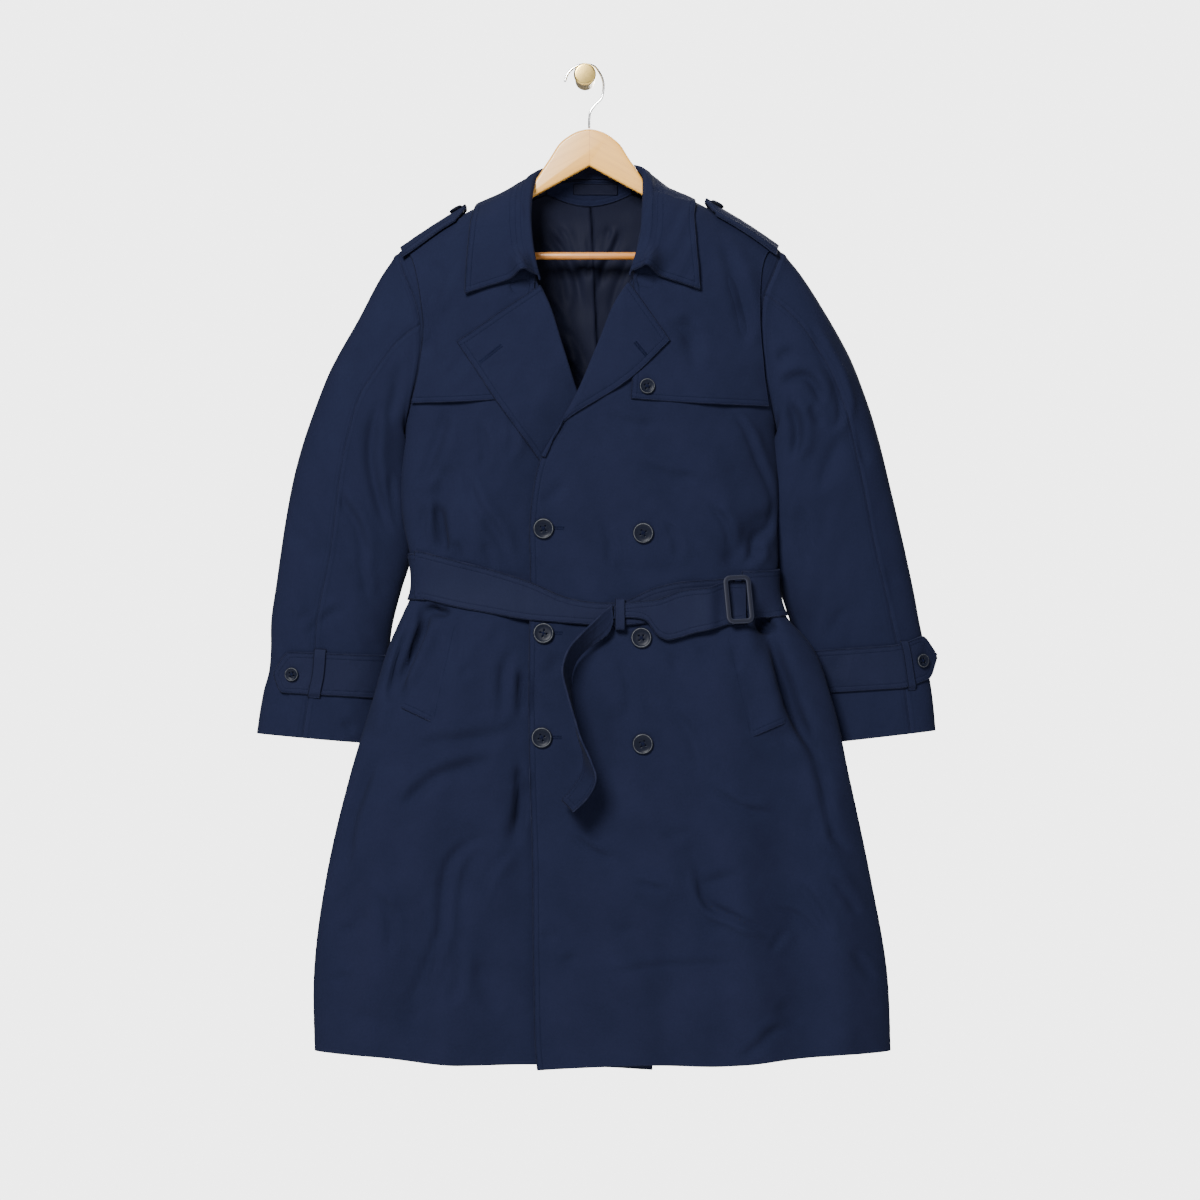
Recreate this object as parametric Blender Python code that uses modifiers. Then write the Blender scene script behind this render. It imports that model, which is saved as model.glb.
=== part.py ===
"""Double-breasted trench coat on a wooden hanger that hangs from a round wall peg.

All sizes are real ones in millimetres; MM turns them into Blender's metres when a mesh is made.
The origin is the centre of the peg's wall face, +Z is up, and the coat faces -Y.
Left and right are as seen from the front. The right front laps over the left one.
"""

import math
from collections import namedtuple

import bpy
import numpy as np
from mathutils import Matrix, Vector
from mathutils.bvhtree import BVHTree

MM = 0.001

# Cloth
CLOTH = 1.6  # a wall of the coat
DOUBLED = 2.2  # collar, belt and other pieces of two layers
TRIM = 1.2  # loops, label and lining
SEAM = 0.25  # half of the gap between two pieces at a seam
REST = 0.8  # gap under a piece that lies on another
CLEAR_ROUNDS = 14
BURIED = 12.0  # deepest a piece may start under another and still be raised out of it
CLEAR = 0.45  # least gap left there between the flat faces of the two

# Body of the coat
CENTRE_X = 5.0
MIDDLE_Y = -45.0
SHOULDER_ROUND = 90.0  # height over which the shoulders round into front and back
SIDE_POWER = 2.6
DEPTH_POWER = 2.2
UNDERARM_Z = -430.0
NECK_Z = -124.0  # back of the neck seam
UNDER_DIP = 7.6  # how far the under front sinks below the lapping one
UNDER_RAMP = 46.0
FRONT_COLUMNS = 15
BACK_COLUMNS = 11

# Sleeves
SLEEVE_SIDES = 9
SLEEVE_POWER = 0.85
SLEEVE_SEAM = 0.6  # degrees between each edge and the seam
ARMHOLE_GAP = 1.0
LEFT_SEAM_ANGLE = 80.0
RIGHT_SEAM_ANGLE = 60.0

# Buttons and trim
LARGE_BUTTON = 25.0
FLAP_BUTTON = 19.0
CUFF_BUTTON = 17.0
BUTTON_RISE = 4.0
BUTTON_SIDES = 12

# Hanger and peg
HANGER_THICK = 12.0
BAR_DIAMETER = 9.4
WIRE_DIAMETER = 3.0
PEG_SHANK = 24.0
PEG_HEAD = 27.0
PEG_REACH = 59.0
PEG_HEAD_THICK = 9.0

BodyRow = namedtuple("BodyRow", "z left right side_y front back")
BODY_ROWS = (
    BodyRow(-130.0, -262.0, 274.0, -45.0, 50.0, 37.0),
    BodyRow(-219.0, -247.0, 260.0, -45.0, 50.0, 37.0),
    BodyRow(-324.0, -233.0, 245.5, -46.0, 53.0, 38.0),
    BodyRow(-430.0, -218.7, 232.0, -50.0, 52.0, 41.0),
    BodyRow(-470.0, -222.5, 234.0, -52.0, 49.0, 43.0),
    BodyRow(-515.0, -223.5, 234.5, -54.0, 46.0, 45.0),
    BodyRow(-550.0, -218.5, 233.0, -56.0, 42.0, 46.0),
    BodyRow(-580.0, -208.5, 230.0, -58.0, 39.0, 47.0),
    BodyRow(-632.0, -208.5, 233.0, -60.0, 39.0, 49.0),
    BodyRow(-650.0, -220.0, 247.0, -62.0, 41.0, 51.0),
    BodyRow(-690.0, -236.5, 275.0, -66.0, 42.0, 55.0),
    BodyRow(-755.0, -256.0, 298.0, -69.0, 42.0, 58.0),
    BodyRow(-850.0, -284.5, 319.5, -70.0, 42.0, 59.0),
    BodyRow(-970.0, -312.5, 345.0, -69.0, 44.0, 58.0),
    BodyRow(-1080.0, -327.0, 364.5, -67.0, 47.0, 56.0),
    BodyRow(-1200.0, -326.0, 370.0, -66.0, 48.0, 55.0),
)

# The line along the tops of the shoulders, which goes on unseen over the neck
RIDGE = (
    (-300.0, -268.0),
    (-227.8, -216.0),
    (-217.0, -209.0),
    (-134.5, -162.0),
    (-73.9, -134.0),
    (CENTRE_X, -106.0),
    (83.6, -131.5),
    (146.7, -160.0),
    (227.9, -206.5),
    (238.8, -214.0),
    (310.0, -266.0),
)

# Armhole seams, as (x, z) from the shoulder point to the underarm
ARMHOLE_LEFT = (
    (-226.5, -215.0),
    (-219.0, -240.0),
    (-207.0, -268.0),
    (-199.0, -298.0),
    (-197.0, -326.0),
    (-201.0, -360.0),
    (-209.5, -396.0),
    (-218.7, UNDERARM_Z),
)
ARMHOLE_RIGHT = (
    (238.0, -213.4),
    (229.0, -238.0),
    (216.0, -270.0),
    (212.5, -313.0),
    (216.5, -356.0),
    (224.0, -395.0),
    (232.0, UNDERARM_Z),
)

# Front edges, as (x, z) from the neck point down: neckline, roll line and edge
OVER_EDGE = (
    (83.6, -132.0),
    (79.0, -165.0),
    (76.0, -200.0),
    (59.0, -248.0),
    (37.4, -282.0),
    (17.0, -330.0),
    (-9.4, -391.4),
    (-31.0, -430.0),
    (-52.5, -467.0),
    (-62.1, -508.7),
    (-65.7, -545.0),
    (-65.0, -600.0),
    (-66.8, -755.5),
    (-65.7, -830.0),
    (-62.5, -934.0),
    (-60.9, -1084.0),
    (-58.5, -1172.3),
    (-54.9, -1210.0),
)
UNDER_EDGE = (
    (-73.9, -134.5),
    (-72.0, -165.0),
    (-70.0, -200.0),
    (-60.0, -250.0),
    (-46.0, -278.0),
    (-28.5, -331.4),
    (-9.4, -391.4),
    (18.0, -450.0),
    (52.0, -505.0),
    (70.0, -570.0),
    (76.0, -660.0),
    (79.0, -900.0),
    (80.5, -1210.0),
)

# Heights of the rows of a front or half back at its inner edge, down to the underarm; at the
# armhole they lie at equal angles round it, where the sleeve's points are too
ARMHOLE_STEP = 20.0
UPPER_ROWS = (-134.0, -140.0, -156.0, -184.0, -220.0, -262.0, -305.0, -350.0, -393.0, -430.0)
# and below the underarm, at the inner and the outer edge
PanelRow = namedtuple("PanelRow", "inner outer")
LOWER_ROWS = (
    PanelRow(-462.0, -458.0),
    PanelRow(-495.0, -489.0),
    PanelRow(-525.0, -518.0),
    PanelRow(-552.0, -544.0),
    PanelRow(-576.0, -570.0),
    PanelRow(-602.0, -598.0),
    PanelRow(-628.0, -624.0),
    PanelRow(-650.0, -646.0),
    PanelRow(-672.0, -668.0),
    PanelRow(-698.0, -694.0),
    PanelRow(-732.0, -728.0),
    PanelRow(-772.0, -768.0),
    PanelRow(-820.0, -815.0),
    PanelRow(-872.0, -865.0),
    PanelRow(-928.0, -918.0),
    PanelRow(-985.0, -972.0),
    PanelRow(-1045.0, -1030.0),
    PanelRow(-1105.0, -1088.0),
    PanelRow(-1155.0, -1138.0),
    PanelRow(-1196.0, -1178.0),
)
WAIST_ROW = 16  # the back's parts meet here, under the belt
ELBOW_ROW = 8  # the upper sleeve's parts meet here
HEM_SAG = 6.0
HEM_SAG_HEIGHT = 120.0

# Soft ridges (+) and troughs (-) in the fronts and the back
Fold = namedtuple("Fold", "x0 z0 x1 z1 wide deep")
FRONT_FOLDS = (
    Fold(-188.0, -645.0, -232.0, -752.0, 12.0, -13.0),
    Fold(-208.0, -655.0, -250.0, -790.0, 13.0, 6.0),
    Fold(-150.0, -700.0, -205.0, -990.0, 26.0, 7.0),
    Fold(-128.0, -920.0, -205.0, -1150.0, 20.0, -6.0),
    Fold(-235.0, -850.0, -262.0, -1190.0, 26.0, 8.0),
    Fold(-178.0, -1000.0, -168.0, -1196.0, 24.0, 7.0),
    Fold(-105.0, -1010.0, -98.0, -1196.0, 24.0, -6.0),
    Fold(-168.0, -480.0, -176.0, -575.0, 11.0, -6.0),
    Fold(-120.0, -500.0, -138.0, -590.0, 15.0, 4.0),
    Fold(212.0, -650.0, 258.0, -795.0, 13.0, -12.0),
    Fold(192.0, -655.0, 226.0, -790.0, 14.0, 6.0),
    Fold(165.0, -700.0, 205.0, -1190.0, 28.0, 7.0),
    Fold(130.0, -930.0, 160.0, -1030.0, 20.0, -6.0),
    Fold(236.0, -880.0, 270.0, -1180.0, 24.0, -6.0),
    Fold(295.0, -860.0, 316.0, -1180.0, 22.0, 6.0),
    Fold(104.0, -1000.0, 100.0, -1196.0, 22.0, -5.0),
    Fold(216.0, -535.0, 172.0, -590.0, 12.0, -6.0),
    Fold(150.0, -470.0, 196.0, -585.0, 16.0, 4.0),
)
BACK_FOLDS = (
    Fold(-150.0, -650.0, -214.0, -1190.0, 30.0, 6.0),
    Fold(-80.0, -660.0, -104.0, -1190.0, 28.0, -8.0),
    Fold(6.0, -650.0, 4.0, -1190.0, 32.0, 5.0),
    Fold(90.0, -655.0, 118.0, -1190.0, 28.0, -8.0),
    Fold(170.0, -650.0, 232.0, -1190.0, 30.0, 6.0),
    Fold(-90.0, -480.0, -70.0, -590.0, 22.0, -5.0),
    Fold(100.0, -470.0, 84.0, -590.0, 22.0, -5.0),
)

SleeveRow = namedtuple("SleeveRow", "out_x out_z in_x in_z y depth armhole")
SLEEVE_LEFT = (
    SleeveRow(-226.5, -215.0, -218.7, UNDERARM_Z, -45.0, 30.0, 1.0),
    SleeveRow(-241.0, -232.0, -219.5, -431.0, -45.0, 32.0, 0.8),
    SleeveRow(-258.6, -259.4, -221.0, -433.0, -44.5, 34.0, 0.5),
    SleeveRow(-280.4, -304.3, -225.5, -438.0, -44.0, 36.0, 0.2),
    SleeveRow(-309.5, -358.9, -227.0, -450.0, -42.0, 37.0, 0.0),
    SleeveRow(-335.0, -424.5, -228.0, -472.0, -40.0, 36.0, 0.0),
    SleeveRow(-349.6, -471.8, -228.0, -498.0, -38.0, 34.0, 0.0),
    SleeveRow(-359.3, -514.3, -226.0, -528.0, -35.5, 31.0, 0.0),
    SleeveRow(-369.0, -572.6, -222.0, -580.0, -33.0, 29.0, 0.0),
    SleeveRow(-375.6, -618.0, -226.5, -622.0, -31.0, 27.0, 0.0),
    SleeveRow(-381.8, -660.0, -237.0, -664.0, -29.0, 25.5, 0.0),
    SleeveRow(-382.4, -696.4, -238.5, -702.0, -27.5, 24.5, 0.0),
    SleeveRow(-384.8, -723.1, -241.0, -730.0, -26.5, 24.0, 0.0),
    SleeveRow(-390.9, -744.9, -243.5, -753.0, -26.0, 23.5, 0.0),
    SleeveRow(-395.7, -771.7, -247.0, -781.0, -26.0, 23.5, 0.0),
    SleeveRow(-399.4, -797.1, -252.0, -810.0, -26.0, 23.5, 0.0),
)
SLEEVE_RIGHT = (
    SleeveRow(238.0, -213.4, 232.0, UNDERARM_Z, -45.0, 30.0, 1.0),
    SleeveRow(252.5, -228.0, 233.0, -431.0, -45.0, 32.0, 0.8),
    SleeveRow(270.7, -251.0, 234.5, -433.0, -44.5, 34.0, 0.5),
    SleeveRow(292.0, -286.0, 238.5, -438.0, -44.0, 36.0, 0.2),
    SleeveRow(321.0, -341.0, 239.5, -450.0, -42.0, 37.0, 0.0),
    SleeveRow(343.5, -399.0, 240.0, -472.0, -40.0, 36.0, 0.0),
    SleeveRow(358.1, -447.6, 240.0, -498.0, -38.0, 34.0, 0.0),
    SleeveRow(375.1, -516.7, 239.0, -534.0, -35.5, 31.0, 0.0),
    SleeveRow(388.0, -572.0, 241.5, -580.0, -33.0, 29.0, 0.0),
    SleeveRow(399.0, -622.0, 246.0, -630.0, -31.0, 27.0, 0.0),
    SleeveRow(407.0, -664.0, 256.0, -672.0, -29.0, 25.5, 0.0),
    SleeveRow(414.0, -696.0, 263.0, -706.0, -27.5, 24.5, 0.0),
    SleeveRow(418.0, -722.0, 267.0, -730.0, -26.5, 24.0, 0.0),
    SleeveRow(421.5, -744.0, 271.0, -754.0, -26.0, 23.5, 0.0),
    SleeveRow(424.5, -768.0, 276.0, -781.0, -26.0, 23.5, 0.0),
    SleeveRow(426.7, -793.5, 282.0, -810.0, -26.0, 23.5, 0.0),
)

# Collar: the roll line and the leaf's outer edge, from the left end round the neck to the right
CollarRow = namedtuple("CollarRow", "roll_x roll_y roll_z edge_x edge_y edge_z")
COLLAR_ROWS = (
    CollarRow(-57.5, -104.0, -246.0, -143.6, -100.0, -267.7),
    CollarRow(-63.0, -103.0, -223.0, -142.0, -98.0, -236.0),
    CollarRow(-67.0, -98.0, -198.0, -139.5, -94.0, -206.0),
    CollarRow(-69.5, -86.0, -166.0, -136.5, -82.0, -176.0),
    CollarRow(-68.0, -66.0, -138.0, -131.0, -48.0, -155.0),
    CollarRow(-63.0, -45.0, -119.0, -120.0, -22.0, -158.0),
    CollarRow(-50.0, -30.0, -110.5, -95.0, -6.0, -168.0),
    CollarRow(-28.0, -22.0, -106.0, -50.0, -4.0, -178.0),
    CollarRow(5.0, -19.0, -104.0, 5.0, -3.5, -182.0),
    CollarRow(38.0, -22.0, -105.0, 60.0, -4.0, -177.0),
    CollarRow(61.0, -30.0, -107.0, 104.0, -6.0, -166.0),
    CollarRow(73.5, -45.0, -114.0, 122.0, -22.0, -156.0),
    CollarRow(75.0, -66.0, -133.0, 131.0, -48.0, -152.0),
    CollarRow(73.5, -86.0, -160.0, 131.5, -82.0, -173.0),
    CollarRow(70.5, -98.0, -194.0, 133.5, -94.0, -204.0),
    CollarRow(64.5, -103.0, -218.0, 136.0, -98.0, -234.0),
    CollarRow(57.0, -104.0, -241.0, 138.1, -100.0, -262.9),
)
COLLAR_ACROSS = 6
# Places of the leaf's rows in that table, closer together over the shoulders
COLLAR_STATIONS = (0, 1, 2, 2.5, 3, 3.4, 3.8, 4.2, 4.6, 5, 6, 7, 8, 9, 10, 11, 11.4, 11.8, 12.2, 12.6, 13, 13.5, 14, 15, 16)
COLLAR_RISE = 5.0
STAND_ROWS = slice(3, -3)
STAND_STATIONS = 17
STAND_DROP = 2.0  # the stand's top lies this far below the roll line
STAND_IN = 3.4  # and this far inside it
STAND_FOOT = 0.9  # and its foot this far above the neck seam
NECK_HEIGHTS = (-44.0, -34.0, -24.0, -15.0, -8.0, -3.0, -1.0)  # below the neck point, down a front
NECK_MIDDLE = (CENTRE_X, -62.0, -135.0)

# Storm flaps, as (x, z) rails from the shoulder down
FLAP_LEFT_IN = ((-92.0, -146.0), (-88.0, -230.0), (-90.0, -320.0), (-94.0, -394.0))
FLAP_LEFT_OUT = ((-217.0, -216.0), (-204.0, -268.0), (-194.5, -326.0), (-198.5, -360.0), (-206.5, -398.0))
FLAP_RIGHT_IN = ((96.0, -143.0), (84.0, -230.0), (66.0, -320.0), (55.3, -394.0))
FLAP_RIGHT_OUT = ((228.0, -214.0), (212.5, -270.0), (209.5, -314.0), (213.0, -356.0), (219.5, -402.0))
FLAP_TOP_DROP = 7.0
FLAP_STAND_OFF = 3.0
FLAP_ROWS = 9
FLAP_COLUMNS = 8
LAPEL_ROWS = 10
LAPEL_COLUMNS = 5

# Lapels, as (x, z) rails from the gorge down
LAPEL_LEFT_ROLL = ((-56.0, -260.5), (-46.0, -280.0), (-28.5, -332.0), (-9.4, -391.4), (6.0, -428.0), (16.0, -450.0))
LAPEL_LEFT_EDGE = ((-152.4, -326.2), (-131.0, -358.0), (-107.5, -393.8), (-88.4, -420.2), (-54.8, -466.9), (-29.7, -498.0))
LAPEL_RIGHT_ROLL = ((54.0, -257.0), (37.4, -282.0), (17.0, -330.0), (-9.4, -391.4), (-31.0, -430.0), (-50.5, -464.0))
LAPEL_RIGHT_EDGE = ((101.3, -324.7), (51.1, -372.5), (18.2, -394.1), (-2.0, -406.0), (-23.7, -421.0), (-47.5, -464.5))

# Pocket welts: front edge, top to bottom, and how far they run back
WELT_LEFT = ((-158.8, -668.0), (-161.0, -695.0), (-171.0, -735.0), (-181.5, -773.0))
WELT_RIGHT = ((173.7, -682.0), (178.0, -712.0), (189.0, -755.0), (198.8, -791.0))
WELT_WIDTH = 40.0
WELT_RISE = 8.0

# Belt on the front, as (x, top z, bottom z, rise of its outer face over the coat)
BeltRow = namedtuple("BeltRow", "x top bottom rise")
BELT_FRONT = (
    BeltRow(-186.0, -581.0, -636.0, 3.2),
    BeltRow(-152.0, -590.0, -643.5, 3.2),
    BeltRow(-117.0, -598.6, -650.0, 3.2),
    BeltRow(-68.0, -614.0, -658.5, 3.2),
    BeltRow(-26.0, -632.0, -662.0, 3.4),
    BeltRow(5.0, -638.5, -664.4, 4.4),
    BeltRow(28.0, -639.5, -666.0, 5.6),
    BeltRow(44.0, -638.5, -665.0, 5.8),
    BeltRow(60.0, -632.5, -664.0, 5.4),
    BeltRow(82.0, -622.5, -662.0, 4.2),
    BeltRow(112.0, -615.3, -667.0, 3.4),
    BeltRow(145.0, -612.5, -666.0, 3.2),
    BeltRow(178.0, -610.0, -664.0, 3.2),
)
BELT_FOLDED = (
    BeltRow(186.0, -618.0, -655.0, 8.6),
    BeltRow(181.0, -618.0, -655.5, 13.0),
    BeltRow(176.0, -618.0, -657.5, 16.4),
    BeltRow(169.0, -618.0, -662.5, 16.8),
    BeltRow(161.0, -619.0, -666.5, 15.8),
    BeltRow(149.0, -621.4, -670.5, 12.0),
    BeltRow(130.0, -623.0, -674.5, 9.0),
    BeltRow(112.7, -626.1, -680.0, 8.2),
    BeltRow(98.0, -632.0, -682.5, 8.8),
    BeltRow(86.0, -635.7, -676.0, 9.6),
    BeltRow(74.0, -637.0, -660.0, 10.0),
    BeltRow(58.0, -638.5, -656.0, 9.8),
    BeltRow(42.0, -641.0, -656.5, 9.6),
    BeltRow(34.5, -642.5, -657.5, 9.6),
)
BELT_FIXED_END = 187.5
BELT_LEFT_TURN = -187.0
BELT_SIDE_Z = -610.0
BELT_LEFT_TOP = -581.0
BELT_RIGHT_TOP = -602.0
BELT_BACK_SAG = 3.0
BELT_WIDTH = 54.0
BELT_BACK_STEPS = 40

TailRow = namedtuple("TailRow", "front_x front_z front_rise back_x back_z back_rise")
TAIL_ROWS = (
    TailRow(32.0, -643.0, 9.0, 33.5, -662.0, 8.0),
    TailRow(24.0, -649.5, 13.0, 27.0, -676.0, 9.0),
    TailRow(12.0, -660.0, 21.0, 14.0, -685.0, 9.0),
    TailRow(-4.3, -675.0, 31.0, 1.0, -694.0, 8.0),
    TailRow(-19.8, -692.7, 38.0, -10.0, -706.0, 7.0),
    TailRow(-27.5, -716.0, 42.0, -17.0, -724.0, 6.0),
    TailRow(-21.0, -749.6, 44.0, -16.5, -752.0, 6.0),
    TailRow(-13.8, -774.5, 45.0, -13.0, -776.0, 6.0),
    TailRow(-5.5, -800.6, 46.0, -8.5, -800.0, 7.0),
    TailRow(6.0, -826.0, 46.0, -3.0, -820.0, 9.0),
    TailRow(12.3, -848.0, 46.0, -3.5, -840.0, 12.0),
    TailRow(3.0, -868.0, 46.0, -14.0, -858.0, 15.0),
    TailRow(-14.0, -885.0, 45.0, -27.0, -873.0, 19.0),
)
TAIL_STEPS = 22

BUCKLE_X = 182.0
BUCKLE_Z = -638.0
BUCKLE_WIDE = 34.0
BUCKLE_TALL = 60.0
BUCKLE_FRAME = 6.2
BUCKLE_THICK = 3.6
BUCKLE_TILT = 5.0
BUCKLE_RISE = 5.0

KEEPER_X = 42.0
KEEPER_WIDE = 11.0
KEEPER_TOP = -633.8
KEEPER_BOTTOM = -671.5
KEEPER_IN = 1.4
KEEPER_OUT = 12.0

# Cuff straps and loops, as angles round the sleeve and heights down it in sleeve rows
Strap = namedtuple("Strap", "shoulder end top bottom loop")
STRAP_LEFT = Strap(54.0, 250.0, 11.05, 13.05, 84.0)
STRAP_RIGHT = Strap(24.0, 250.0, 10.75, 12.8, 52.0)
STRAP_POINT = 17.0
LOOP_ANGLE = 9.0
LOOP_OVER = 4.0
CUFF_ROW = 24.0  # height of one row of the sleeve's table at the cuff

LARGE_BUTTONS = (
    (-49.6, -549.8),
    (70.0, -555.2),
    (-49.4, -675.6),
    (67.6, -681.0),
    (-51.4, -800.0),
    (69.3, -807.3),
)

FLAP_BUTTON_PLACE = (74.4, -379.8)
BUTTON_GAP = 0.4
FINER = 6

# Epaulettes: along the ridge from under the collar to the shoulder point
EPAULETTE_LEFT = (-141.0, -221.0)
EPAULETTE_RIGHT = (143.0, 232.0)
EPAULETTE_HALF = 22.0
EPAULETTE_IN_RISE = 9.5
EPAULETTE_OUT_RISE = 5.6
EPAULETTE_ARCH = 9.0

# Inside of the neck
FACING_HALF = 52.0
FACING_FOOT = -154.3
FACING_COLUMNS = 9
LABEL_X = 12.7
LABEL_WIDE = 54.8
LABEL_TOP = -127.0
LABEL_TALL = 13.0
LABEL_THICK = 0.8
BEHIND = (CENTRE_X, 300.0, -300.0)
LINING_HALF = 86.0
LINING_FOOT = -470.0
LINING_ROWS = 10
LINING_COLUMNS = 13
PLEAT_X = 6.0
PLEAT_DEEP = 5.0

HANGER_TOP = (
    (5.4, -64.6),
    (-8.0, -67.5),
    (-16.0, -71.3),
    (-26.0, -78.0),
    (-33.0, -85.0),
    (-41.0, -98.5),
    (-49.8, -111.5),
    (-61.0, -129.0),
    (-69.0, -140.5),
    (-78.0, -146.5),
)
HANGER_X = 5.4  # its middle
HANGER_ARM_X = (-90.0, -112.0, -135.0, -165.0, -190.0, -206.0)
HANGER_UNDER = 6.6  # below the shoulder line
HANGER_CHAMFER = 2.5
HANGER_FOOT = (
    (-212.0, -216.0),
    (-212.0, -226.0),
    (-206.0, -231.0),
    (-178.0, -231.0),
    (-178.0, -211.0),
    (-150.0, -199.0),
    (-100.0, -174.0),
    (-69.0, -151.0),
    (-44.0, -137.2),
    (-19.0, -123.4),
    (5.4, -110.0),
)
BAR_FOOT = 3  # the foot's corner that the bar meets
BAR_Z = -218.8
HOOK_POINTS = 27
HOOK_ROUTE = (
    (-24.2, -6.7),
    (-21.5, 1.0),
    (-15.5, 8.0),
    (-7.5, 12.3),
    (1.2, 13.9),
    (10.5, 12.0),
    (17.5, 4.0),
    (22.0, -6.0),
    (22.6, -16.5),
    (19.4, -28.5),
    (12.0, -36.0),
    (7.0, -43.0),
    (5.4, -52.0),
    (5.2, -64.0),
)

COLOURS = {
    "navy_cloth": ((0.016, 0.023, 0.055, 1.0), 0.75, 0.0),
    "navy_trim": ((0.014, 0.020, 0.048, 1.0), 0.7, 0.0),
    "lining": ((0.008, 0.010, 0.022, 1.0), 0.4, 0.0),
    "button": ((0.010, 0.012, 0.022, 1.0), 0.25, 0.0),
    "buckle": ((0.018, 0.024, 0.050, 1.0), 0.45, 0.0),
    "wood": ((0.62, 0.43, 0.25, 1.0), 0.45, 0.0),
    "chrome": ((0.75, 0.75, 0.75, 1.0), 0.2, 1.0),
    "brass": ((0.72, 0.52, 0.22, 1.0), 0.3, 1.0),
}
COAT_INSIDE = (CENTRE_X, -55.0, -640.0)


def clear_scene():
    """Empty the scene, whatever it held."""
    for old in list(bpy.data.objects):
        bpy.data.objects.remove(old, do_unlink=True)


def material(name):
    """The named finish, made once."""
    found = bpy.data.materials.get(name)
    if found:
        return found
    colour, roughness, metallic = COLOURS[name]
    made = bpy.data.materials.new(name)
    made.use_nodes = True
    shader = made.node_tree.nodes["Principled BSDF"]
    shader.inputs["Base Color"].default_value = colour
    shader.inputs["Roughness"].default_value = roughness
    shader.inputs["Metallic"].default_value = metallic
    made.diffuse_color = colour
    return made


def add_object(name, data, finish):
    """Put a mesh or curve in the coat's collection."""
    made = bpy.data.objects.new(name, data)
    data.materials.append(material(finish))
    bpy.data.collections["trench_coat"].objects.link(made)
    return made


def ease(value):
    """0 to 1 with soft ends."""
    value = np.clip(value, 0.0, 1.0)
    return value * value * (3.0 - 2.0 * value)


def follow(at, places, values):
    """The value at each place, on a smooth line through the given places, which rise."""
    places = np.asarray(places, float)
    values = np.asarray(values, float)
    at = np.asarray(at, float)
    slopes = np.gradient(values, places)
    i = np.clip(np.searchsorted(places, at, side="right") - 1, 0, len(places) - 2)
    step = places[i + 1] - places[i]
    s = np.clip((at - places[i]) / step, 0.0, 1.0)
    start = values[i] * (1 + 2 * s) * (1 - s) ** 2 + slopes[i] * step * s * (1 - s) ** 2
    return start + values[i + 1] * s * s * (3 - 2 * s) + slopes[i + 1] * step * s * s * (s - 1)


def rail(points, at):
    """Points at the shares `at` of the way along a smooth line through `points`."""
    points = np.asarray(points, float)
    steps = np.linalg.norm(np.diff(points, axis=0), axis=1)
    places = np.concatenate([[0.0], np.cumsum(steps)]) / steps.sum()
    return np.stack([follow(at, places, points[:, k]) for k in range(points.shape[1])], axis=-1)


def x_at(edge, z):
    """The x of an (x, z) line that runs down, at each height."""
    edge = np.asarray(edge, float)
    return follow(-np.asarray(z, float), -edge[:, 1], edge[:, 0])


def body_at(z, field):
    """One column of the body's table, smoothed down the coat."""
    return follow(-np.asarray(z, float), [-row.z for row in BODY_ROWS], [getattr(row, field) for row in BODY_ROWS])


def ridge_z(x):
    """Height of the shoulder line."""
    places, heights = zip(*RIDGE)
    return follow(x, places, heights)


def fold_rise(x, z, folds):
    """How far the soft folds raise the cloth at each point."""
    total = np.zeros(np.broadcast(x, z).shape)
    for fold in folds:
        run_x = fold.x1 - fold.x0
        run_z = fold.z1 - fold.z0
        share = ((x - fold.x0) * run_x + (z - fold.z0) * run_z) / (run_x**2 + run_z**2)
        inside = np.clip(share, 0.0, 1.0)
        away = np.hypot(x - fold.x0 - inside * run_x, z - fold.z0 - inside * run_z)
        fade = ease(share * 4 + 0.6) * ease((1 - share) * 5 + 0.6)
        total = total + fold.deep * np.exp(-((away / fold.wide) ** 2)) * fade
    return total


def half_depth(x, z):
    """Share of the full depth at each point: 1 in the middle, 0 at a side or the shoulder line."""
    left = body_at(z, "left")
    right = body_at(z, "right")
    across = np.clip(np.abs(2 * x - left - right) / (right - left), 0.0, 1.0)
    side = (1 - across**SIDE_POWER) ** (1 / DEPTH_POWER)
    below = np.clip((ridge_z(x) - z) / SHOULDER_ROUND, 0.0, 1.0)
    return side * np.sqrt(1 - (1 - below) ** 2)


def front_y(x, z):
    """The outer face of the front."""
    share = half_depth(x, z)
    rise = fold_rise(x, z, FRONT_FOLDS) * np.clip(share / 0.4, 0.0, 1.0)
    return body_at(z, "side_y") - body_at(z, "front") * share - rise


def back_y(x, z):
    """The outer face of the back."""
    share = half_depth(x, z)
    rise = fold_rise(x, z, BACK_FOLDS) * np.clip(share / 0.4, 0.0, 1.0)
    return body_at(z, "side_y") + body_at(z, "back") * share + np.minimum(rise, 0.0)


def under_y(x, z):
    """The outer face of the under front, which sinks where the other front laps over it."""
    lap = (x - x_at(OVER_EDGE, z) + UNDER_RAMP) / UNDER_RAMP
    return front_y(x, z) + UNDER_DIP * ease(lap) * ease((-345.0 - z) / 36.0)


def neck_z(x):
    """Height of the top edge of fronts and back: the shoulder line, and the neck seam behind."""
    side_x = np.where(x < CENTRE_X, UNDER_EDGE[0][0], OVER_EDGE[0][0])
    share = (x - CENTRE_X) / (side_x - CENTRE_X)
    seam = NECK_Z + (ridge_z(side_x) - NECK_Z) * share**2
    return np.where(share < 1.0, seam, ridge_z(x))


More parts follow.
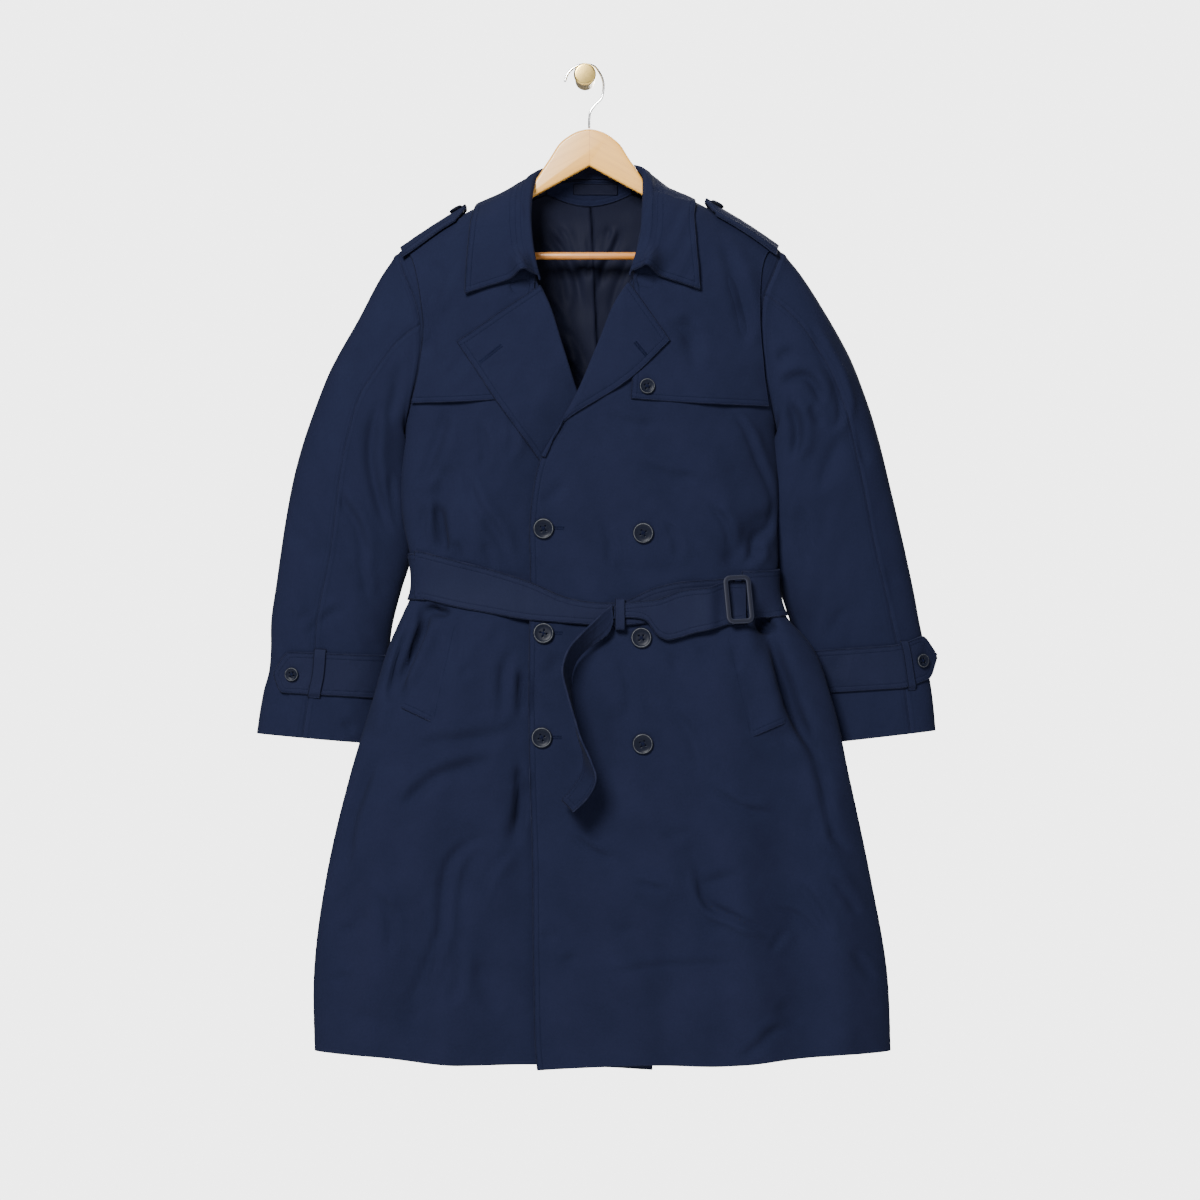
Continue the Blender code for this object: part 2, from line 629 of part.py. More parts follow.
def panel_points(inner_x, armhole, side, columns, depth):
    """Rows of points from an inner edge out to the shoulder, armhole and side seam."""
    angles = np.radians(np.arange(len(UPPER_ROWS)) * ARMHOLE_STEP)
    tip_z = armhole[0][1]
    upper_out = tip_z + (UNDERARM_Z - tip_z) * (1 - np.cos(angles)) / 2
    inner_z = np.array([*UPPER_ROWS, *(row.inner for row in LOWER_ROWS)])
    outer_z = np.array([*upper_out, *(row.outer for row in LOWER_ROWS)])
    start = np.broadcast_to(inner_x(inner_z), inner_z.shape)
    end = np.where(outer_z > UNDERARM_Z, x_at(armhole, outer_z), body_at(outer_z, side))
    start = start[:, None]
    end = end[:, None]
    spread = column_spread(start, end, (inner_z + outer_z)[:, None] / 2, columns)
    x = start + (end - start) * spread
    z = inner_z[:, None] + (outer_z - inner_z)[:, None] * spread
    fade = np.clip(1 - np.arange(len(inner_z)) / (len(UPPER_ROWS) - 1), 0.0, 1.0)[:, None] ** 1.5
    chord = inner_z[0] + (outer_z[0] - inner_z[0]) * spread
    z = z + (neck_z(x) - chord) * fade
    low = ease((HEM_SAG_HEIGHT - (z - z.min())) / HEM_SAG_HEIGHT)
    z = z - HEM_SAG * low * np.exp(-(((np.abs(x - CENTRE_X) - 165.0) / 70.0) ** 2))
    return np.stack([x, depth(x, z), z], axis=-1)


def column_spread(start, end, z, columns):
    """Shares of the way across, closer together where the body rounds away to its side."""
    left = body_at(z, "left")
    right = body_at(z, "right")
    ends = [np.clip((2 * x - left - right) / (right - left), -1.0, 1.0) for x in (start, end)]
    turns = [np.arcsin(np.sign(share) * np.abs(share) ** (SIDE_POWER / 2)) for share in ends]
    even = np.linspace(0.0, 1.0, columns)[None, :]
    turn = turns[0] + (turns[1] - turns[0]) * even
    across = np.sign(np.sin(turn)) * np.abs(np.sin(turn)) ** (2 / SIDE_POWER)
    rounded = (across - across[:, :1]) / (across[:, -1:] - across[:, :1])
    return (even + rounded) / 2


def faces_away(points, inside):
    """Normals of the quads of a grid, scaled by area, and 1 or -1 as they face away from inside or to it."""
    one = points[1:, 1:] - points[:-1, :-1]
    other = points[:-1, 1:] - points[1:, :-1]
    middle = (points[1:, 1:] + points[:-1, :-1]) / 2
    normals = np.cross(one, other)
    return normals, np.sign((normals * (middle - inside)).sum())


def normals_of(points, inside=COAT_INSIDE):
    """Normals at the points of a grid, away from inside."""
    face, sign = faces_away(points, inside)
    total = np.zeros_like(points)
    for rows in (slice(None, -1), slice(1, None)):
        for columns in (slice(None, -1), slice(1, None)):
            total[rows, columns] += face * sign
    return total / np.linalg.norm(total, axis=-1, keepdims=True)


def seam_gap(points, side, away):
    """Draw a panel back from the shoulder, side and armhole seams, by its wall's lean there."""
    lean = np.abs(normals_of(points)[..., 1]) * CLOTH + SEAM
    points = points.copy()
    underarm = len(UPPER_ROWS) - 1
    points[0, :, 1] += away * lean[0]
    points[underarm:, -1, 1] += away * lean[underarm:, -1]
    points[1:underarm, -1, 0] -= side * SEAM
    return points


def skin_of(points, inside=COAT_INSIDE, closed=False):
    """Vertices and outward faces of a grid of points, whose columns may close into rings."""
    points = np.asarray(points, float)
    inside = np.asarray(inside, float)
    rows, columns = points.shape[:2]
    outward = faces_away(points, inside)[1] > 0
    faces = []
    for i in range(rows - 1):
        for j in range(columns if closed else columns - 1):
            k = (j + 1) % columns
            face = [i * columns + j, (i + 1) * columns + j, (i + 1) * columns + k, i * columns + k]
            faces.append(face if outward else face[::-1])
    return points.reshape(-1, 3), faces


def cloth(name, points, thickness=CLOTH, finish="navy_cloth", inside=COAT_INSIDE, closed=False):
    """A cloth wall: the grid of points is its outer face, and its thickness goes inwards."""
    vertices, faces = skin_of(points, inside, closed)
    mesh = bpy.data.meshes.new(name)
    mesh.from_pydata([tuple(v * MM) for v in vertices], [], faces)
    mesh.shade_smooth()
    made = add_object(name, mesh, finish)
    wall = made.modifiers.new("wall", "SOLIDIFY")
    wall.thickness = thickness * MM
    wall.offset = -1.0
    return made


def tree_of(*skins):
    """One search tree over several skins, whose quads are parted along both diagonals."""
    vertices = []
    faces = []
    for points, quads in skins:
        start = len(vertices)
        vertices += [Vector(p) for p in points]
        for a, b, c, d in quads:
            faces += [[start + i for i in corners] for corners in ((a, b, c), (a, c, d), (b, c, d), (b, d, a))]
    return BVHTree.FromPolygons(vertices, faces)


def lay_front(x, z, tree, rise):
    """Points on the front of what the tree holds, raised off it along its normals."""
    x, z, rise = np.broadcast_arrays(x, z, rise)
    out = np.zeros((*x.shape, 3))
    for place in np.ndindex(x.shape):
        hit, normal, _, _ = tree.ray_cast(Vector((x[place], -400.0, z[place])), Vector((0.0, 1.0, 0.0)))
        if hit is None:
            hit, normal, _, _ = tree.find_nearest(Vector((x[place], MIDDLE_Y - 40.0, z[place])))
        out[place] = hit + normal * float(rise[place])
    return out


def push_out(points, tree, rise):
    """Move points that lie closer than rise to the outer faces of the tree out to that distance."""
    out = np.array(points, float)
    rise = np.broadcast_to(rise, out.shape[:-1])
    for place in np.ndindex(out.shape[:-1]):
        out[place] += missing(out[place], tree, float(rise[place]))
    return out


def clear_of(points, tree, thickness, inside=COAT_INSIDE, gap=CLEAR):
    """Raise a grid until the inner faces of its wall clear the tree between the points too."""
    points = np.array(points, float)
    rows, columns = points.shape[:2]
    for _ in range(CLEAR_ROUNDS):
        inner = points - normals_of(points, inside) * thickness
        push = np.zeros_like(points)
        for i in range(rows - 1):
            for j in range(columns - 1):
                corners = inner[i : i + 2, j : j + 2].reshape(4, 3)
                for weight in SPOTS:
                    move = missing(weight @ corners, tree, gap)
                    share = (weight / (weight @ weight)).reshape(2, 2, 1) * move
                    part = push[i : i + 2, j : j + 2]
                    larger = (share**2).sum(axis=-1) > (part**2).sum(axis=-1)
                    part[larger] = share[larger]
        points = points + push
        if not push.any():
            break
    return points


def triangle_spots(count):
    """Shares of a quad's four corners at places on its triangles, parted along either diagonal."""
    spots = set()
    for i in range(count + 1):
        for j in range(count + 1):
            u = i / count
            v = j / count
            low = min(u, v)
            spots.add((1 - max(u, v), v - low, u - low, low))
            over = max(u + v - 1.0, 0.0)
            spots.add((max(1.0 - u - v, 0.0), v - over, u - over, over))
    return [np.array(spot) for spot in sorted(spots)]


def missing(spot, tree, gap):
    """How far a spot must move to lie the gap outside the tree's faces."""
    hit, normal, _, away = tree.find_nearest(Vector(spot))
    height = (Vector(spot) - hit).dot(normal)
    buried = height < 0 and -height > 0.7 * away and away < BURIED
    short = gap + away if buried else gap - away
    return np.array(normal) * max(short, 0.0)


def between(rail_a, rail_b, rows, columns):
    """A grid of points between two rails."""
    at = np.linspace(0.0, 1.0, rows)
    across = np.linspace(0.0, 1.0, columns)[None, :, None]
    a = rail(rail_a, at)[:, None, :]
    b = rail(rail_b, at)[:, None, :]
    return a + (b - a) * across


def body_panels():
    """The outer faces of the fronts and of the back's two halves, which meet at its middle seam."""
    over = panel_points(lambda z: x_at(OVER_EDGE, z), ARMHOLE_RIGHT, "right", FRONT_COLUMNS, front_y)
    under = panel_points(lambda z: x_at(UNDER_EDGE, z), ARMHOLE_LEFT, "left", FRONT_COLUMNS, under_y)
    halves = []
    for armhole, side, sign in ((ARMHOLE_LEFT, "left", -1.0), (ARMHOLE_RIGHT, "right", 1.0)):
        half = panel_points(lambda z: CENTRE_X, armhole, side, BACK_COLUMNS, back_y)
        half[:, 0, 0] += sign * SEAM
        halves.append(seam_gap(half, sign, 1.0))
    return seam_gap(over, 1.0, -1.0), seam_gap(under, -1.0, -1.0), *halves


def armhole_loop(armhole, angles):
    """Points round an armhole, at angles from the shoulder point over the front and up behind."""
    tip_z = armhole[0][1]
    z = tip_z + (UNDERARM_Z - tip_z) * (1 - np.cos(angles)) / 2
    x = x_at(armhole, z)
    y = np.where(np.sin(angles) >= 0, front_y(x, z), back_y(x, z))
    return np.stack([x, y, z], axis=-1)


def sleeve_rings(rows, armhole, degrees, places):
    """Rings of a sleeve at places counted in rows of its table, and the middle of each ring."""
    angles = np.radians(degrees)
    numbers = np.arange(len(rows))
    row = SleeveRow(*(follow(places, numbers, [r[k] for r in rows])[:, None] for k in range(len(SleeveRow._fields))))
    middle = np.stack([(row.out_x + row.in_x) / 2, row.y, (row.out_z + row.in_z) / 2], axis=-1)
    cosine = np.sign(np.cos(angles)) * np.abs(np.cos(angles)) ** SLEEVE_POWER
    sine = np.sign(np.sin(angles)) * np.abs(np.sin(angles)) ** SLEEVE_POWER
    x = middle[..., 0] + (row.out_x - row.in_x) / 2 * cosine
    z = middle[..., 2] + (row.out_z - row.in_z) / 2 * cosine
    rings = np.stack([x, row.y - row.depth * sine, z], axis=-1)
    loop = armhole_loop(armhole, angles)
    side = np.sign(rows[-1].out_x)
    loop[:, 0] += side * ARMHOLE_GAP
    first = rows[0]
    start = np.array([(first.out_x + first.in_x) / 2, 0.0, (first.out_z + first.in_z) / 2])
    moved = loop + (middle - start) * np.array([1.0, 0.0, 1.0])
    share = np.clip(row.armhole, 0.0, 1.0)[..., None]
    return rings * (1 - share) + moved * share, middle


def add_sleeve(side_name, rows, armhole, seam):
    """An upper sleeve in two parts and an under sleeve, parted at the seams in front and behind."""
    places = np.arange(len(rows), dtype=float)
    steps = np.arange(SLEEVE_SIDES + 1) * 180.0 / SLEEVE_SIDES
    for name, start in (("sleeve_upper_", seam - 180.0), ("sleeve_under_", seam)):
        degrees = start + steps
        degrees[0] += SLEEVE_SEAM
        degrees[-1] -= SLEEVE_SEAM
        rings, middle = sleeve_rings(rows, armhole, degrees, places)
        if name == "sleeve_under_":
            cloth(name + side_name, rings, inside=middle[:-1])
            continue
        arm = rings[: ELBOW_ROW + 1].copy()
        forearm = rings[ELBOW_ROW:].copy()
        arm[-1, :, 2] += SEAM
        forearm[0, :, 2] -= SEAM
        cloth(name + side_name, arm, inside=middle[:ELBOW_ROW])
        cloth("sleeve_forearm_" + side_name, forearm, inside=middle[ELBOW_ROW:-1])


def add_cuff_strap(side_name, rows, armhole, seam, strap):
    """A strap round the cuff with a free pointed end, its loop and its button."""
    step = 180.0 / SLEEVE_SIDES
    places = np.arange(8.0, len(rows))
    tube, middle = sleeve_rings(rows, armhole, seam + np.arange(2 * SLEEVE_SIDES) * step, places)
    tree = tree_of(skin_of(tube, middle[:-1], closed=True))
    degrees = np.linspace(strap.shoulder, strap.end, 15)
    band, _ = sleeve_rings(rows, armhole, degrees, np.linspace(strap.top, strap.bottom, 4))
    band = push_out(np.swapaxes(band, 0, 1), tree, REST + CLOTH)
    centre = band[0].mean(axis=0)
    away = band[0].mean(axis=0) - band[1].mean(axis=0)
    away = away / np.linalg.norm(away)
    half_row = centre + away * STRAP_POINT * 0.45 + (band[0] - centre) * 0.8
    tip_row = centre + away * STRAP_POINT + (band[0] - centre) * 0.12
    points = np.concatenate([push_out([tip_row, half_row], tree, REST + CLOTH), band])
    inside = middle[4, 0]
    points = clear_of(points, tree, CLOTH, inside)
    cloth("cuff_strap_" + side_name, points, CLOTH, "navy_trim", inside)
    reach = LOOP_OVER / CUFF_ROW
    down = np.array([-reach, -reach * 0.4, (strap.bottom - strap.top) / 2, 0.0, 0.0]) + strap.top
    down[3:] = strap.bottom + reach * 0.4, strap.bottom + reach
    over = REST + CLOTH + REST + TRIM
    rise = np.array([REST + TRIM, over, over, over, REST + TRIM])
    loop, _ = sleeve_rings(rows, armhole, strap.loop + np.array([-0.5, 0.5]) * LOOP_ANGLE, down)
    strapped = tree_of(skin_of(tube, middle[:-1], closed=True), skin_of(points, inside))
    loop = clear_of(push_out(loop, tree, rise[:, None]), strapped, TRIM, inside)
    cloth("cuff_loop_" + side_name, loop, TRIM, "navy_trim", inside)
    normal = normals_of(points, inside)[2, 1:3].mean(axis=0)
    add_button("cuff_button_" + side_name, points[2, 1:3].mean(axis=0), normal, CUFF_BUTTON, [points])


def finer(points):
    """Points of a grid with places between them."""
    steps = [np.linspace(0.0, count - 1.0, FINER * (count - 1) + 1) for count in points.shape[:2]]
    for axis, at in enumerate(steps):
        first = np.clip(at.astype(int), 0, points.shape[axis] - 2)
        share = (at - first).reshape((-1, 1, 1) if axis == 0 else (1, -1, 1))
        points = np.take(points, first, axis) * (1 - share) + np.take(points, first + 1, axis) * share
    return points.reshape(-1, 3)


def turned(name, profile, sides, finish):
    """A solid turned about its Z axis; the profile of (radius, height) runs down its outer side."""
    mesh = bpy.data.meshes.new(name)
    count = len(profile)
    mesh.from_pydata([(r * MM, 0.0, z * MM) for r, z in profile], [(i, i + 1) for i in range(count - 1)], [])
    made = add_object(name, mesh, finish)
    screw = made.modifiers.new("turn", "SCREW")
    screw.axis = "Z"
    screw.steps = sides
    screw.render_steps = sides
    screw.use_merge_vertices = True
    screw.merge_threshold = 0.00001
    return made


def add_button(name, place, normal, diameter, grids):
    """A turned button with a raised rim round a dished face, just clear of the cloth grids under it."""
    radius = diameter / 2
    normal = np.array(normal) / np.linalg.norm(normal)
    cloth_points = np.concatenate([finer(grid) for grid in grids])
    height = (cloth_points - place) @ normal
    off = cloth_points - place - height[:, None] * normal
    under = np.linalg.norm(off, axis=1) < radius * 0.9
    place = place + normal * (height[under].max() + BUTTON_GAP)
    profile = (
        (0.0, BUTTON_RISE * 0.62),
        (radius * 0.64, BUTTON_RISE * 0.62),
        (radius * 0.78, BUTTON_RISE),
        (radius * 0.93, BUTTON_RISE),
        (radius, BUTTON_RISE * 0.5),
        (radius * 0.86, 0.0),
        (0.0, 0.0),
    )
    made = turned(name, profile, BUTTON_SIDES, "button")
    made.location = Vector(place) * MM
    made.rotation_mode = "QUATERNION"
    made.rotation_quaternion = Vector(normal).to_track_quat("Z", "Y")
    return made


def add_flap(side_name, rail_in, rail_out, tree):
    """A storm flap from the shoulder over the chest, its lower edge standing off."""
    flat = between(rail_in, rail_out, FLAP_ROWS, FLAP_COLUMNS)
    x = flat[..., 0]
    z = flat[..., 1]
    down = np.linspace(0.0, 1.0, FLAP_ROWS)[:, None]
    z = z + (ridge_z(x) - FLAP_TOP_DROP - z) * (1 - down) ** 2
    off = FLAP_STAND_OFF * ease((down - 0.6) / 0.4) * ease((np.abs(x) - 110.0) / 40.0)
    points = clear_of(lay_front(x, z, tree, REST + CLOTH + off), tree, CLOTH)
    cloth("storm_flap_" + side_name, points)
    return points


def add_lapel(side_name, roll, edge, tree, rise):
    """A lapel turned back from its roll line onto the front."""
    flat = between(roll, edge, LAPEL_ROWS, LAPEL_COLUMNS)
    x = flat[..., 0]
    points = clear_of(lay_front(x, flat[..., 1], tree, rise(x)), tree, CLOTH)
    cloth("lapel_" + side_name, points)


def left_lapel_rise(x):
    """Height of the left lapel over the under front: above the flap at its outer part."""
    return 2 * CLOTH + 2 * REST + 0.6 - (CLOTH + REST) * ease((x + 84.0) / 26.0)


def right_lapel_rise(x):
    """Height of the right lapel over the lapping front."""
    return CLOTH + REST + (CLOTH + REST + 0.6) * ease((x - 22.0) / 26.0)


def collar_leaf_points(tree):
    """The collar leaf, from its roll line over the shoulders to its edge."""
    number = np.arange(len(COLLAR_ROWS))
    places = [follow(COLLAR_STATIONS, number, [row[k] for row in COLLAR_ROWS]) for k in range(6)]
    roll = np.stack(places[:3], axis=-1)
    edge = np.stack(places[3:], axis=-1)
    crest = roll + (edge - roll) * 0.3
    crest[:, 2] += COLLAR_RISE
    outward = (edge - roll) * np.array([0.0, 1.0, 0.0])
    crest = crest + outward * 0.25
    share = np.linspace(0.0, 1.0, COLLAR_ACROSS)[None, :, None]
    points = roll[:, None] * (1 - share) ** 2 + 2 * crest[:, None] * share * (1 - share) + edge[:, None] * share**2
    return clear_of(push_out(points, tree, REST + DOUBLED), tree, DOUBLED)


def neck_line():
    """Points along the neck seam, from the left front round the back to the right front."""
    points = []
    for edge, heights in ((UNDER_EDGE, NECK_HEIGHTS), (OVER_EDGE, NECK_HEIGHTS[::-1])):
        z = np.array(heights) + edge[0][1]
        x = x_at(edge, z)
        points.append(np.stack([x, front_y(x, z), z], axis=-1))
    x = np.linspace(UNDER_EDGE[0][0] + 1.0, OVER_EDGE[0][0] - 1.0, 13)
    z = neck_z(x)
    points.insert(1, np.stack([x, back_y(x, z), z], axis=-1))
    return np.concatenate(points)


def stand_points():
    """The collar's stand, from just above the neck seam up to just inside the roll line."""
    share = np.linspace(0.0, 1.0, STAND_STATIONS)
    top = rail([(r.roll_x, r.roll_y, r.roll_z) for r in COLLAR_ROWS[STAND_ROWS]], share)
    inward = (np.array(NECK_MIDDLE) - top) * np.array([1.0, 1.0, 0.0])
    top = top + inward / np.linalg.norm(inward, axis=1, keepdims=True) * STAND_IN
    top[:, 2] -= STAND_DROP
    foot = rail(neck_line(), share)
    foot = foot + (top - foot) / np.linalg.norm(top - foot, axis=1, keepdims=True) * STAND_FOOT
    up = np.linspace(0.0, 1.0, 3)[None, :, None]
    return foot[:, None] + (top - foot)[:, None] * up


def inside_back(x, z, tree, thickness):
    """Points inside the back, on the seen face of a thin piece that rests on the tree there."""
    points = np.stack([x, back_y(x, z) - 2 * CLOTH - REST, z], axis=-1)
    return clear_of(push_out(points, tree, REST + thickness), tree, thickness, BEHIND)


def add_neck_inside(back):
    """The neck facing with its blank label, and the back lining with its middle pleat."""
    wall = skin_of(back - normals_of(back) * CLOTH, BEHIND)
    tree = tree_of(wall)
    across = np.linspace(-1.0, 1.0, FACING_COLUMNS)[None, :]
    down = np.linspace(0.0, 1.0, 4)[:, None]
    x = CENTRE_X + FACING_HALF * across + 0.0 * down
    top = neck_z(x) - 2.0
    foot = FACING_FOOT + (top - FACING_FOOT) * 0.55 * across**2
    facing = inside_back(x, top + (foot - top) * down, tree, TRIM)
    cloth("neck_facing", facing, TRIM, "navy_cloth", BEHIND)
    down = np.linspace(0.0, 1.0, 3)[:, None]
    x = LABEL_X + LABEL_WIDE / 2 * np.linspace(-1.0, 1.0, 5)[None, :] + 0.0 * down
    z = LABEL_TOP - LABEL_TALL * down + 0.0 * x
    label = inside_back(x, z, tree_of(skin_of(facing, BEHIND)), LABEL_THICK)
    cloth("neck_label", label, LABEL_THICK, "navy_trim", BEHIND)
    down = np.linspace(0.0, 1.0, LINING_ROWS)[:, None]
    x = CENTRE_X + LINING_HALF * np.linspace(-1.0, 1.0, LINING_COLUMNS)[None, :] + 0.0 * down
    share = np.clip((x - CENTRE_X) / FACING_HALF, -1.0, 1.0)
    facing_foot = FACING_FOOT + (neck_z(x) - 2.0 - FACING_FOOT) * 0.55 * share**2
    top = facing_foot - 1.8 - 14.0 * np.clip(np.abs(x - CENTRE_X) / FACING_HALF - 1.0, 0.0, 1.0)
    points = inside_back(x, top + (LINING_FOOT - top) * down, tree, TRIM)
    pleat = np.exp(-(((x - PLEAT_X - 14.0 * down) / 9.0) ** 2)) * ease(3.0 - 4.0 * down)
    points[..., 1] -= PLEAT_DEEP * pleat
    cloth("back_lining", points, TRIM, "lining", BEHIND)


def add_welt(side_name, edge, tree):
    """A slanted pocket welt whose front edge is given."""
    side = np.sign(edge[0][0])
    back = [(x + side * WELT_WIDTH, z + WELT_RISE) for x, z in edge]
    flat = between(edge, back, 8, 4)
    points = clear_of(lay_front(flat[..., 0], flat[..., 1], tree, REST + CLOTH), tree, CLOTH)
    cloth("pocket_welt_" + side_name, points)


def belt_points(rows, tree):
    """A stretch of belt on the front, raised off the coat, from its table."""
    number = np.arange(len(rows))
    at = np.linspace(0.0, len(rows) - 1.0, 2 * len(rows) - 1)
    x, top, foot, rise = (follow(at, number, [r[k] for r in rows])[:, None] for k in range(4))
    share = np.linspace(0.0, 1.0, 4)[None, :]
    z = top + (foot - top) * share
    x = x + 0.0 * z
    points = np.stack([x, front_y(x, z) - rise, z], axis=-1)
    return clear_of(push_out(points, tree, REST + DOUBLED), tree, DOUBLED)


def belt_round_points(tree):
    """The belt's stretch from the left front round the back to the buckle."""
    start = side_turn(BELT_LEFT_TURN, BELT_SIDE_Z)
    end = side_turn(BELT_FIXED_END, BELT_SIDE_Z)
    turns = np.linspace(start, end - 2 * math.pi, BELT_BACK_STEPS)[:, None]
    share = (start - turns) / (start - end + 2 * math.pi)
    top = BELT_LEFT_TOP + (BELT_RIGHT_TOP - BELT_LEFT_TOP) * ease(share) + BELT_BACK_SAG * np.sin(math.pi * share)
    z = top - BELT_WIDTH * np.linspace(0.0, 1.0, 4)[None, :]
    left = body_at(z, "left")
    right = body_at(z, "right")
    across = np.sign(np.sin(turns)) * np.abs(np.sin(turns)) ** (2 / SIDE_POWER)
    x = (left + right) / 2 + (right - left) / 2 * across
    y = np.where(np.cos(turns) >= 0, front_y(x, z), back_y(x, z))
    middle = np.array([CENTRE_X, -60.0, -610.0])
    points = np.stack([x, y, z], axis=-1)
    return clear_of(push_out(points + (points - middle) * 0.004, tree, REST + DOUBLED), tree, DOUBLED)


def side_turn(x, z):
    """The turn round the body, from the middle of the front, at which its side lies at x."""
    left = float(body_at(z, "left"))
    right = float(body_at(z, "right"))
    share = (2 * x - left - right) / (right - left)
    return math.asin(math.copysign(abs(share) ** (SIDE_POWER / 2), share))


def add_belt(tree):
    """The belt in four stretches, its keeper and its buckle."""
    cloth("belt_left", belt_points(BELT_FRONT, tree), DOUBLED, "navy_trim")
    cloth("belt_round", belt_round_points(tree), DOUBLED, "navy_trim")
    cloth("belt_folded", belt_points(BELT_FOLDED, tree), DOUBLED, "navy_trim")
    at = np.linspace(0.0, 1.0, TAIL_STEPS)
    front = rail([(r.front_x, r.front_z, r.front_rise) for r in TAIL_ROWS], at)
    back = rail([(r.back_x, r.back_z, r.back_rise) for r in TAIL_ROWS], at)
    share = np.linspace(0.0, 1.0, 4)[None, :, None]
    tail = front[:, None] + (back - front)[:, None] * share
    points = np.stack([tail[..., 0], front_y(tail[..., 0], tail[..., 1]) - tail[..., 2], tail[..., 1]], axis=-1)
    cloth("belt_tail", points, DOUBLED, "navy_trim", inside=(300.0, -100.0, -640.0))
    add_keeper()
    add_buckle()


def add_keeper():
    """A narrow loop of cloth round both layers of the belt."""
    turns = np.radians(np.arange(0.0, 360.0, 24.0))[None, :]
    x = KEEPER_X + KEEPER_WIDE * np.array([-0.5, 0.5])[:, None] + 0.0 * turns
    tall = (KEEPER_TOP - KEEPER_BOTTOM) / 2
    z = KEEPER_BOTTOM + tall + tall * np.sign(np.sin(turns)) * np.abs(np.sin(turns)) ** 0.45 + 0.0 * x
    deep = (KEEPER_OUT - KEEPER_IN) / 2
    rise = KEEPER_IN + deep + deep * np.sign(np.cos(turns)) * np.abs(np.cos(turns)) ** 0.45
    base = front_y(x, z)
    points = np.stack([x, base - rise, z], axis=-1)
    middle = (KEEPER_X, float(base.mean()) - KEEPER_IN - deep, KEEPER_BOTTOM + tall)
    cloth("belt_keeper", points, TRIM, "navy_trim", inside=middle, closed=True)


def rounded_box(wide, tall, corner, steps):
    """Points round a rectangle with round corners."""
    points = []
    for quarter, (sx, sy) in enumerate(((1, 1), (-1, 1), (-1, -1), (1, -1))):
        for step in range(steps + 1):
            turn = (quarter + step / steps) * math.pi / 2
            x = sx * (wide / 2 - corner) + corner * math.cos(turn)
            points.append((x, sy * (tall / 2 - corner) + corner * math.sin(turn)))
    return points


def inset(outline, distance):
    """A closed outline drawn in, or let out, by the distance."""
    outline = np.array(outline, float)
    before = outline - np.roll(outline, 1, axis=0)
    after = np.roll(outline, -1, axis=0) - outline
    area = (outline[:, 0] * np.roll(outline[:, 1], -1) - outline[:, 1] * np.roll(outline[:, 0], -1)).sum()
    sides = [np.stack([-way[:, 1], way[:, 0]], axis=-1) * np.sign(area) for way in (before, after)]
    sides = [side / np.linalg.norm(side, axis=1, keepdims=True) for side in sides]
    middle = sides[0] + sides[1]
    return outline + middle * distance * 2 / np.maximum((middle**2).sum(axis=1, keepdims=True), 1.2)


def plate(name, outline, thickness, chamfer, finish):
    """A flat piece with chamfered edges, lying round its own plane."""
    inner = inset(outline, chamfer)
    half = thickness / 2
    levels = ((inner, half), (outline, half - chamfer), (outline, chamfer - half), (inner, -half))
    count = len(outline)
    vertices = [(x * MM, y * MM, height * MM) for points, height in levels for x, y in points]
    faces = [list(range(count)), list(range(4 * count - 1, 3 * count - 1, -1))]
    for level in range(3):
        for i in range(count):
            k = (i + 1) % count
            start = level * count
            faces.append([start + i, start + count + i, start + count + k, start + k])
    mesh = bpy.data.meshes.new(name)
    mesh.from_pydata(vertices, [], faces)
    return add_object(name, mesh, finish)


def frame_ring(name, outer, inner, thickness, chamfer, finish):
    """A flat closed frame with chamfered edges between two outlines of as many points."""
    half = thickness / 2
    section = (
        (inset(outer, chamfer), half),
        (outer, half - chamfer),
        (outer, chamfer - half),
        (inset(outer, chamfer), -half),
        (inset(inner, -chamfer), -half),
        (inner, chamfer - half),
        (inner, half - chamfer),
        (inset(inner, -chamfer), half),
    )
    count = len(outer)
    vertices = [(x * MM, y * MM, height * MM) for points, height in section for x, y in points]
    faces = []
    for level in range(len(section)):
        start = level * count
        below = (level + 1) % len(section) * count
        for i in range(count):
            k = (i + 1) % count
            faces.append([start + i, below + i, below + k, start + k])
    mesh = bpy.data.meshes.new(name)
    mesh.from_pydata(vertices, [], faces)
    return add_object(name, mesh, finish)


def add_buckle():
    """The buckle's frame, lying over the belt and leaning with it."""
    outer = rounded_box(BUCKLE_WIDE, BUCKLE_TALL, 9.0, 3)
    inner = rounded_box(BUCKLE_WIDE - 2 * BUCKLE_FRAME, BUCKLE_TALL - 2 * BUCKLE_FRAME, 4.5, 3)
    made = frame_ring("belt_buckle", outer, inner, BUCKLE_THICK, 0.9, "buckle")
    x, z = np.meshgrid(
        BUCKLE_X + np.linspace(-0.5, 0.5, 7) * BUCKLE_WIDE, BUCKLE_Z + np.linspace(-0.5, 0.5, 9) * BUCKLE_TALL
    )
    y = front_y(x, z).ravel()
    columns = np.stack([np.ones(y.size), x.ravel() - BUCKLE_X, z.ravel() - BUCKLE_Z], axis=-1)
    plane = np.linalg.lstsq(columns, y, rcond=None)[0]
    out = Vector((plane[1], -1.0, plane[2])).normalized()
    forward = float((columns @ plane - y).max()) * -out.y
    right = Vector((1.0, plane[1], 0.0)).normalized()
    turn = math.radians(BUCKLE_TILT)
    across = right * math.cos(turn) + out.cross(right) * math.sin(turn)
    place = Vector((BUCKLE_X, float(plane[0]), BUCKLE_Z)) + out * (forward + BUCKLE_RISE + BUCKLE_THICK / 2)
    made.matrix_world = placed(across, out.cross(across), out, place)


def placed(x_way, y_way, z_way, place):
    """The matrix of an object whose axes and place are given in the coat's frame."""
    turned_way = Matrix((x_way, y_way, z_way)).transposed().to_4x4()
    return Matrix.Translation(Vector(place) * MM) @ turned_way


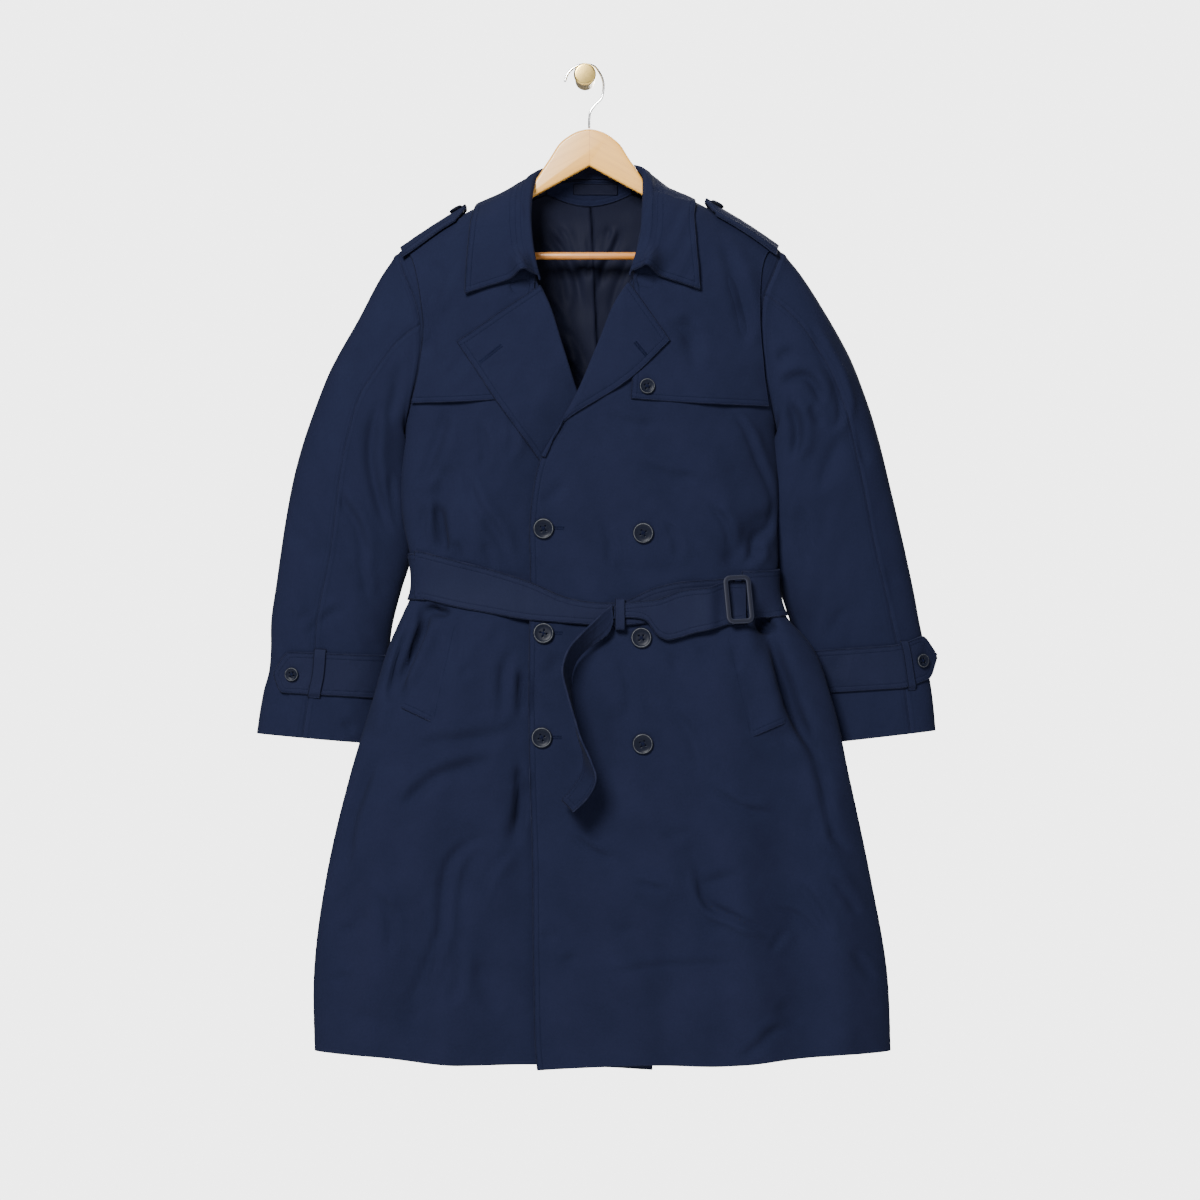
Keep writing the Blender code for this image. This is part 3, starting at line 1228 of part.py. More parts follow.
def add_epaulette(side_name, ends, tree):
    """A strip along the shoulder line, raised most at its pointed inner end, and its button."""
    side = np.sign(ends[0])
    along = np.linspace(0.0, 1.0, 7)[:, None]
    across = np.linspace(-1.0, 1.0, 7)[None, :]
    narrow = np.clip(0.35 + along * 4.5, 0.0, 1.0)
    x = ends[0] + (ends[1] - ends[0]) * along + 0.0 * across
    reach = EPAULETTE_HALF * narrow * across
    z = ridge_z(x) - EPAULETTE_ARCH * np.abs(across * narrow) ** 2.2
    points = np.stack([x, MIDDLE_Y + reach, z], axis=-1)
    crest = EPAULETTE_IN_RISE + (EPAULETTE_OUT_RISE - EPAULETTE_IN_RISE) * along
    rise = CLOTH + 2 * REST + DOUBLED + (crest - EPAULETTE_OUT_RISE) * (1 - np.abs(across) ** 3)
    inside = (side * 180.0, MIDDLE_Y, -400.0)
    points = clear_of(push_out(points, tree, rise), tree, DOUBLED, inside)
    cloth("epaulette_" + side_name, points, DOUBLED, "navy_trim", inside)
    middle = (points[1, 3] + points[2, 3]) / 2
    normal = normals_of(points, inside)[1:3, 3].mean(axis=0)
    add_button("epaulette_button_" + side_name, middle, normal, CUFF_BUTTON, [points])


def add_front_buttons(over, flap):
    """Three pairs of large buttons on the lapping front, and the storm flap's button."""
    for number, (x, z) in enumerate(LARGE_BUTTONS, start=1):
        add_front_button(f"button_large_{number}", x, z, over, LARGE_BUTTON)
    add_front_button("button_flap", *FLAP_BUTTON_PLACE, flap, FLAP_BUTTON)


def add_front_button(name, x, z, grid, diameter):
    """A button on the front, set to the tilt of the cloth round it."""
    tree = tree_of(skin_of(grid))
    reach = diameter * 0.4
    right, left, top, foot = (
        lay_front(np.array(x + dx), np.array(z + dz), tree, 0.0)
        for dx, dz in ((reach, 0.0), (-reach, 0.0), (0.0, reach), (0.0, -reach))
    )
    normal = Vector(right - left).cross(Vector(top - foot)).normalized()
    if normal.y > 0:
        normal = -normal
    centre = lay_front(np.array(x), np.array(z), tree, 0.0)
    add_button(name, centre, normal, diameter, [grid])


def add_hanger():
    """The hanger's wooden arms, its trouser bar and its wire hook."""
    top = list(HANGER_TOP) + [(x, float(ridge_z(x)) - HANGER_UNDER) for x in HANGER_ARM_X]
    half = top + [(x, z) for x, z in HANGER_FOOT]
    right = [(2 * HANGER_X - x, z) for x, z in half[1:-1]]
    outline = half + right[::-1]
    wood = plate("hanger_wood", outline, HANGER_THICK, HANGER_CHAMFER, "wood")
    wood.matrix_world = placed(Vector((1, 0, 0)), Vector((0, 0, 1)), Vector((0, -1, 0)), (0.0, MIDDLE_Y, 0.0))
    foot_x = HANGER_FOOT[BAR_FOOT][0] + 0.4
    length = 2 * (HANGER_X - foot_x)
    bpy.ops.mesh.primitive_cylinder_add(vertices=12, radius=BAR_DIAMETER / 2 * MM, depth=length * MM)
    bar = bpy.context.active_object
    for holder in list(bar.users_collection):
        holder.objects.unlink(bar)
    bpy.data.collections["trench_coat"].objects.link(bar)
    bar.name = "hanger_bar"
    bar.data.name = "hanger_bar"
    bar.data.materials.append(material("wood"))
    bar.rotation_euler = (0.0, math.pi / 2, 0.0)
    bar.location = (HANGER_X * MM, MIDDLE_Y * MM, BAR_Z * MM)
    wire = bpy.data.curves.new("hanger_hook", "CURVE")
    wire.dimensions = "3D"
    wire.bevel_depth = WIRE_DIAMETER / 2 * MM
    wire.bevel_resolution = 2
    wire.use_fill_caps = True
    spline = wire.splines.new("POLY")
    route = rail(HOOK_ROUTE, np.linspace(0.0, 1.0, HOOK_POINTS))
    spline.points.add(HOOK_POINTS - 1)
    for point, (x, z) in zip(spline.points, route):
        point.co = (x * MM, MIDDLE_Y * MM, z * MM, 1.0)
    add_object("hanger_hook", wire, "chrome")


def add_peg():
    """The round wall peg, its flat face on the wall."""
    head = PEG_HEAD / 2
    shank = PEG_SHANK / 2
    profile = (
        (0.0, PEG_REACH),
        (head - 3.0, PEG_REACH),
        (head - 0.8, PEG_REACH - 1.0),
        (head, PEG_REACH - 3.0),
        (head, PEG_REACH - PEG_HEAD_THICK + 1.5),
        (head - 0.8, PEG_REACH - PEG_HEAD_THICK),
        (shank, PEG_REACH - PEG_HEAD_THICK),
        (shank, 0.0),
        (0.0, 0.0),
    )
    peg = turned("wall_peg", profile, 24, "brass")
    peg.rotation_euler = (math.pi / 2, 0.0, 0.0)


SPOTS = triangle_spots(4)


def build():
    """Make every piece of the coat and what it hangs on."""
    clear_scene()
    collection = bpy.data.collections.get("trench_coat") or bpy.data.collections.new("trench_coat")
    if collection.name not in bpy.context.scene.collection.children:
        bpy.context.scene.collection.children.link(collection)
    over, under, back_left, back_right = body_panels()
    cloth("front_over", over)
    cloth("front_under", under)
    for side_name, half in (("left", back_left), ("right", back_right)):
        upper = half[: WAIST_ROW + 1].copy()
        skirt = half[WAIST_ROW:].copy()
        upper[-1, :, 2] += SEAM
        skirt[0, :, 2] -= SEAM
        cloth("back_upper_" + side_name, upper)
        cloth("back_skirt_" + side_name, skirt)
    back = np.concatenate([back_left[:, ::-1], back_right], axis=1)
    add_sleeve("left", SLEEVE_LEFT, ARMHOLE_LEFT, LEFT_SEAM_ANGLE)
    add_sleeve("right", SLEEVE_RIGHT, ARMHOLE_RIGHT, RIGHT_SEAM_ANGLE)
    body = [skin_of(grid) for grid in (over, under, back)]
    coat = tree_of(*body)
    flap_left = add_flap("left", FLAP_LEFT_IN, FLAP_LEFT_OUT, tree_of(body[1]))
    flap_right = add_flap("right", FLAP_RIGHT_IN, FLAP_RIGHT_OUT, tree_of(body[0]))
    flaps = [skin_of(flap_left), skin_of(flap_right)]
    flapped = tree_of(*body, *flaps)
    add_lapel("left", LAPEL_LEFT_ROLL, LAPEL_LEFT_EDGE, tree_of(body[1]), left_lapel_rise)
    add_lapel("right", LAPEL_RIGHT_ROLL, LAPEL_RIGHT_EDGE, tree_of(body[0]), right_lapel_rise)
    stand = stand_points()
    cloth("collar_stand", stand, TRIM, inside=NECK_MIDDLE)
    leaf = collar_leaf_points(tree_of(*body, *flaps, skin_of(stand, NECK_MIDDLE)))
    cloth("collar_leaf", leaf, DOUBLED)
    add_neck_inside(back)
    add_epaulette("left", EPAULETTE_LEFT, flapped)
    add_epaulette("right", EPAULETTE_RIGHT, flapped)
    add_welt("left", WELT_LEFT, coat)
    add_welt("right", WELT_RIGHT, coat)
    add_belt(coat)
    add_cuff_strap("left", SLEEVE_LEFT, ARMHOLE_LEFT, LEFT_SEAM_ANGLE, STRAP_LEFT)
    add_cuff_strap("right", SLEEVE_RIGHT, ARMHOLE_RIGHT, RIGHT_SEAM_ANGLE, STRAP_RIGHT)
    add_front_buttons(over, flap_right)
    add_hanger()
    add_peg()


build()
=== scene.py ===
"""Navy double-breasted trench coat on a wooden hanger that hangs from a wall peg: the visual model.

Sizes are real ones in millimetres, and MM turns them into metres when a mesh is made. The frame is
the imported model's: the origin is the centre of the peg's wall face, +Z is up and the coat faces -Y.
Left and right are as seen from the front, and the right front laps over the left one.
"""

import logging
import math
from dataclasses import dataclass, field
from enum import Enum
from typing import Callable, NamedTuple, Sequence

import bpy
import numpy as np
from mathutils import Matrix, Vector
from mathutils.bvhtree import BVHTree

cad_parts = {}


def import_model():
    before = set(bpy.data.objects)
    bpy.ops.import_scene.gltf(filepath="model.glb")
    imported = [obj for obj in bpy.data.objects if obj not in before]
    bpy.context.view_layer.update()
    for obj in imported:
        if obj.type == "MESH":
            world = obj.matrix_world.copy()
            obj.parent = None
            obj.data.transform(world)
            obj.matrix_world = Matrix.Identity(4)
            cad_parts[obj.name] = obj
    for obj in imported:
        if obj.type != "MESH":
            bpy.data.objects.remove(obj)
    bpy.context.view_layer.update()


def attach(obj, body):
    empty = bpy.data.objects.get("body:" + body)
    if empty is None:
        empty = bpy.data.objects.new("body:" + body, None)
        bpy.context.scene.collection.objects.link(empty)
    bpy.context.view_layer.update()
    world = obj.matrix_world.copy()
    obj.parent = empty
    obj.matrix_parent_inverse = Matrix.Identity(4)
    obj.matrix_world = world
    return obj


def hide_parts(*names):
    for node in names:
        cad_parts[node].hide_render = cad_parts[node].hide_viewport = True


LOG = logging.getLogger("trench_coat")
MM = 0.001
ROOT = "root"

Array = np.ndarray
Numbers = Sequence[float]
Line = tuple[tuple[float, float], ...]
Point = tuple[float, float, float]
Colour = tuple[float, float, float]
Depth = Callable[[Array, Array], Array]
Item = bpy.types.Object
Material = bpy.types.Material
Node = bpy.types.Node


class Slot(str, Enum):
    """The record's material slots."""

    CLOTH = "navy_cloth"
    TRIM = "navy_trim"
    LINING = "lining"
    BUTTON = "button"
    BUCKLE = "buckle"
    WOOD = "wood"
    CHROME = "chrome"
    BRASS = "brass"


class Edge(Enum):
    """How the edge of a cloth piece is finished."""

    PLAIN = "plain"
    STITCHED = "stitched"
    SEAM = "seam"


PLAIN, STITCHED, SEAM = Edge


class Hand(Enum):
    """A side of the coat as seen from the front, with its sign along X."""

    LEFT = -1.0
    RIGHT = 1.0

    @property
    def word(self) -> str:
        """The side's name in node names."""
        return self.name.lower()


# Cloth thicknesses, the gap under a piece that lies on another, and places inside and behind the coat
CLOTH = 1.6
DOUBLED = 2.4
TRIM = 1.2
REST = 0.5
CENTRE_X = 5.0
MIDDLE_Y = -45.0
COAT_INSIDE = (CENTRE_X, -55.0, -640.0)
BEHIND = (CENTRE_X, 300.0, -300.0)
NECK_MIDDLE = (CENTRE_X, -62.0, -135.0)

# Distances from an edge at which a mesh has points, so that its relief keeps its shape
EDGE_STEPS = (0.0, 0.7, 1.6, 2.7, 3.9, 5.0, 5.9, 6.6, 7.3, 8.3, 10.0, 12.5)
STEPS_OF = {PLAIN: (0.0, 1.0, 2.5), STITCHED: EDGE_STEPS, SEAM: (0.0, 0.7, 1.5, 2.6, 4.2, 6.5, 9.5)}
STITCH_LINE = 6.6
EDGE_LINE = 1.5
FAR = 40.0
ROUNDING = (math.radians(40.0), math.radians(90.0), math.radians(140.0))

# How strongly creases show, and the seeds of the cloth's unevenness
CREASED = 1.9
FRONT_SEED = 11
BACK_SEED = 31


class BodyRow(NamedTuple):
    """A level of the body: its sides, its side seam's depth, and how far front and back stand out."""

    z: float
    left: float
    right: float
    side_y: float
    front: float
    back: float


class Fold(NamedTuple):
    """A soft ridge (deep above 0) or trough between two places."""

    x0: float
    z0: float
    x1: float
    z1: float
    wide: float
    deep: float


class Crease(NamedTuple):
    """A sharper crease along (x, z) points, whose lip on one side stands up by its lean."""

    line: Line
    wide: float
    deep: float
    lean: float


class SleeveRow(NamedTuple):
    """A ring of a sleeve: its outline's two sides, its middle's depth, and its share of armhole."""

    out_x: float
    out_z: float
    in_x: float
    in_z: float
    y: float
    depth: float
    armhole: float


class Strap(NamedTuple):
    """A cuff strap: angles round the sleeve, rows down it, its loop's angle, and its tip's rise."""

    shoulder: float
    end: float
    top: float
    bottom: float
    loop: float
    tip_rise: float = 0.0


class EdgeSet(NamedTuple):
    """How the top, bottom, first and last sides of a piece are finished."""

    top: Edge = PLAIN
    bottom: Edge = PLAIN
    first: Edge = PLAIN
    last: Edge = PLAIN


def rows(kind: type, *numbers: Numbers) -> tuple:
    """A table's rows, each made from its numbers."""
    return tuple(kind(*row) for row in numbers)


def creases(*numbers: Numbers) -> tuple[Crease, ...]:
    """Creases from rows of their width, depth, lean, and the x and z of each point."""
    return tuple(Crease(tuple(zip(row[3::2], row[4::2])), *row[:3]) for row in numbers)


BODY_ROWS = rows(
    BodyRow, (-130, -262, 274, -45, 50, 37), (-219, -247, 260, -45, 50, 37), (-324, -233, 245.5, -46, 53, 38),
    (-430, -218.7, 232, -50, 52, 41), (-470, -222.5, 234, -52, 49, 43), (-515, -223.5, 234.5, -54, 46, 45),
    (-550, -218.5, 233, -56, 42, 46), (-580, -212, 233.5, -58, 39, 47), (-632, -211, 235, -60, 39, 49),
    (-650, -219, 240.5, -62, 41, 51), (-690, -236.5, 273, -66, 42, 55), (-755, -256, 298, -69, 42, 58),
    (-850, -284.5, 319.5, -70, 42, 59), (-970, -312.5, 345, -69, 44, 58), (-1080, -327, 364.5, -67, 47, 56),
    (-1200, -326, 370, -66, 48, 55),
)
# Lines of (x, z) places: the shoulders, the armholes and the front edges
RIDGE = (
    (-300, -268), (-227.8, -216), (-217, -209), (-134.5, -162), (-73.9, -134), (CENTRE_X, -106), (83.6, -131.5),
    (146.7, -160), (227.9, -206.5), (238.8, -214), (310, -266),
)
ARMHOLE_LEFT = (
    (-226.5, -215), (-219, -240), (-207, -268), (-199, -298), (-197, -326), (-201, -360), (-209.5, -396),
    (-218.7, -430),
)
ARMHOLE_RIGHT = ((238, -213.4), (229, -238), (216, -270), (212.5, -313), (216.5, -356), (224, -395), (232, -430))
OVER_EDGE = (
    (83.6, -132), (79, -165), (76, -200), (59, -248), (37.4, -282), (17, -330), (-9.4, -391.4), (-31, -430),
    (-52.5, -467), (-62.1, -508.7), (-65.7, -545), (-65, -600), (-66.8, -755.5), (-65.7, -830), (-62.5, -934),
    (-60.9, -1084), (-58.5, -1172.3), (-54.9, -1210),
)
UNDER_EDGE = (
    (-73.9, -134.5), (-72, -165), (-70, -200), (-60, -250), (-46, -278), (-28.5, -331.4), (-9.4, -391.4), (18, -450),
    (52, -505), (70, -570), (76, -660), (79, -900), (80.5, -1210),
)
FRONT_FOLDS = rows(
    Fold, (-188, -645, -232, -752, 12, -13), (-208, -655, -250, -790, 13, 6), (-150, -700, -205, -990, 26, 7),
    (-128, -920, -205, -1150, 20, -6), (-235, -850, -262, -1190, 26, 8), (-178, -1000, -168, -1196, 24, 7),
    (-105, -1010, -98, -1196, 24, -6), (-168, -480, -176, -575, 11, -6), (-120, -500, -138, -590, 15, 4),
    (212, -650, 258, -795, 13, -12), (192, -655, 226, -790, 14, 6), (165, -700, 205, -1190, 28, 7),
    (130, -930, 160, -1030, 20, -6), (236, -880, 270, -1180, 24, -6), (295, -860, 316, -1180, 22, 6),
    (104, -1000, 100, -1196, 22, -5), (216, -535, 172, -590, 12, -6), (150, -470, 196, -585, 16, 4),
)
BACK_FOLDS = rows(
    Fold, (-150, -650, -214, -1190, 30, 6), (-80, -660, -104, -1190, 28, -8), (6, -650, 4, -1190, 32, 5),
    (90, -655, 118, -1190, 28, -8), (170, -650, 232, -1190, 30, 6), (-90, -480, -70, -590, 22, -5),
    (100, -470, 84, -590, 22, -5),
)
SLEEVE_LEFT = rows(
    SleeveRow, (-226.5, -215, -218.7, -430, -45, 30, 1), (-241, -232, -217.8, -431, -45, 32, 0.8),
    (-258.6, -259.4, -216.2, -433, -44.5, 34, 0.5), (-280.4, -304.3, -215.5, -438, -44, 36, 0.2),
    (-309.5, -358.9, -215, -450, -42, 37, 0), (-335, -424.5, -211, -472, -40, 36, 0),
    (-349.6, -471.8, -208, -498, -38, 34, 0), (-359.3, -514.3, -206, -528, -35.5, 31, 0),
    (-369, -572.6, -210, -580, -33, 29, 0), (-375.6, -618, -222.5, -622, -31, 27, 0),
    (-381.8, -660, -233.5, -664, -29, 25.5, 0), (-382.4, -696.4, -238.5, -702, -27.5, 24.5, 0),
    (-384.8, -723.1, -241, -730, -26.5, 24, 0), (-390.9, -744.9, -243.5, -753, -26, 23.5, 0),
    (-395.7, -771.7, -247, -781, -26, 23.5, 0), (-399.4, -797.1, -252, -810, -26, 23.5, 0),
)
SLEEVE_RIGHT = rows(
    SleeveRow, (238, -213.4, 232, -430, -45, 30, 1), (252.5, -228, 231, -431, -45, 32, 0.8),
    (270.7, -251, 230, -433, -44.5, 34, 0.5), (292, -286, 228.5, -438, -44, 36, 0.2),
    (321, -341, 227, -450, -42, 37, 0), (343.5, -399, 224, -472, -40, 36, 0), (358.1, -447.6, 222, -498, -38, 34, 0),
    (375.1, -516.7, 221, -534, -35.5, 31, 0), (388, -572, 223, -580, -33, 29, 0), (399, -622, 238.5, -630, -31, 27, 0),
    (407, -664, 252.5, -672, -29, 25.5, 0), (414, -696, 263, -706, -27.5, 24.5, 0),
    (418, -722, 267, -730, -26.5, 24, 0), (421.5, -744, 271, -754, -26, 23.5, 0),
    (424.5, -768, 276, -781, -26, 23.5, 0), (426.7, -793.5, 282, -810, -26, 23.5, 0),
)
# The collar from the left front round the neck: a point of its roll line and one of its outer edge
COLLAR_ROWS = (
    (-57.5, -104, -246, -143.6, -100, -267.7), (-63, -103, -223, -142, -98, -236), (-67, -98, -198, -139.5, -94, -206),
    (-69.5, -86, -166, -136.5, -82, -176), (-68, -66, -138, -131, -48, -155), (-63, -45, -119, -120, -22, -158),
    (-50, -30, -110.5, -95, -6, -168), (-28, -22, -106, -50, -4, -178), (5, -19, -104, 5, -3.5, -182),
    (38, -22, -105, 60, -4, -177), (61, -30, -107, 104, -6, -166), (73.5, -45, -114, 122, -22, -156),
    (75, -66, -133, 131, -48, -152), (73.5, -86, -160, 131.5, -82, -173), (70.5, -98, -194, 133.5, -94, -204),
    (64.5, -103, -218, 136, -98, -234), (57, -104, -241, 138.1, -100, -262.9),
)
FRONT_CREASES = creases(
    (4, -4.5, 0.4, -77, -715, -75, -748, -76, -780), (4.5, -5.5, 0.5, -78, -822, -77, -868, -80, -925),
    (6, -1.6, 0.5, -84, -690, -96, -720, -100, -760), (4, -4.5, 0.8, -204, -634, -214, -668, -226, -712, -236, -760),
    (5, -6, 0, -190, -644, -178, -649, -160, -650), (7, -8, 0, 208, -654, 216, -662, 222, -678),
    (5, -1.6, 0.6, -128, -420, -120, -452, -124, -486), (5, -1.3, 0.5, -92, -408, -86, -440, -92, -470),
    (6, -1.2, 0.5, 20, -410, 52, -424, 92, -426), (6, -1.3, 0.5, 60, -470, 96, -486, 140, -490),
    (5, -2, 0.6, 150, -520, 170, -548, 176, -580), (5, -1.6, 0.4, 96, -540, 110, -566, 112, -592),
    (5, -1.3, 0.4, 20, -540, 30, -566, 28, -600), (6, -1.5, 0.5, -100, -700, -96, -746, -106, -790),
    (6, -1.8, 0.5, 40, -700, 54, -742, 50, -790), (7, -1.7, 0.5, 100, -760, 128, -800, 140, -850),
    (5, -1.8, 0.7, 150, -860, 188, -884, 230, -892), (6, -2, 0.6, -250, -980, -232, -1020, -236, -1070),
    (6, -1.6, 0.6, -150, -1040, -150, -1086, -166, -1130), (9, -1.6, 0, -173, -224, -185, -255, -192, -277),
    (10, -1.8, 0.6, -160, -275, -179, -319, -192, -347),
    (9, -3, 0.6, -166, -401, -172, -426, -182, -454, -197, -487, -210, -497),
    (6, -1.8, 0.8, -148, -471, -137, -504, -129, -523, -106, -556, -88, -596),
    (6, -4.2, 0.3, -178, -514, -173, -550, -168, -583), (5, -2, 0.3, -191, -516, -196, -552, -192, -578),
    (5, -1.6, 0, -155, -564, -152, -590), (5, -1.2, 0, -121, -564, -109, -601),
    (7, -1.4, 0, -54, -524, -38, -510, -22, -492),
    (4.5, -1.8, 0.8, 177, -407, 196, -438, 208, -467, 224, -505, 227, -534),
    (6.5, -4.4, 0.5, 229, -507, 222, -548, 206, -562, 199, -585, 183, -597), (5, -2.4, 0.3, 211, -570, 206, -590),
    (8, -1.7, 0.5, 158, -196, 183, -249, 196, -294, 202, -319), (12, -1.8, 0, 123, -286, 129, -325, 133, -346),
    (6, -5, 0.7, -185, -649, -197, -681, -215, -717, -228, -753), (5, -2, -0.5, -199, -640, -211, -679, -233, -722),
    (6, -1.4, 0.3, -150, -649, -147, -684, -158, -717), (5, -1.4, 0, -138, -710, -150, -734),
    (8, -1.2, 0, -101, -662, -111, -696), (9, -2, 0.5, -210, -829, -185, -809, -148, -804, -106, -796, -81, -784),
    (9, -2.4, 0.6, -223, -889, -198, -862, -166, -843, -132, -833, -101, -823),
    (7, -1.8, 0.3, -219, -887, -190, -855, -166, -833), (9, -3.6, 0.2, -68, -846, -81, -906, -91, -935),
    (5, -1.6, 0.8, -82, -930, -109, -954, -123, -978, -124, -1012),
    (6, -2.8, 0.9, -109, -916, -137, -925, -158, -945, -166, -966, -170, -994, -172, -1030, -184, -1061, -198, -1100,
     -216, -1132),
    (7, -3.4, 0.6, -245, -815, -265, -853, -282, -911, -288, -954, -295, -971),
    (14, -2.4, 0, -125, -1055, -119, -1094, -101, -1138), (5, -1.4, 0.4, -305, -1096, -278, -1081),
    (6, -1.6, 0.4, -300, -1038, -278, -1028, -262, -1000), (4.5, -1.8, 0.8, -19, -913, 7, -934, 37, -948),
    (4, -1.5, 0.8, 59, -971, 78, -977, 98, -984),
    (4.5, -2.8, -0.9, 131, -944, 137, -972, 145, -997, 180, -1015, 227, -1036),
    (4, -1.8, 0.5, 244, -1027, 232, -1044, 220, -1060), (4, -1.5, 0.7, 222, -1000, 256, -1015, 279, -1035, 297, -1057),
    (5, -1.9, 0.7, 250, -968, 267, -989, 285, -1018, 297, -1053),
    (7, -5, -0.6, 222, -675, 233, -719, 253, -777, 274, -815, 292, -846),
    (7, -3.6, -0.6, 267, -815, 285, -850, 291, -888, 300, -918, 326, -943),
    (6, -2.2, 0.5, 291, -963, 314, -990, 332, -1020), (5, -2.2, 0.5, 320, -1053, 336, -1076, 349, -1095),
    (4, -1.4, 0.4, 323, -1050, 352, -1065), (6, -2.2, 0.5, 181, -1187, 206, -1169, 227, -1151, 248, -1149),
    (5, -1, 0.4, 6, -1088, 64, -1076, 122, -1071, 195, -1071), (7, -1.4, 0, -48, -1030, -38, -1048),
    (6, -1.6, 0.3, -30, -1072, -8, -1060), (6, -1.2, 0.4, 107, -698, 110, -727), (8, -1.3, 0, 138, -690, 152, -717),
    (6, -1.3, 0.3, 180, -686, 183, -722), (8, -2, 0.4, 272, -875, 279, -925),
    (10, -1.5, 0, 90, -923, 126, -917, 138, -935), (6, -1.3, 0.4, 138, -977, 186, -961),
    (10, -1.2, 0, 33, -1036, 66, -1024), (10, -1.2, 0, -278, -1128, -227, -1150),
    (16, -2.2, 0, 42, -755, 36, -809, 48, -863), (8, -1.3, 0.2, -30, -701, -44, -731),
    (12, -1.6, 0, 233, -1114, 257, -1150), (12, -1.2, 0, 18, -588, 66, -602, 126, -595),
)
LEFT_SLEEVE_CREASES = creases(
    (7, -3.6, 0.6, -247, -392, -256, -431, -258, -469, -251, -507, -241, -542, -232, -563),
    (8, -1.8, 0.3, -222, -341, -226, -380, -238, -428),
    (6, -2.2, 0.7, -299, -491, -293, -516, -277, -542, -268, -574, -264, -597),
    (5, -1.4, 0.5, -274, -573, -268, -606, -262, -636), (5, -1.5, 0.5, -340, -682, -321, -663, -303, -650, -285, -644),
    (6, -1.1, 0.3, -349, -662, -329, -648), (10, -1.4, 0, -296, -364, -281, -346, -265, -336),
    (5, -2.2, 0.5, -235, -479, -233, -521, -227, -551), (12, -1, 0, -344, -587, -322, -578, -296, -583),
    (9, -1, 0.3, -356, -569, -337, -551), (9, -1.4, 0, -368, -771, -361, -744), (9, -1, 0, -290, -780, -281, -799),
)
RIGHT_SLEEVE_CREASES = creases(
    (6, -3.6, 0.5, 231, -380, 247, -370, 267, -368, 279, -382, 287, -405),
    (6, -1.8, 0.3, 231, -349, 240, -341, 255, -336), (7, -4, 0.5, 243, -392, 255, -428, 251, -469),
    (5.5, -3, 0.8, 267, -297, 284, -335, 303, -373, 309, -396, 303, -425, 290, -431),
    (5, -2, 0.3, 270, -399, 286, -428), (9, -1.8, 0.3, 309, -437, 293, -475, 280, -507),
    (8, -1.4, 0.3, 315, -428, 332, -455, 339, -479), (8, -1.8, 0.3, 260, -515, 263, -563, 274, -602),
    (7, -1.2, 0.3, 296, -684, 305, -660, 320, -643), (4, -1.8, 0.4, 301, -706, 304, -727),
    (4, -1.4, 0.4, 310, -702, 315, -727), (10, -1, 0, 344, -587, 362, -606, 384, -612),
    (6, -1.4, 0, 253, -684, 267, -698),
)
LINING_CREASES = creases(
    (5, -2.4, 0.7, -52, -178, -30, -206, -12, -240, -4, -280), (4, -1.8, 0.6, -34, -176, -22, -198, -14, -222),
    (5, -1.8, 0.8, -60, -196, -44, -216, -30, -246, -24, -290), (5, -2.6, -0.8, 46, -178, 38, -200, 24, -230, 16, -262),
    (4, -1.8, 0.6, 30, -176, 27, -196, 19, -218), (5, -2, 0.7, 58, -200, 50, -226, 36, -262, 30, -300),
    (4, -1.6, -0.5, 2, -184, 6, -214, 3, -250), (6, -2.2, 0.7, -50, -262, -34, -290, -26, -330, -22, -372),
    (5, -1.8, -0.6, -28, -300, -12, -322, 2, -352), (4, -1.8, 0.7, -30, -340, -14, -356, 4, -384),
    (5, -2, 0.6, 44, -290, 34, -318, 30, -352), (4, -1.6, 0.5, -8, -396, 2, -416, 12, -440),
)
FLAP_CREASES = creases(
    (6, -5, 0, -64, -259, -76, -259, -90, -262), (6, -5, 0, 60, -252, 72, -252, 86, -257),
    (8, -1.8, 0.6, -160, -232, -178, -262, -188, -300, -186, -345), (7, -1.3, 0.5, -130, -330, -150, -352, -172, -380),
    (8, -1.9, 0.6, 166, -228, 180, -262, 190, -300, 194, -340), (9, -1.3, 0.4, 120, -290, 128, -330, 134, -366),
    (8, -1, 0.4, 96, -300, 118, -312, 150, -318),
)
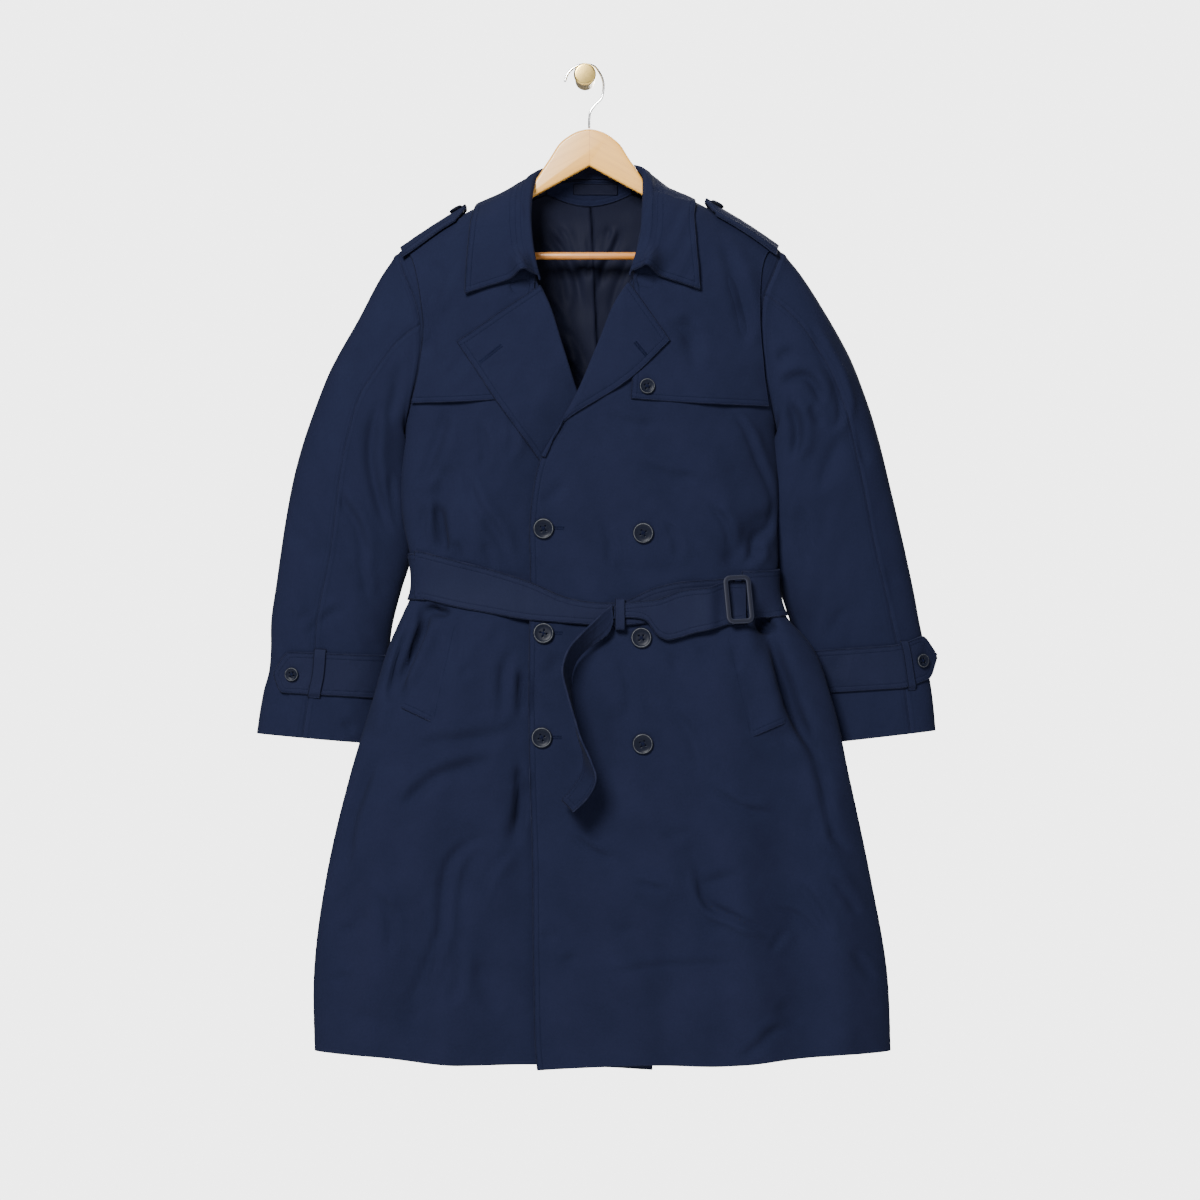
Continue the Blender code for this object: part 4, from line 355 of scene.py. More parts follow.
BACK_CREASES = creases(
    (10, -1.8, 0.4, -160, -250, -176, -300, -186, -350), (10, -1.6, 0.5, 178, -246, 190, -300, 200, -352),
    (7, -2.4, 0.6, -196, -430, -176, -470, -150, -520), (7, -2.6, 0.6, 206, -434, 186, -480, 160, -530),
    (6, -3.2, 0.4, -150, -500, -138, -545, -142, -585), (6, -2.2, 0.3, -70, -520, -62, -556, -66, -590),
    (6, -1.8, 0.3, 30, -530, 24, -560, 28, -592), (6, -3, 0.4, 112, -505, 104, -550, 108, -592),
    (6, -2.4, 0.4, 168, -520, 160, -556, 152, -592), (6, -3.2, 0.5, -160, -672, -176, -720, -182, -770),
    (6, -2, 0.3, -86, -668, -92, -706, -90, -744), (6, -1.6, 0.3, -22, -668, -26, -700, -22, -730),
    (6, -2.2, 0.4, 64, -668, 70, -712, 68, -756), (6, -3.4, 0.6, 140, -670, 156, -722, 168, -784),
    (7, -3, 0.6, -236, -800, -256, -872, -262, -940), (7, -3.2, 0.6, 250, -806, 270, -870, 282, -944),
    (7, -2.2, 0.8, -60, -905, -88, -950, -98, -1010, -92, -1066), (7, -1.6, 0.5, 60, -872, 92, -900, 140, -914),
    (5, -2, 0.8, 120, -980, 152, -1010, 170, -1056), (6, -2, 0.7, -180, -1012, -196, -1060, -190, -1110),
    (6, -1.2, 0.4, 20, -1060, 52, -1080, 96, -1086), (5, -1.8, 0.6, 230, -1020, 252, -1052, 262, -1090),
    (14, -1.4, 0, -90, -290, -60, -330, -20, -356), (14, -1.3, 0, 100, -300, 64, -340, 26, -360),
    (12, -1.2, 0, -30, -430, 4, -446, 44, -440),
)
# Edges of the storm flaps, roll lines and edges of the lapels, and front edges of the welts
FLAP_LEFT_IN = ((-92, -146), (-68, -230), (-60, -275), (-78, -350), (-94, -394))
FLAP_LEFT_OUT = ((-217, -216), (-204, -268), (-194.5, -326), (-198.5, -360), (-206.5, -398))
FLAP_RIGHT_IN = ((96, -143), (68, -230), (59, -275), (60, -330), (55.3, -394))
FLAP_RIGHT_OUT = ((228, -214), (212.5, -270), (209.5, -314), (213, -356), (219.5, -402))
LAPEL_LEFT_ROLL = ((-56, -260.5), (-46, -280), (-28.5, -332), (-9.4, -391.4), (6, -428), (16, -450))
LAPEL_LEFT_EDGE = ((-152.4, -326.2), (-131, -358), (-107.5, -393.8), (-88.4, -420.2), (-54.8, -466.9), (-29.7, -498))
LAPEL_RIGHT_ROLL = ((54, -257), (37.4, -282), (17, -330), (-9.4, -391.4), (-31, -430), (-50.5, -464))
LAPEL_RIGHT_EDGE = ((101.3, -324.7), (51.1, -372.5), (18.2, -394.1), (-2, -406), (-23.7, -421), (-47.5, -464.5))
WELT_LEFT = ((-158.8, -668), (-161, -695), (-171, -735), (-181.5, -773))
WELT_RIGHT = ((173.7, -682), (178, -712), (189, -755), (198.8, -791))
# Places along the belt: x, the top and bottom edge, and the height over the coat
BELT_FRONT = (
    (-205, -577, -632, 3.6), (-196, -578.6, -633.8, 3.6), (-186, -581, -636, 3.4), (-152, -590, -643.5, 3.2),
    (-117, -598.6, -650, 3.2), (-68, -614, -658.5, 3.2), (-26, -632, -662, 3.4), (5, -638.5, -664.4, 4.4),
    (28, -639.5, -666, 5.6), (44, -638.5, -665, 5.8), (60, -632.5, -664, 5.4), (82, -622.5, -662, 4.2),
    (112, -615.3, -667, 3.4), (145, -612.5, -666, 3.2), (178, -610, -664, 3.2),
)
BELT_FOLDED = (
    (193, -614.5, -659.5, 6.2), (189.5, -614.5, -660, 6.2), (184.5, -614.5, -661, 6.2), (177.5, -614.5, -662.5, 6.2),
    (169, -615, -664.5, 6.4), (161, -617, -667.5, 7.2), (149, -621.4, -670.5, 12), (130, -623, -674.5, 9),
    (112.7, -626.1, -680, 8.2), (98, -632, -682.5, 8.8), (86, -635.7, -676, 9.6), (74, -637, -660, 10),
    (58, -638.5, -656, 9.8), (42, -641, -656.5, 9.6), (34.5, -642.5, -657.5, 9.6),
)
# Places along the belt's loose end: x, z and height of its front edge and of its back edge
TAIL_ROWS = (
    (32, -643, 9, 33.5, -662, 8), (24, -649.5, 13, 27, -676, 9), (12, -660, 21, 14, -685, 9),
    (-4.3, -675, 31, 1, -694, 8), (-19.8, -692.7, 38, -10, -706, 7), (-27.5, -716, 42, -17, -724, 6),
    (-21, -749.6, 44, -16.5, -752, 6), (-13.8, -774.5, 45, -13, -776, 6), (-5.5, -800.6, 46, -8.5, -800, 7),
    (6, -826, 46, -3, -820, 9), (12.3, -848, 46, -3.5, -840, 12), (3, -868, 46, -14, -858, 15),
    (-14, -885, 45, -27, -873, 19),
)
LARGE_BUTTONS = ((-49.6, -549.8), (70, -555.2), (-49.4, -675.6), (67.6, -681), (-51.4, -800), (69.3, -807.3))
FLAP_BUTTON_PLACE = (74.4, -379.8)
HANGER_TOP = (
    (5.4, -64.6), (-8, -67.5), (-16, -71.3), (-26, -78), (-33, -85), (-41, -98.5), (-49.8, -111.5), (-61, -129),
    (-69, -140.5), (-78, -146.5),
)
HANGER_FOOT = (
    (-212, -216), (-212, -226), (-206, -231), (-178, -231), (-178, -211), (-150, -199), (-100, -174), (-69, -151),
    (-44, -137.2), (-19, -123.4), (5.4, -110),
)
HOOK_ROUTE = (
    (-24.2, -6.7), (-21.5, 1), (-15.5, 8), (-7.5, 12.3), (1.2, 13.9), (10.5, 12), (17.5, 4), (22, -6), (22.6, -16.5),
    (19.4, -28.5), (12, -36), (7, -43), (5.4, -52), (5.2, -64),
)


def ease(value: Array) -> Array:
    """A share from 0 to 1 with soft ends."""
    value = np.clip(value, 0.0, 1.0)
    return value * value * (3.0 - 2.0 * value)


def bell(value: Array) -> Array:
    """1 at 0, falling softly to 0 by about 2 either way."""
    return np.exp(-(value**2))


def squared(value: Array, power: float) -> Array:
    """A sine or cosine raised to a power with its sign kept, so that a round turns squarer."""
    return np.sign(value) * np.abs(value) ** power


def unit(ways: Array) -> Array:
    """The same directions at a length of one."""
    return ways / np.maximum(np.linalg.norm(ways, axis=-1, keepdims=True), 1e-9)


def xyz(x: Array, y: Array, z: Array) -> Array:
    """Points from their coordinates, spread over the same grid."""
    return np.stack(np.broadcast_arrays(x, y, z), axis=-1)


def shares(down: int, across: int, left: float = 0.0) -> tuple[Array, Array]:
    """Shares down the rows of a grid, and across its columns from the left value to 1."""
    return np.linspace(0.0, 1.0, down)[:, None], np.linspace(left, 1.0, across)[None, :]


def circle(step: float) -> Array:
    """Angles once round at a step in degrees."""
    return np.radians(np.arange(0.0, 360.0, step))


def follow(at: Array, places: Numbers, values: Numbers) -> Array:
    """The value at each place, on a smooth line through the given places.

    Args:
        at: where the values are wanted.
        places: places that rise.
        values: the value at each of them.

    Returns:
        The values, in the shape of ``at``.
    """
    at, places, values = (np.asarray(numbers, float) for numbers in (at, places, values))
    slopes = np.gradient(values, places)
    i = np.clip(np.searchsorted(places, at, side="right") - 1, 0, len(places) - 2)
    step = places[i + 1] - places[i]
    s = np.clip((at - places[i]) / step, 0.0, 1.0)
    start = values[i] * (1 + 2 * s) * (1 - s) ** 2 + slopes[i] * step * s * (1 - s) ** 2
    return start + values[i + 1] * s * s * (3 - 2 * s) + slopes[i + 1] * step * s * s * (s - 1)


def rail(points: Sequence[Numbers], at: Array) -> Array:
    """Points at the shares ``at`` of the way along a smooth line through ``points``."""
    line = np.asarray(points, float)
    steps = np.linalg.norm(np.diff(line, axis=0), axis=1)
    places = np.concatenate([[0.0], np.cumsum(steps)]) / steps.sum()
    return np.stack([follow(at, places, column) for column in line.T], axis=-1)


def smooth_table(at: Array, table: Sequence[Numbers]) -> list[Array]:
    """The columns of a table of rows at fractional row numbers."""
    return [follow(at, np.arange(len(table)), column) for column in zip(*table)]


def x_at(edge: Line, z: Array) -> Array:
    """The x of an (x, z) line that runs down, at each height."""
    line = np.asarray(edge, float)
    return follow(-np.asarray(z, float), -line[:, 1], line[:, 0])


def placed(at: Array, places: Array, points: Array) -> Array:
    """Points on straight lines between points with given places, at the places ``at``."""
    return np.stack([np.interp(at, places, column) for column in points.T], axis=-1)


def rumple(u: Array, v: Array, seed: int, wave: float, height: float) -> Array:
    """Uneven low waves in two directions, for cloth that nobody has just pressed.

    Args:
        u: place across, in millimetres.
        v: place along, in millimetres.
        seed: chooses the waves, the same ones each time.
        wave: about their length.
        height: about their height.

    Returns:
        The height at each place.
    """
    chance = np.random.default_rng(seed)
    total = np.zeros(np.broadcast(u, v).shape)
    for _ in range(9):
        turn = chance.uniform(0.0, math.pi)
        size = wave * chance.uniform(0.65, 1.6)
        phase = chance.uniform(0.0, 2 * math.pi)
        total = total + np.sin(2 * math.pi * (u * math.cos(turn) + v * math.sin(turn)) / size + phase)
    return total * height / 2.1


def nearest_on(line: Array, x: Array, z: Array) -> tuple[Array, Array, Array]:
    """How far points lie from a line, on which side, and beside which share of it.

    Args:
        line: the line's (x, z) points.
        x: the points' x.
        z: the points' z.

    Returns:
        The distances, the same with the side's sign, and the shares of the line's length.
    """
    best, signed, place = np.full(x.shape, np.inf), np.zeros(x.shape), np.zeros(x.shape)
    count = len(line) - 1
    for number, (start, run) in enumerate(zip(line, np.diff(line, axis=0))):
        px, pz = x - start[0], z - start[1]
        share = np.clip((px * run[0] + pz * run[1]) / float(run @ run), 0.0, 1.0)
        away = np.hypot(px - share * run[0], pz - share * run[1])
        closer = away < best
        best = np.where(closer, away, best)
        signed = np.where(closer, away * np.sign(run[0] * pz - run[1] * px), signed)
        place = np.where(closer, (number + share) / count, place)
    return best, signed, place


def crease_rise(x: Array, z: Array, lines: Sequence[Crease]) -> Array:
    """How far sharp creases lower and lift the cloth at each point.

    Args:
        x: places across.
        z: heights.
        lines: the creases to add up.

    Returns:
        The rise, below 0 in a crease.
    """
    total = np.zeros(np.broadcast(x, z).shape)
    x, z = np.broadcast_to(x, total.shape), np.broadcast_to(z, total.shape)
    for line, wide, deep, lean in lines:
        low, high = np.min(line, axis=0) - 4 * wide, np.max(line, axis=0) + 4 * wide
        near = (x > low[0]) & (x < high[0]) & (z > low[1]) & (z < high[1])
        if not near.any():
            continue
        smooth = rail(line, np.linspace(0.0, 1.0, 6 * len(line)))
        best, signed, place = nearest_on(smooth, x[near], z[near])
        fade = ease(place * 3.5) * ease((1 - place) * 3.5)
        width = wide * (0.62 + 0.36 * fade)
        lip = bell((signed - np.sign(lean) * 1.9 * width) / (1.3 * width))
        total[near] += deep * (bell(signed / width) - abs(lean) * lip) * fade * (best < 4 * wide)
    return total


@dataclass(frozen=True)
class CoatForm:
    """The form on which all of the coat's pieces lie.

    The shoulders round into front and back over a height, and the under front sinks by its dip over
    the width of a ramp where the other one laps over it.
    """

    shoulder_round: float = 90.0
    side_power: float = 2.6
    depth_power: float = 2.2
    under_dip: float = 7.6
    under_ramp: float = 46.0
    underarm_z: float = -430.0
    neck_z: float = -124.0

    def body_at(self, z: Array, name: str) -> Array:
        """One column of the body's table, smoothed down the coat."""
        return follow(-np.asarray(z, float), [-row.z for row in BODY_ROWS], [getattr(row, name) for row in BODY_ROWS])

    def between(self, x: Array, z: Array) -> Array:
        """Place between the body's sides, -1 at the left one and 1 at the right one."""
        left, right = self.body_at(z, "left"), self.body_at(z, "right")
        return (2 * x - left - right) / (right - left)

    def ridge(self, x: Array) -> Array:
        """Height of the shoulder line."""
        return follow(x, *zip(*RIDGE))

    def fold_rise(self, x: Array, z: Array, folds: Sequence[Fold]) -> Array:
        """How far the soft folds raise the cloth at each point.

        Args:
            x: places across.
            z: heights.
            folds: the folds to add up.

        Returns:
            The rise, below 0 in a trough.
        """
        total = np.zeros(np.broadcast(x, z).shape)
        for fold in folds:
            run_x, run_z = fold.x1 - fold.x0, fold.z1 - fold.z0
            share = ((x - fold.x0) * run_x + (z - fold.z0) * run_z) / (run_x**2 + run_z**2)
            inside = np.clip(share, 0.0, 1.0)
            away = np.hypot(x - fold.x0 - inside * run_x, z - fold.z0 - inside * run_z)
            fade = ease(share * 4 + 0.6) * ease((1 - share) * 5 + 0.6)
            total = total + fold.deep * bell(away / fold.wide) * fade
        return total

    def half_depth(self, x: Array, z: Array) -> Array:
        """Share of the full depth: 1 in the middle, 0 at a side or the shoulder line."""
        across = np.clip(np.abs(self.between(x, z)), 0.0, 1.0)
        side = (1 - across**self.side_power) ** (1 / self.depth_power)
        below = np.clip((self.ridge(x) - z) / self.shoulder_round, 0.0, 1.0)
        return side * np.sqrt(1 - (1 - below) ** 2)

    def front(self, x: Array, z: Array) -> Array:
        """Depth of the front's outer face."""
        share = self.half_depth(x, z)
        rise = self.fold_rise(x, z, FRONT_FOLDS) * np.clip(share / 0.4, 0.0, 1.0)
        return self.body_at(z, "side_y") - self.body_at(z, "front") * share - rise

    def back(self, x: Array, z: Array) -> Array:
        """Depth of the back's outer face."""
        share = self.half_depth(x, z)
        rise = self.fold_rise(x, z, BACK_FOLDS) * np.clip(share / 0.4, 0.0, 1.0)
        return self.body_at(z, "side_y") + self.body_at(z, "back") * share + np.minimum(rise, 0.0)

    def round_at(self, x: Array, z: Array, facing: Array) -> Array:
        """Points on the front where ``facing`` is at least 0, and on the back elsewhere."""
        return xyz(x, np.where(facing >= 0, self.front(x, z), self.back(x, z)), z)

    def under(self, x: Array, z: Array) -> Array:
        """Depth of the under front, which sinks where the other front laps over it."""
        lap = (x - x_at(OVER_EDGE, z) + self.under_ramp) / self.under_ramp
        return self.front(x, z) + self.under_dip * ease(lap) * ease((-345.0 - z) / 36.0)

    def neck(self, x: Array) -> Array:
        """Height of the top edge of fronts and back."""
        side_x = np.where(x < CENTRE_X, UNDER_EDGE[0][0], OVER_EDGE[0][0])
        share = (x - CENTRE_X) / (side_x - CENTRE_X)
        seam = self.neck_z + (self.ridge(side_x) - self.neck_z) * share**2
        return np.where(share < 1.0, seam, self.ridge(x))

    def relief(self, x: Array, z: Array, lines: Sequence[Crease], seed: int) -> Array:
        """Creases and unevenness of a front or the back, none at its sides and shoulders."""
        rough = rumple(x, z, seed, 90.0, 0.7) + rumple(x, z, seed + 1, 30.0, 0.2)
        return (CREASED * crease_rise(x, z, lines) + rough) * np.clip(self.half_depth(x, z) / 0.55, 0.0, 1.0)

    def lay(self, x: Array, z: Array, rise: Array, depth: Depth) -> Array:
        """Points over the front, raised along its normal.

        Args:
            x: places across.
            z: heights.
            rise: how far to raise them.
            depth: the face they lie on, such as ``front``.

        Returns:
            The points.
        """
        x, z = np.broadcast_arrays(np.asarray(x, float), np.asarray(z, float))
        y = depth(x, z)
        tilt_x = (depth(x + 1.0, z) - depth(x - 1.0, z)) / 2
        tilt_z = (depth(x, z + 1.0) - depth(x, z - 1.0)) / 2
        total = np.broadcast_to(rise + self.relief(x, z, FRONT_CREASES, FRONT_SEED), y.shape)
        return xyz(x, y, z) + unit(xyz(tilt_x, -1.0, tilt_z)) * total[..., None]


FORM = CoatForm()


def quad_normals(points: Array) -> Array:
    """Normals of a grid's quads, scaled by area, in the grid's own sense."""
    return np.cross(points[1:, 1:] - points[:-1, :-1], points[:-1, 1:] - points[1:, :-1])


def outward_sign(points: Array, inside: Array | Point) -> float:
    """1 where a grid's own normals face away from inside, and -1 where they face it."""
    middle = (points[1:, 1:] + points[:-1, :-1]) / 2
    return float(np.sign((quad_normals(points) * (middle - inside)).sum())) or 1.0


def quads_of(points: Array, sign: float) -> Array:
    """The numbers of the four corners of each quad of a grid, turned over where the sign is -1."""
    number = np.arange(points[..., 0].size).reshape(points.shape[:2])
    corners = (number[:-1, :-1], number[1:, :-1], number[1:, 1:], number[:-1, 1:])
    return np.stack([part.ravel() for part in corners], axis=1)[:, :: int(sign)]


def normals_of(points: Array, inside: Array | Point, closed: bool = False) -> Array:
    """Normals at the points of a grid, away from inside.

    Args:
        points: the grid, rows by columns by three.
        inside: a point, or one per row, on the inner side.
        closed: whether the last column is the first one again.

    Returns:
        Unit normals in the shape of ``points``.
    """
    face = quad_normals(points) * outward_sign(points, inside)
    total = np.zeros_like(points)
    for down in (slice(None, -1), slice(1, None)):
        for across in (slice(None, -1), slice(1, None)):
            total[down, across] += face
    if closed:
        total[:, 0] = total[:, -1] = total[:, 0] + total[:, -1]
    return unit(total)


def arcs(points: Array, axis: int) -> Array:
    """Distance of each point of a grid from its first row (axis 0) or column (axis 1)."""
    steps = np.linalg.norm(np.diff(points, axis=axis), axis=-1)
    start = np.zeros_like(np.take(steps, [0], axis=axis))
    return np.concatenate([start, np.cumsum(steps, axis=axis)], axis=axis)


def remark(points: Array, start: Numbers, end: Numbers, step: float) -> Array:
    """The same surface with columns at given distances from its two side edges.

    Args:
        points: a dense grid.
        start: distances from the first column.
        end: distances from the last column.
        step: spacing of the columns between.

    Returns:
        The new grid.
    """
    along = arcs(points, 1)
    reach = start[-1] + end[-1]
    length = max(float(along[:, -1].mean()), reach + step)
    count = max(int(round((length - end[-1] - start[-1]) / step)), 1) + 1
    made = []
    for row, place in zip(points, along):
        size = min(1.0, 0.8 * place[-1] / max(reach, 1e-6))
        first, last = np.array(start) * size, place[-1] - np.array(end[::-1]) * size
        at = np.concatenate([first, np.linspace(first[-1], last[0], count)[1:-1], last])
        made.append(placed(at, place, row))
    return np.array(made)


def regrid(points: Array, across: tuple, down: tuple) -> Array:
    """The same surface with an even grid that is finer where its edges need it.

    Args:
        points: a dense grid.
        across: the columns' distances from the first and the last one, and the step between them.
        down: the same for the rows.

    Returns:
        The new grid.
    """
    turned = np.swapaxes(remark(points, *across), 0, 1)
    return np.ascontiguousarray(np.swapaxes(remark(turned, *down), 0, 1))


def edge_rise(distance: Array, along: Array, edge: Edge, seed: int) -> Array:
    """The small relief that sewing leaves beside an edge.

    Args:
        distance: distance from the edge.
        along: place along it.
        edge: how it is finished.
        seed: chooses the puckers.

    Returns:
        The rise at each point.
    """
    if edge is PLAIN:
        return np.zeros_like(distance)
    chance = np.random.default_rng(seed)
    wave = sum(
        np.sin(2 * math.pi * along / size + chance.uniform(0, 6.3))
        for size in (chance.uniform(7.5, 9.0), chance.uniform(11.0, 13.5), chance.uniform(17.0, 23.0))
    )
    if edge is SEAM:
        groove = -0.8 * bell(distance / 1.5) + 0.25 * bell((distance - 4.6) / 2.4)
        return groove + 0.07 * wave * bell((distance - 3.0) / 4.0)
    lines = -0.26 * bell((distance - STITCH_LINE) / 0.75) - 0.10 * bell((distance - EDGE_LINE) / 0.55)
    pillow = 0.12 * bell((distance - 4.0) / 1.7)
    return lines + pillow + 0.15 * wave * bell((distance - 6.0) / 4.5)


def link(made: Item) -> Item:
    """Put an object into the scene."""
    bpy.context.scene.collection.objects.link(made)
    return made


def shown(name: str, mesh: bpy.types.Mesh, finishes: Sequence[Material]) -> Item:
    """Link a mesh into the scene with its materials."""
    made = link(bpy.data.objects.new(name + "_piece", mesh))
    for finish in finishes:
        mesh.materials.append(finish)
    LOG.info("%s: %d faces", name, len(mesh.polygons))
    return made


def smooth_mesh(
    name: str, points: Array, faces: list, slots: Numbers, chart: Array | None, word: str
) -> bpy.types.Mesh:
    """A smooth mesh.

    Args:
        name: its name.
        points: its points in millimetres.
        faces: its faces.
        slots: the number of each face's material.
        chart: a UV place for each point, or nothing.
        word: the chart's name.

    Returns:
        The mesh.
    """
    mesh = bpy.data.meshes.new(name)
    mesh.from_pydata((np.asarray(points) * MM).tolist(), [], faces)
    mesh.polygons.foreach_set("material_index", np.asarray(slots, np.int32))
    if chart is not None:
        corners = np.empty(len(mesh.loops), dtype=np.int32)
        mesh.loops.foreach_get("vertex_index", corners)
        mesh.uv_layers.new(name=word).data.foreach_set("uv", chart[corners].ravel())
    mesh.shade_smooth()
    return mesh


@dataclass
class Sheet:
    """A cloth wall, kept as the grid of points on its outer face.

    Its inside is a point, or one per row, on the inner side. A closed sheet's columns make a ring, and
    the seed chooses its unevenness.
    """

    name: str
    points: Array
    inside: Array | Point = COAT_INSIDE
    thickness: float = CLOTH
    edges: EdgeSet = EdgeSet()
    step: float = 4.0
    closed: bool = False
    seed: int = 1

    @property
    def sign(self) -> float:
        """1 where its grid's own sense faces outwards, else -1."""
        return outward_sign(self.points, self.inside)

    @property
    def x(self) -> Array:
        """Its points' x."""
        return self.points[..., 0]

    @property
    def z(self) -> Array:
        """Its points' z."""
        return self.points[..., 2]

    @property
    def across(self) -> Array:
        """Its points' distances from the first column."""
        return arcs(self.points, 1)

    @property
    def down(self) -> Array:
        """Its points' distances from the top row."""
        return arcs(self.points, 0)

    def even(self) -> "Sheet":
        """Space its points evenly, with more of them beside its edges."""
        top, bottom, first, last = (STEPS_OF[edge] for edge in self.edges)
        self.points = regrid(self.points, (first, last, self.step), (top, bottom, self.step))
        return self

    def normals(self) -> Array:
        """Outward unit normals."""
        return normals_of(self.points, self.inside, self.closed)

    def raised(self, rise: Array) -> "Sheet":
        """Move the points along their normals."""
        self.points = self.points + self.normals() * np.broadcast_to(rise, self.points.shape[:2])[..., None]
        return self

    def sides(self) -> tuple[tuple[Array, Array, Edge], ...]:
        """Distance from, place along and finish of the top, bottom, first and last side."""
        across, down = self.across, self.down
        return (
            (down, across, self.edges.top),
            (down[-1:] - down, across, self.edges.bottom),
            (across, down, self.edges.first),
            (across[:, -1:] - across, down, self.edges.last),
        )

    def sewn(self, share: Array | float = 1.0, rise: Array | float = 0.0) -> "Sheet":
        """Press a share of the sewing's relief into its edges, and raise it by more."""
        for number, (distance, along, edge) in enumerate(self.sides()):
            rise = rise + edge_rise(distance, along, edge, self.seed * 10 + number) * share
        return self.raised(rise)

    def beside(self, side: str, distance: float, margin: float = 0.0) -> Array:
        """A line of points on the face at a distance inside one of its sides.

        Args:
            side: ``top``, ``bottom``, ``first`` or ``last``.
            distance: the distance from it.
            margin: how much is left out at both ends.

        Returns:
            The points, just above the cloth.
        """
        above = self.points + self.normals() * 0.12
        if side in ("top", "bottom"):
            above = np.swapaxes(above, 0, 1)
        if side in ("bottom", "last"):
            above = above[:, ::-1]
        line = np.array([placed(distance, at, row) for row, at in zip(above, arcs(above, 1))])
        run = arcs(line[:, None], 0)[:, 0]
        return placed(np.arange(margin, run[-1] - margin, 1.7), run, line)

    def skin(self, every: int = 1) -> tuple[Array, Array]:
        """Vertices and outward triangles of its outer face, for a search tree."""
        grid = self.points[sorted({*range(0, len(self.points), every), len(self.points) - 1})]
        grid = grid[:, sorted({*range(0, grid.shape[1], every), grid.shape[1] - 1})]
        quads = quads_of(grid, self.sign)
        halves = ([0, 1, 2], [0, 2, 3]) if self.sign > 0 else ([1, 2, 3], [0, 1, 3])
        return grid.reshape(-1, 3), np.concatenate([quads[:, half] for half in halves])

    def made(self, finishes: Sequence[Material], lined: Array | None = None) -> Item:
        """Make the wall: outer face, rounded rims and inner face.

        Args:
            finishes: the outer face's material, and the inner face's if it has its own.
            lined: which quads of the inner face have the second material, all if left out.

        Returns:
            The object.
        """
        outer, normal, half = self.points.reshape(-1, 3), self.normals().reshape(-1, 3), self.thickness / 2
        middle = outer - normal * self.thickness / 2
        quads = quads_of(self.points, self.sign)
        sides = self.sides()
        u = sides[2][0] - sides[2][0].mean(axis=1, keepdims=True)
        near = np.full(u.shape, FAR)
        for distance, _, finish in sides:
            if finish is not PLAIN:
                near = np.minimum(near, distance)
        points, faces = [outer, outer - normal * self.thickness], [quads, quads[:, ::-1] + len(outer)]
        source = [np.arange(len(outer))] * 2
        count = 2 * len(outer)
        sense = -int(self.sign)
        for ring, ways in self.rims(middle, normal):
            levels = [ring]
            for turn in ROUNDING:
                at = middle[ring] + normal[ring] * half * math.cos(turn)
                points.append(at + ways * half * math.sin(turn))
                source.append(ring)
                levels.append(np.arange(len(ring)) + count)
                count += len(ring)
            levels.append(ring + len(outer))
            for upper, lower in zip(levels[:-1], levels[1:]):
                strip = np.stack([upper, np.roll(upper, -1), np.roll(lower, -1), lower], axis=1)
                faces.append((strip[:-1] if self.closed else strip)[:, ::sense])
        slots = np.zeros(sum(len(part) for part in faces))
        if len(finishes) > 1:
            slots[len(quads) : 2 * len(quads)] = 1 if lined is None else lined.ravel()
        origin = np.concatenate(source)
        chart = np.stack([u.ravel(), sides[0][0].ravel()], -1)[origin] * MM
        mesh = smooth_mesh(
            self.name, np.concatenate(points), np.concatenate(faces).tolist(), slots, chart, "cloth"
        )
        mesh.attributes.new("edge", "FLOAT", "POINT").data.foreach_set("value", near.ravel()[origin])
        return shown(self.name, mesh, finishes)

    def rims(self, middle: Array, normal: Array) -> list[tuple[Array, Array]]:
        """The loops of boundary points, and the way out of the piece at each of them.

        Args:
            middle: points halfway through the wall.
            normal: the normals at them.

        Returns:
            Each loop's point numbers and its ways out.
        """
        number = np.arange(len(middle)).reshape(self.points.shape[:2])
        loops = [np.concatenate([number[0, :-1], number[:-1, -1], number[-1, :0:-1], number[:0:-1, 0]])]
        if self.closed:
            loops = [number[0], number[-1][::-1]]
        rims = []
        for loop in loops:
            run = middle[np.roll(loop, -1)] - middle[np.roll(loop, 1)]
            if self.closed:
                run[0] = middle[loop[1]] - middle[loop[0]]
                run[-1] = middle[loop[-1]] - middle[loop[-2]]
            rims.append((loop, unit(np.cross(normal[loop], run) * self.sign)))
        return rims


def tree_of(*sheets: Sheet, every: int = 2) -> BVHTree:
    """One search tree over the outer faces of several sheets."""
    vertices, faces, start = [], [], 0
    for sheet in sheets:
        points, triangles = sheet.skin(every)
        vertices.append(points)
        faces.append(triangles + start)
        start += len(points)
    return BVHTree.FromPolygons(np.concatenate(vertices).tolist(), np.concatenate(faces).tolist())


def missing(spot: Array, tree: BVHTree, gap: float, buried_to: float = 12.0) -> Array:
    """How far a spot must move to lie the gap outside the tree's faces."""
    hit, normal, _, away = tree.find_nearest(Vector(spot))
    height = (Vector(spot) - hit).dot(normal)
    buried = height < 0 and -height > 0.7 * away and away < buried_to
    return np.array(normal) * max(gap + away if buried else gap - away, 0.0)


def blurred(ways: Array) -> Array:
    """A grid's vectors, each averaged with its neighbours."""
    wide = np.pad(ways, ((1, 1), (1, 1), (0, 0)), mode="edge")
    near = [(i, j) for i in (0, 1, 2) for j in (0, 1, 2)]
    return sum(wide[i : i + ways.shape[0], j : j + ways.shape[1]] for i, j in near) / 9.0


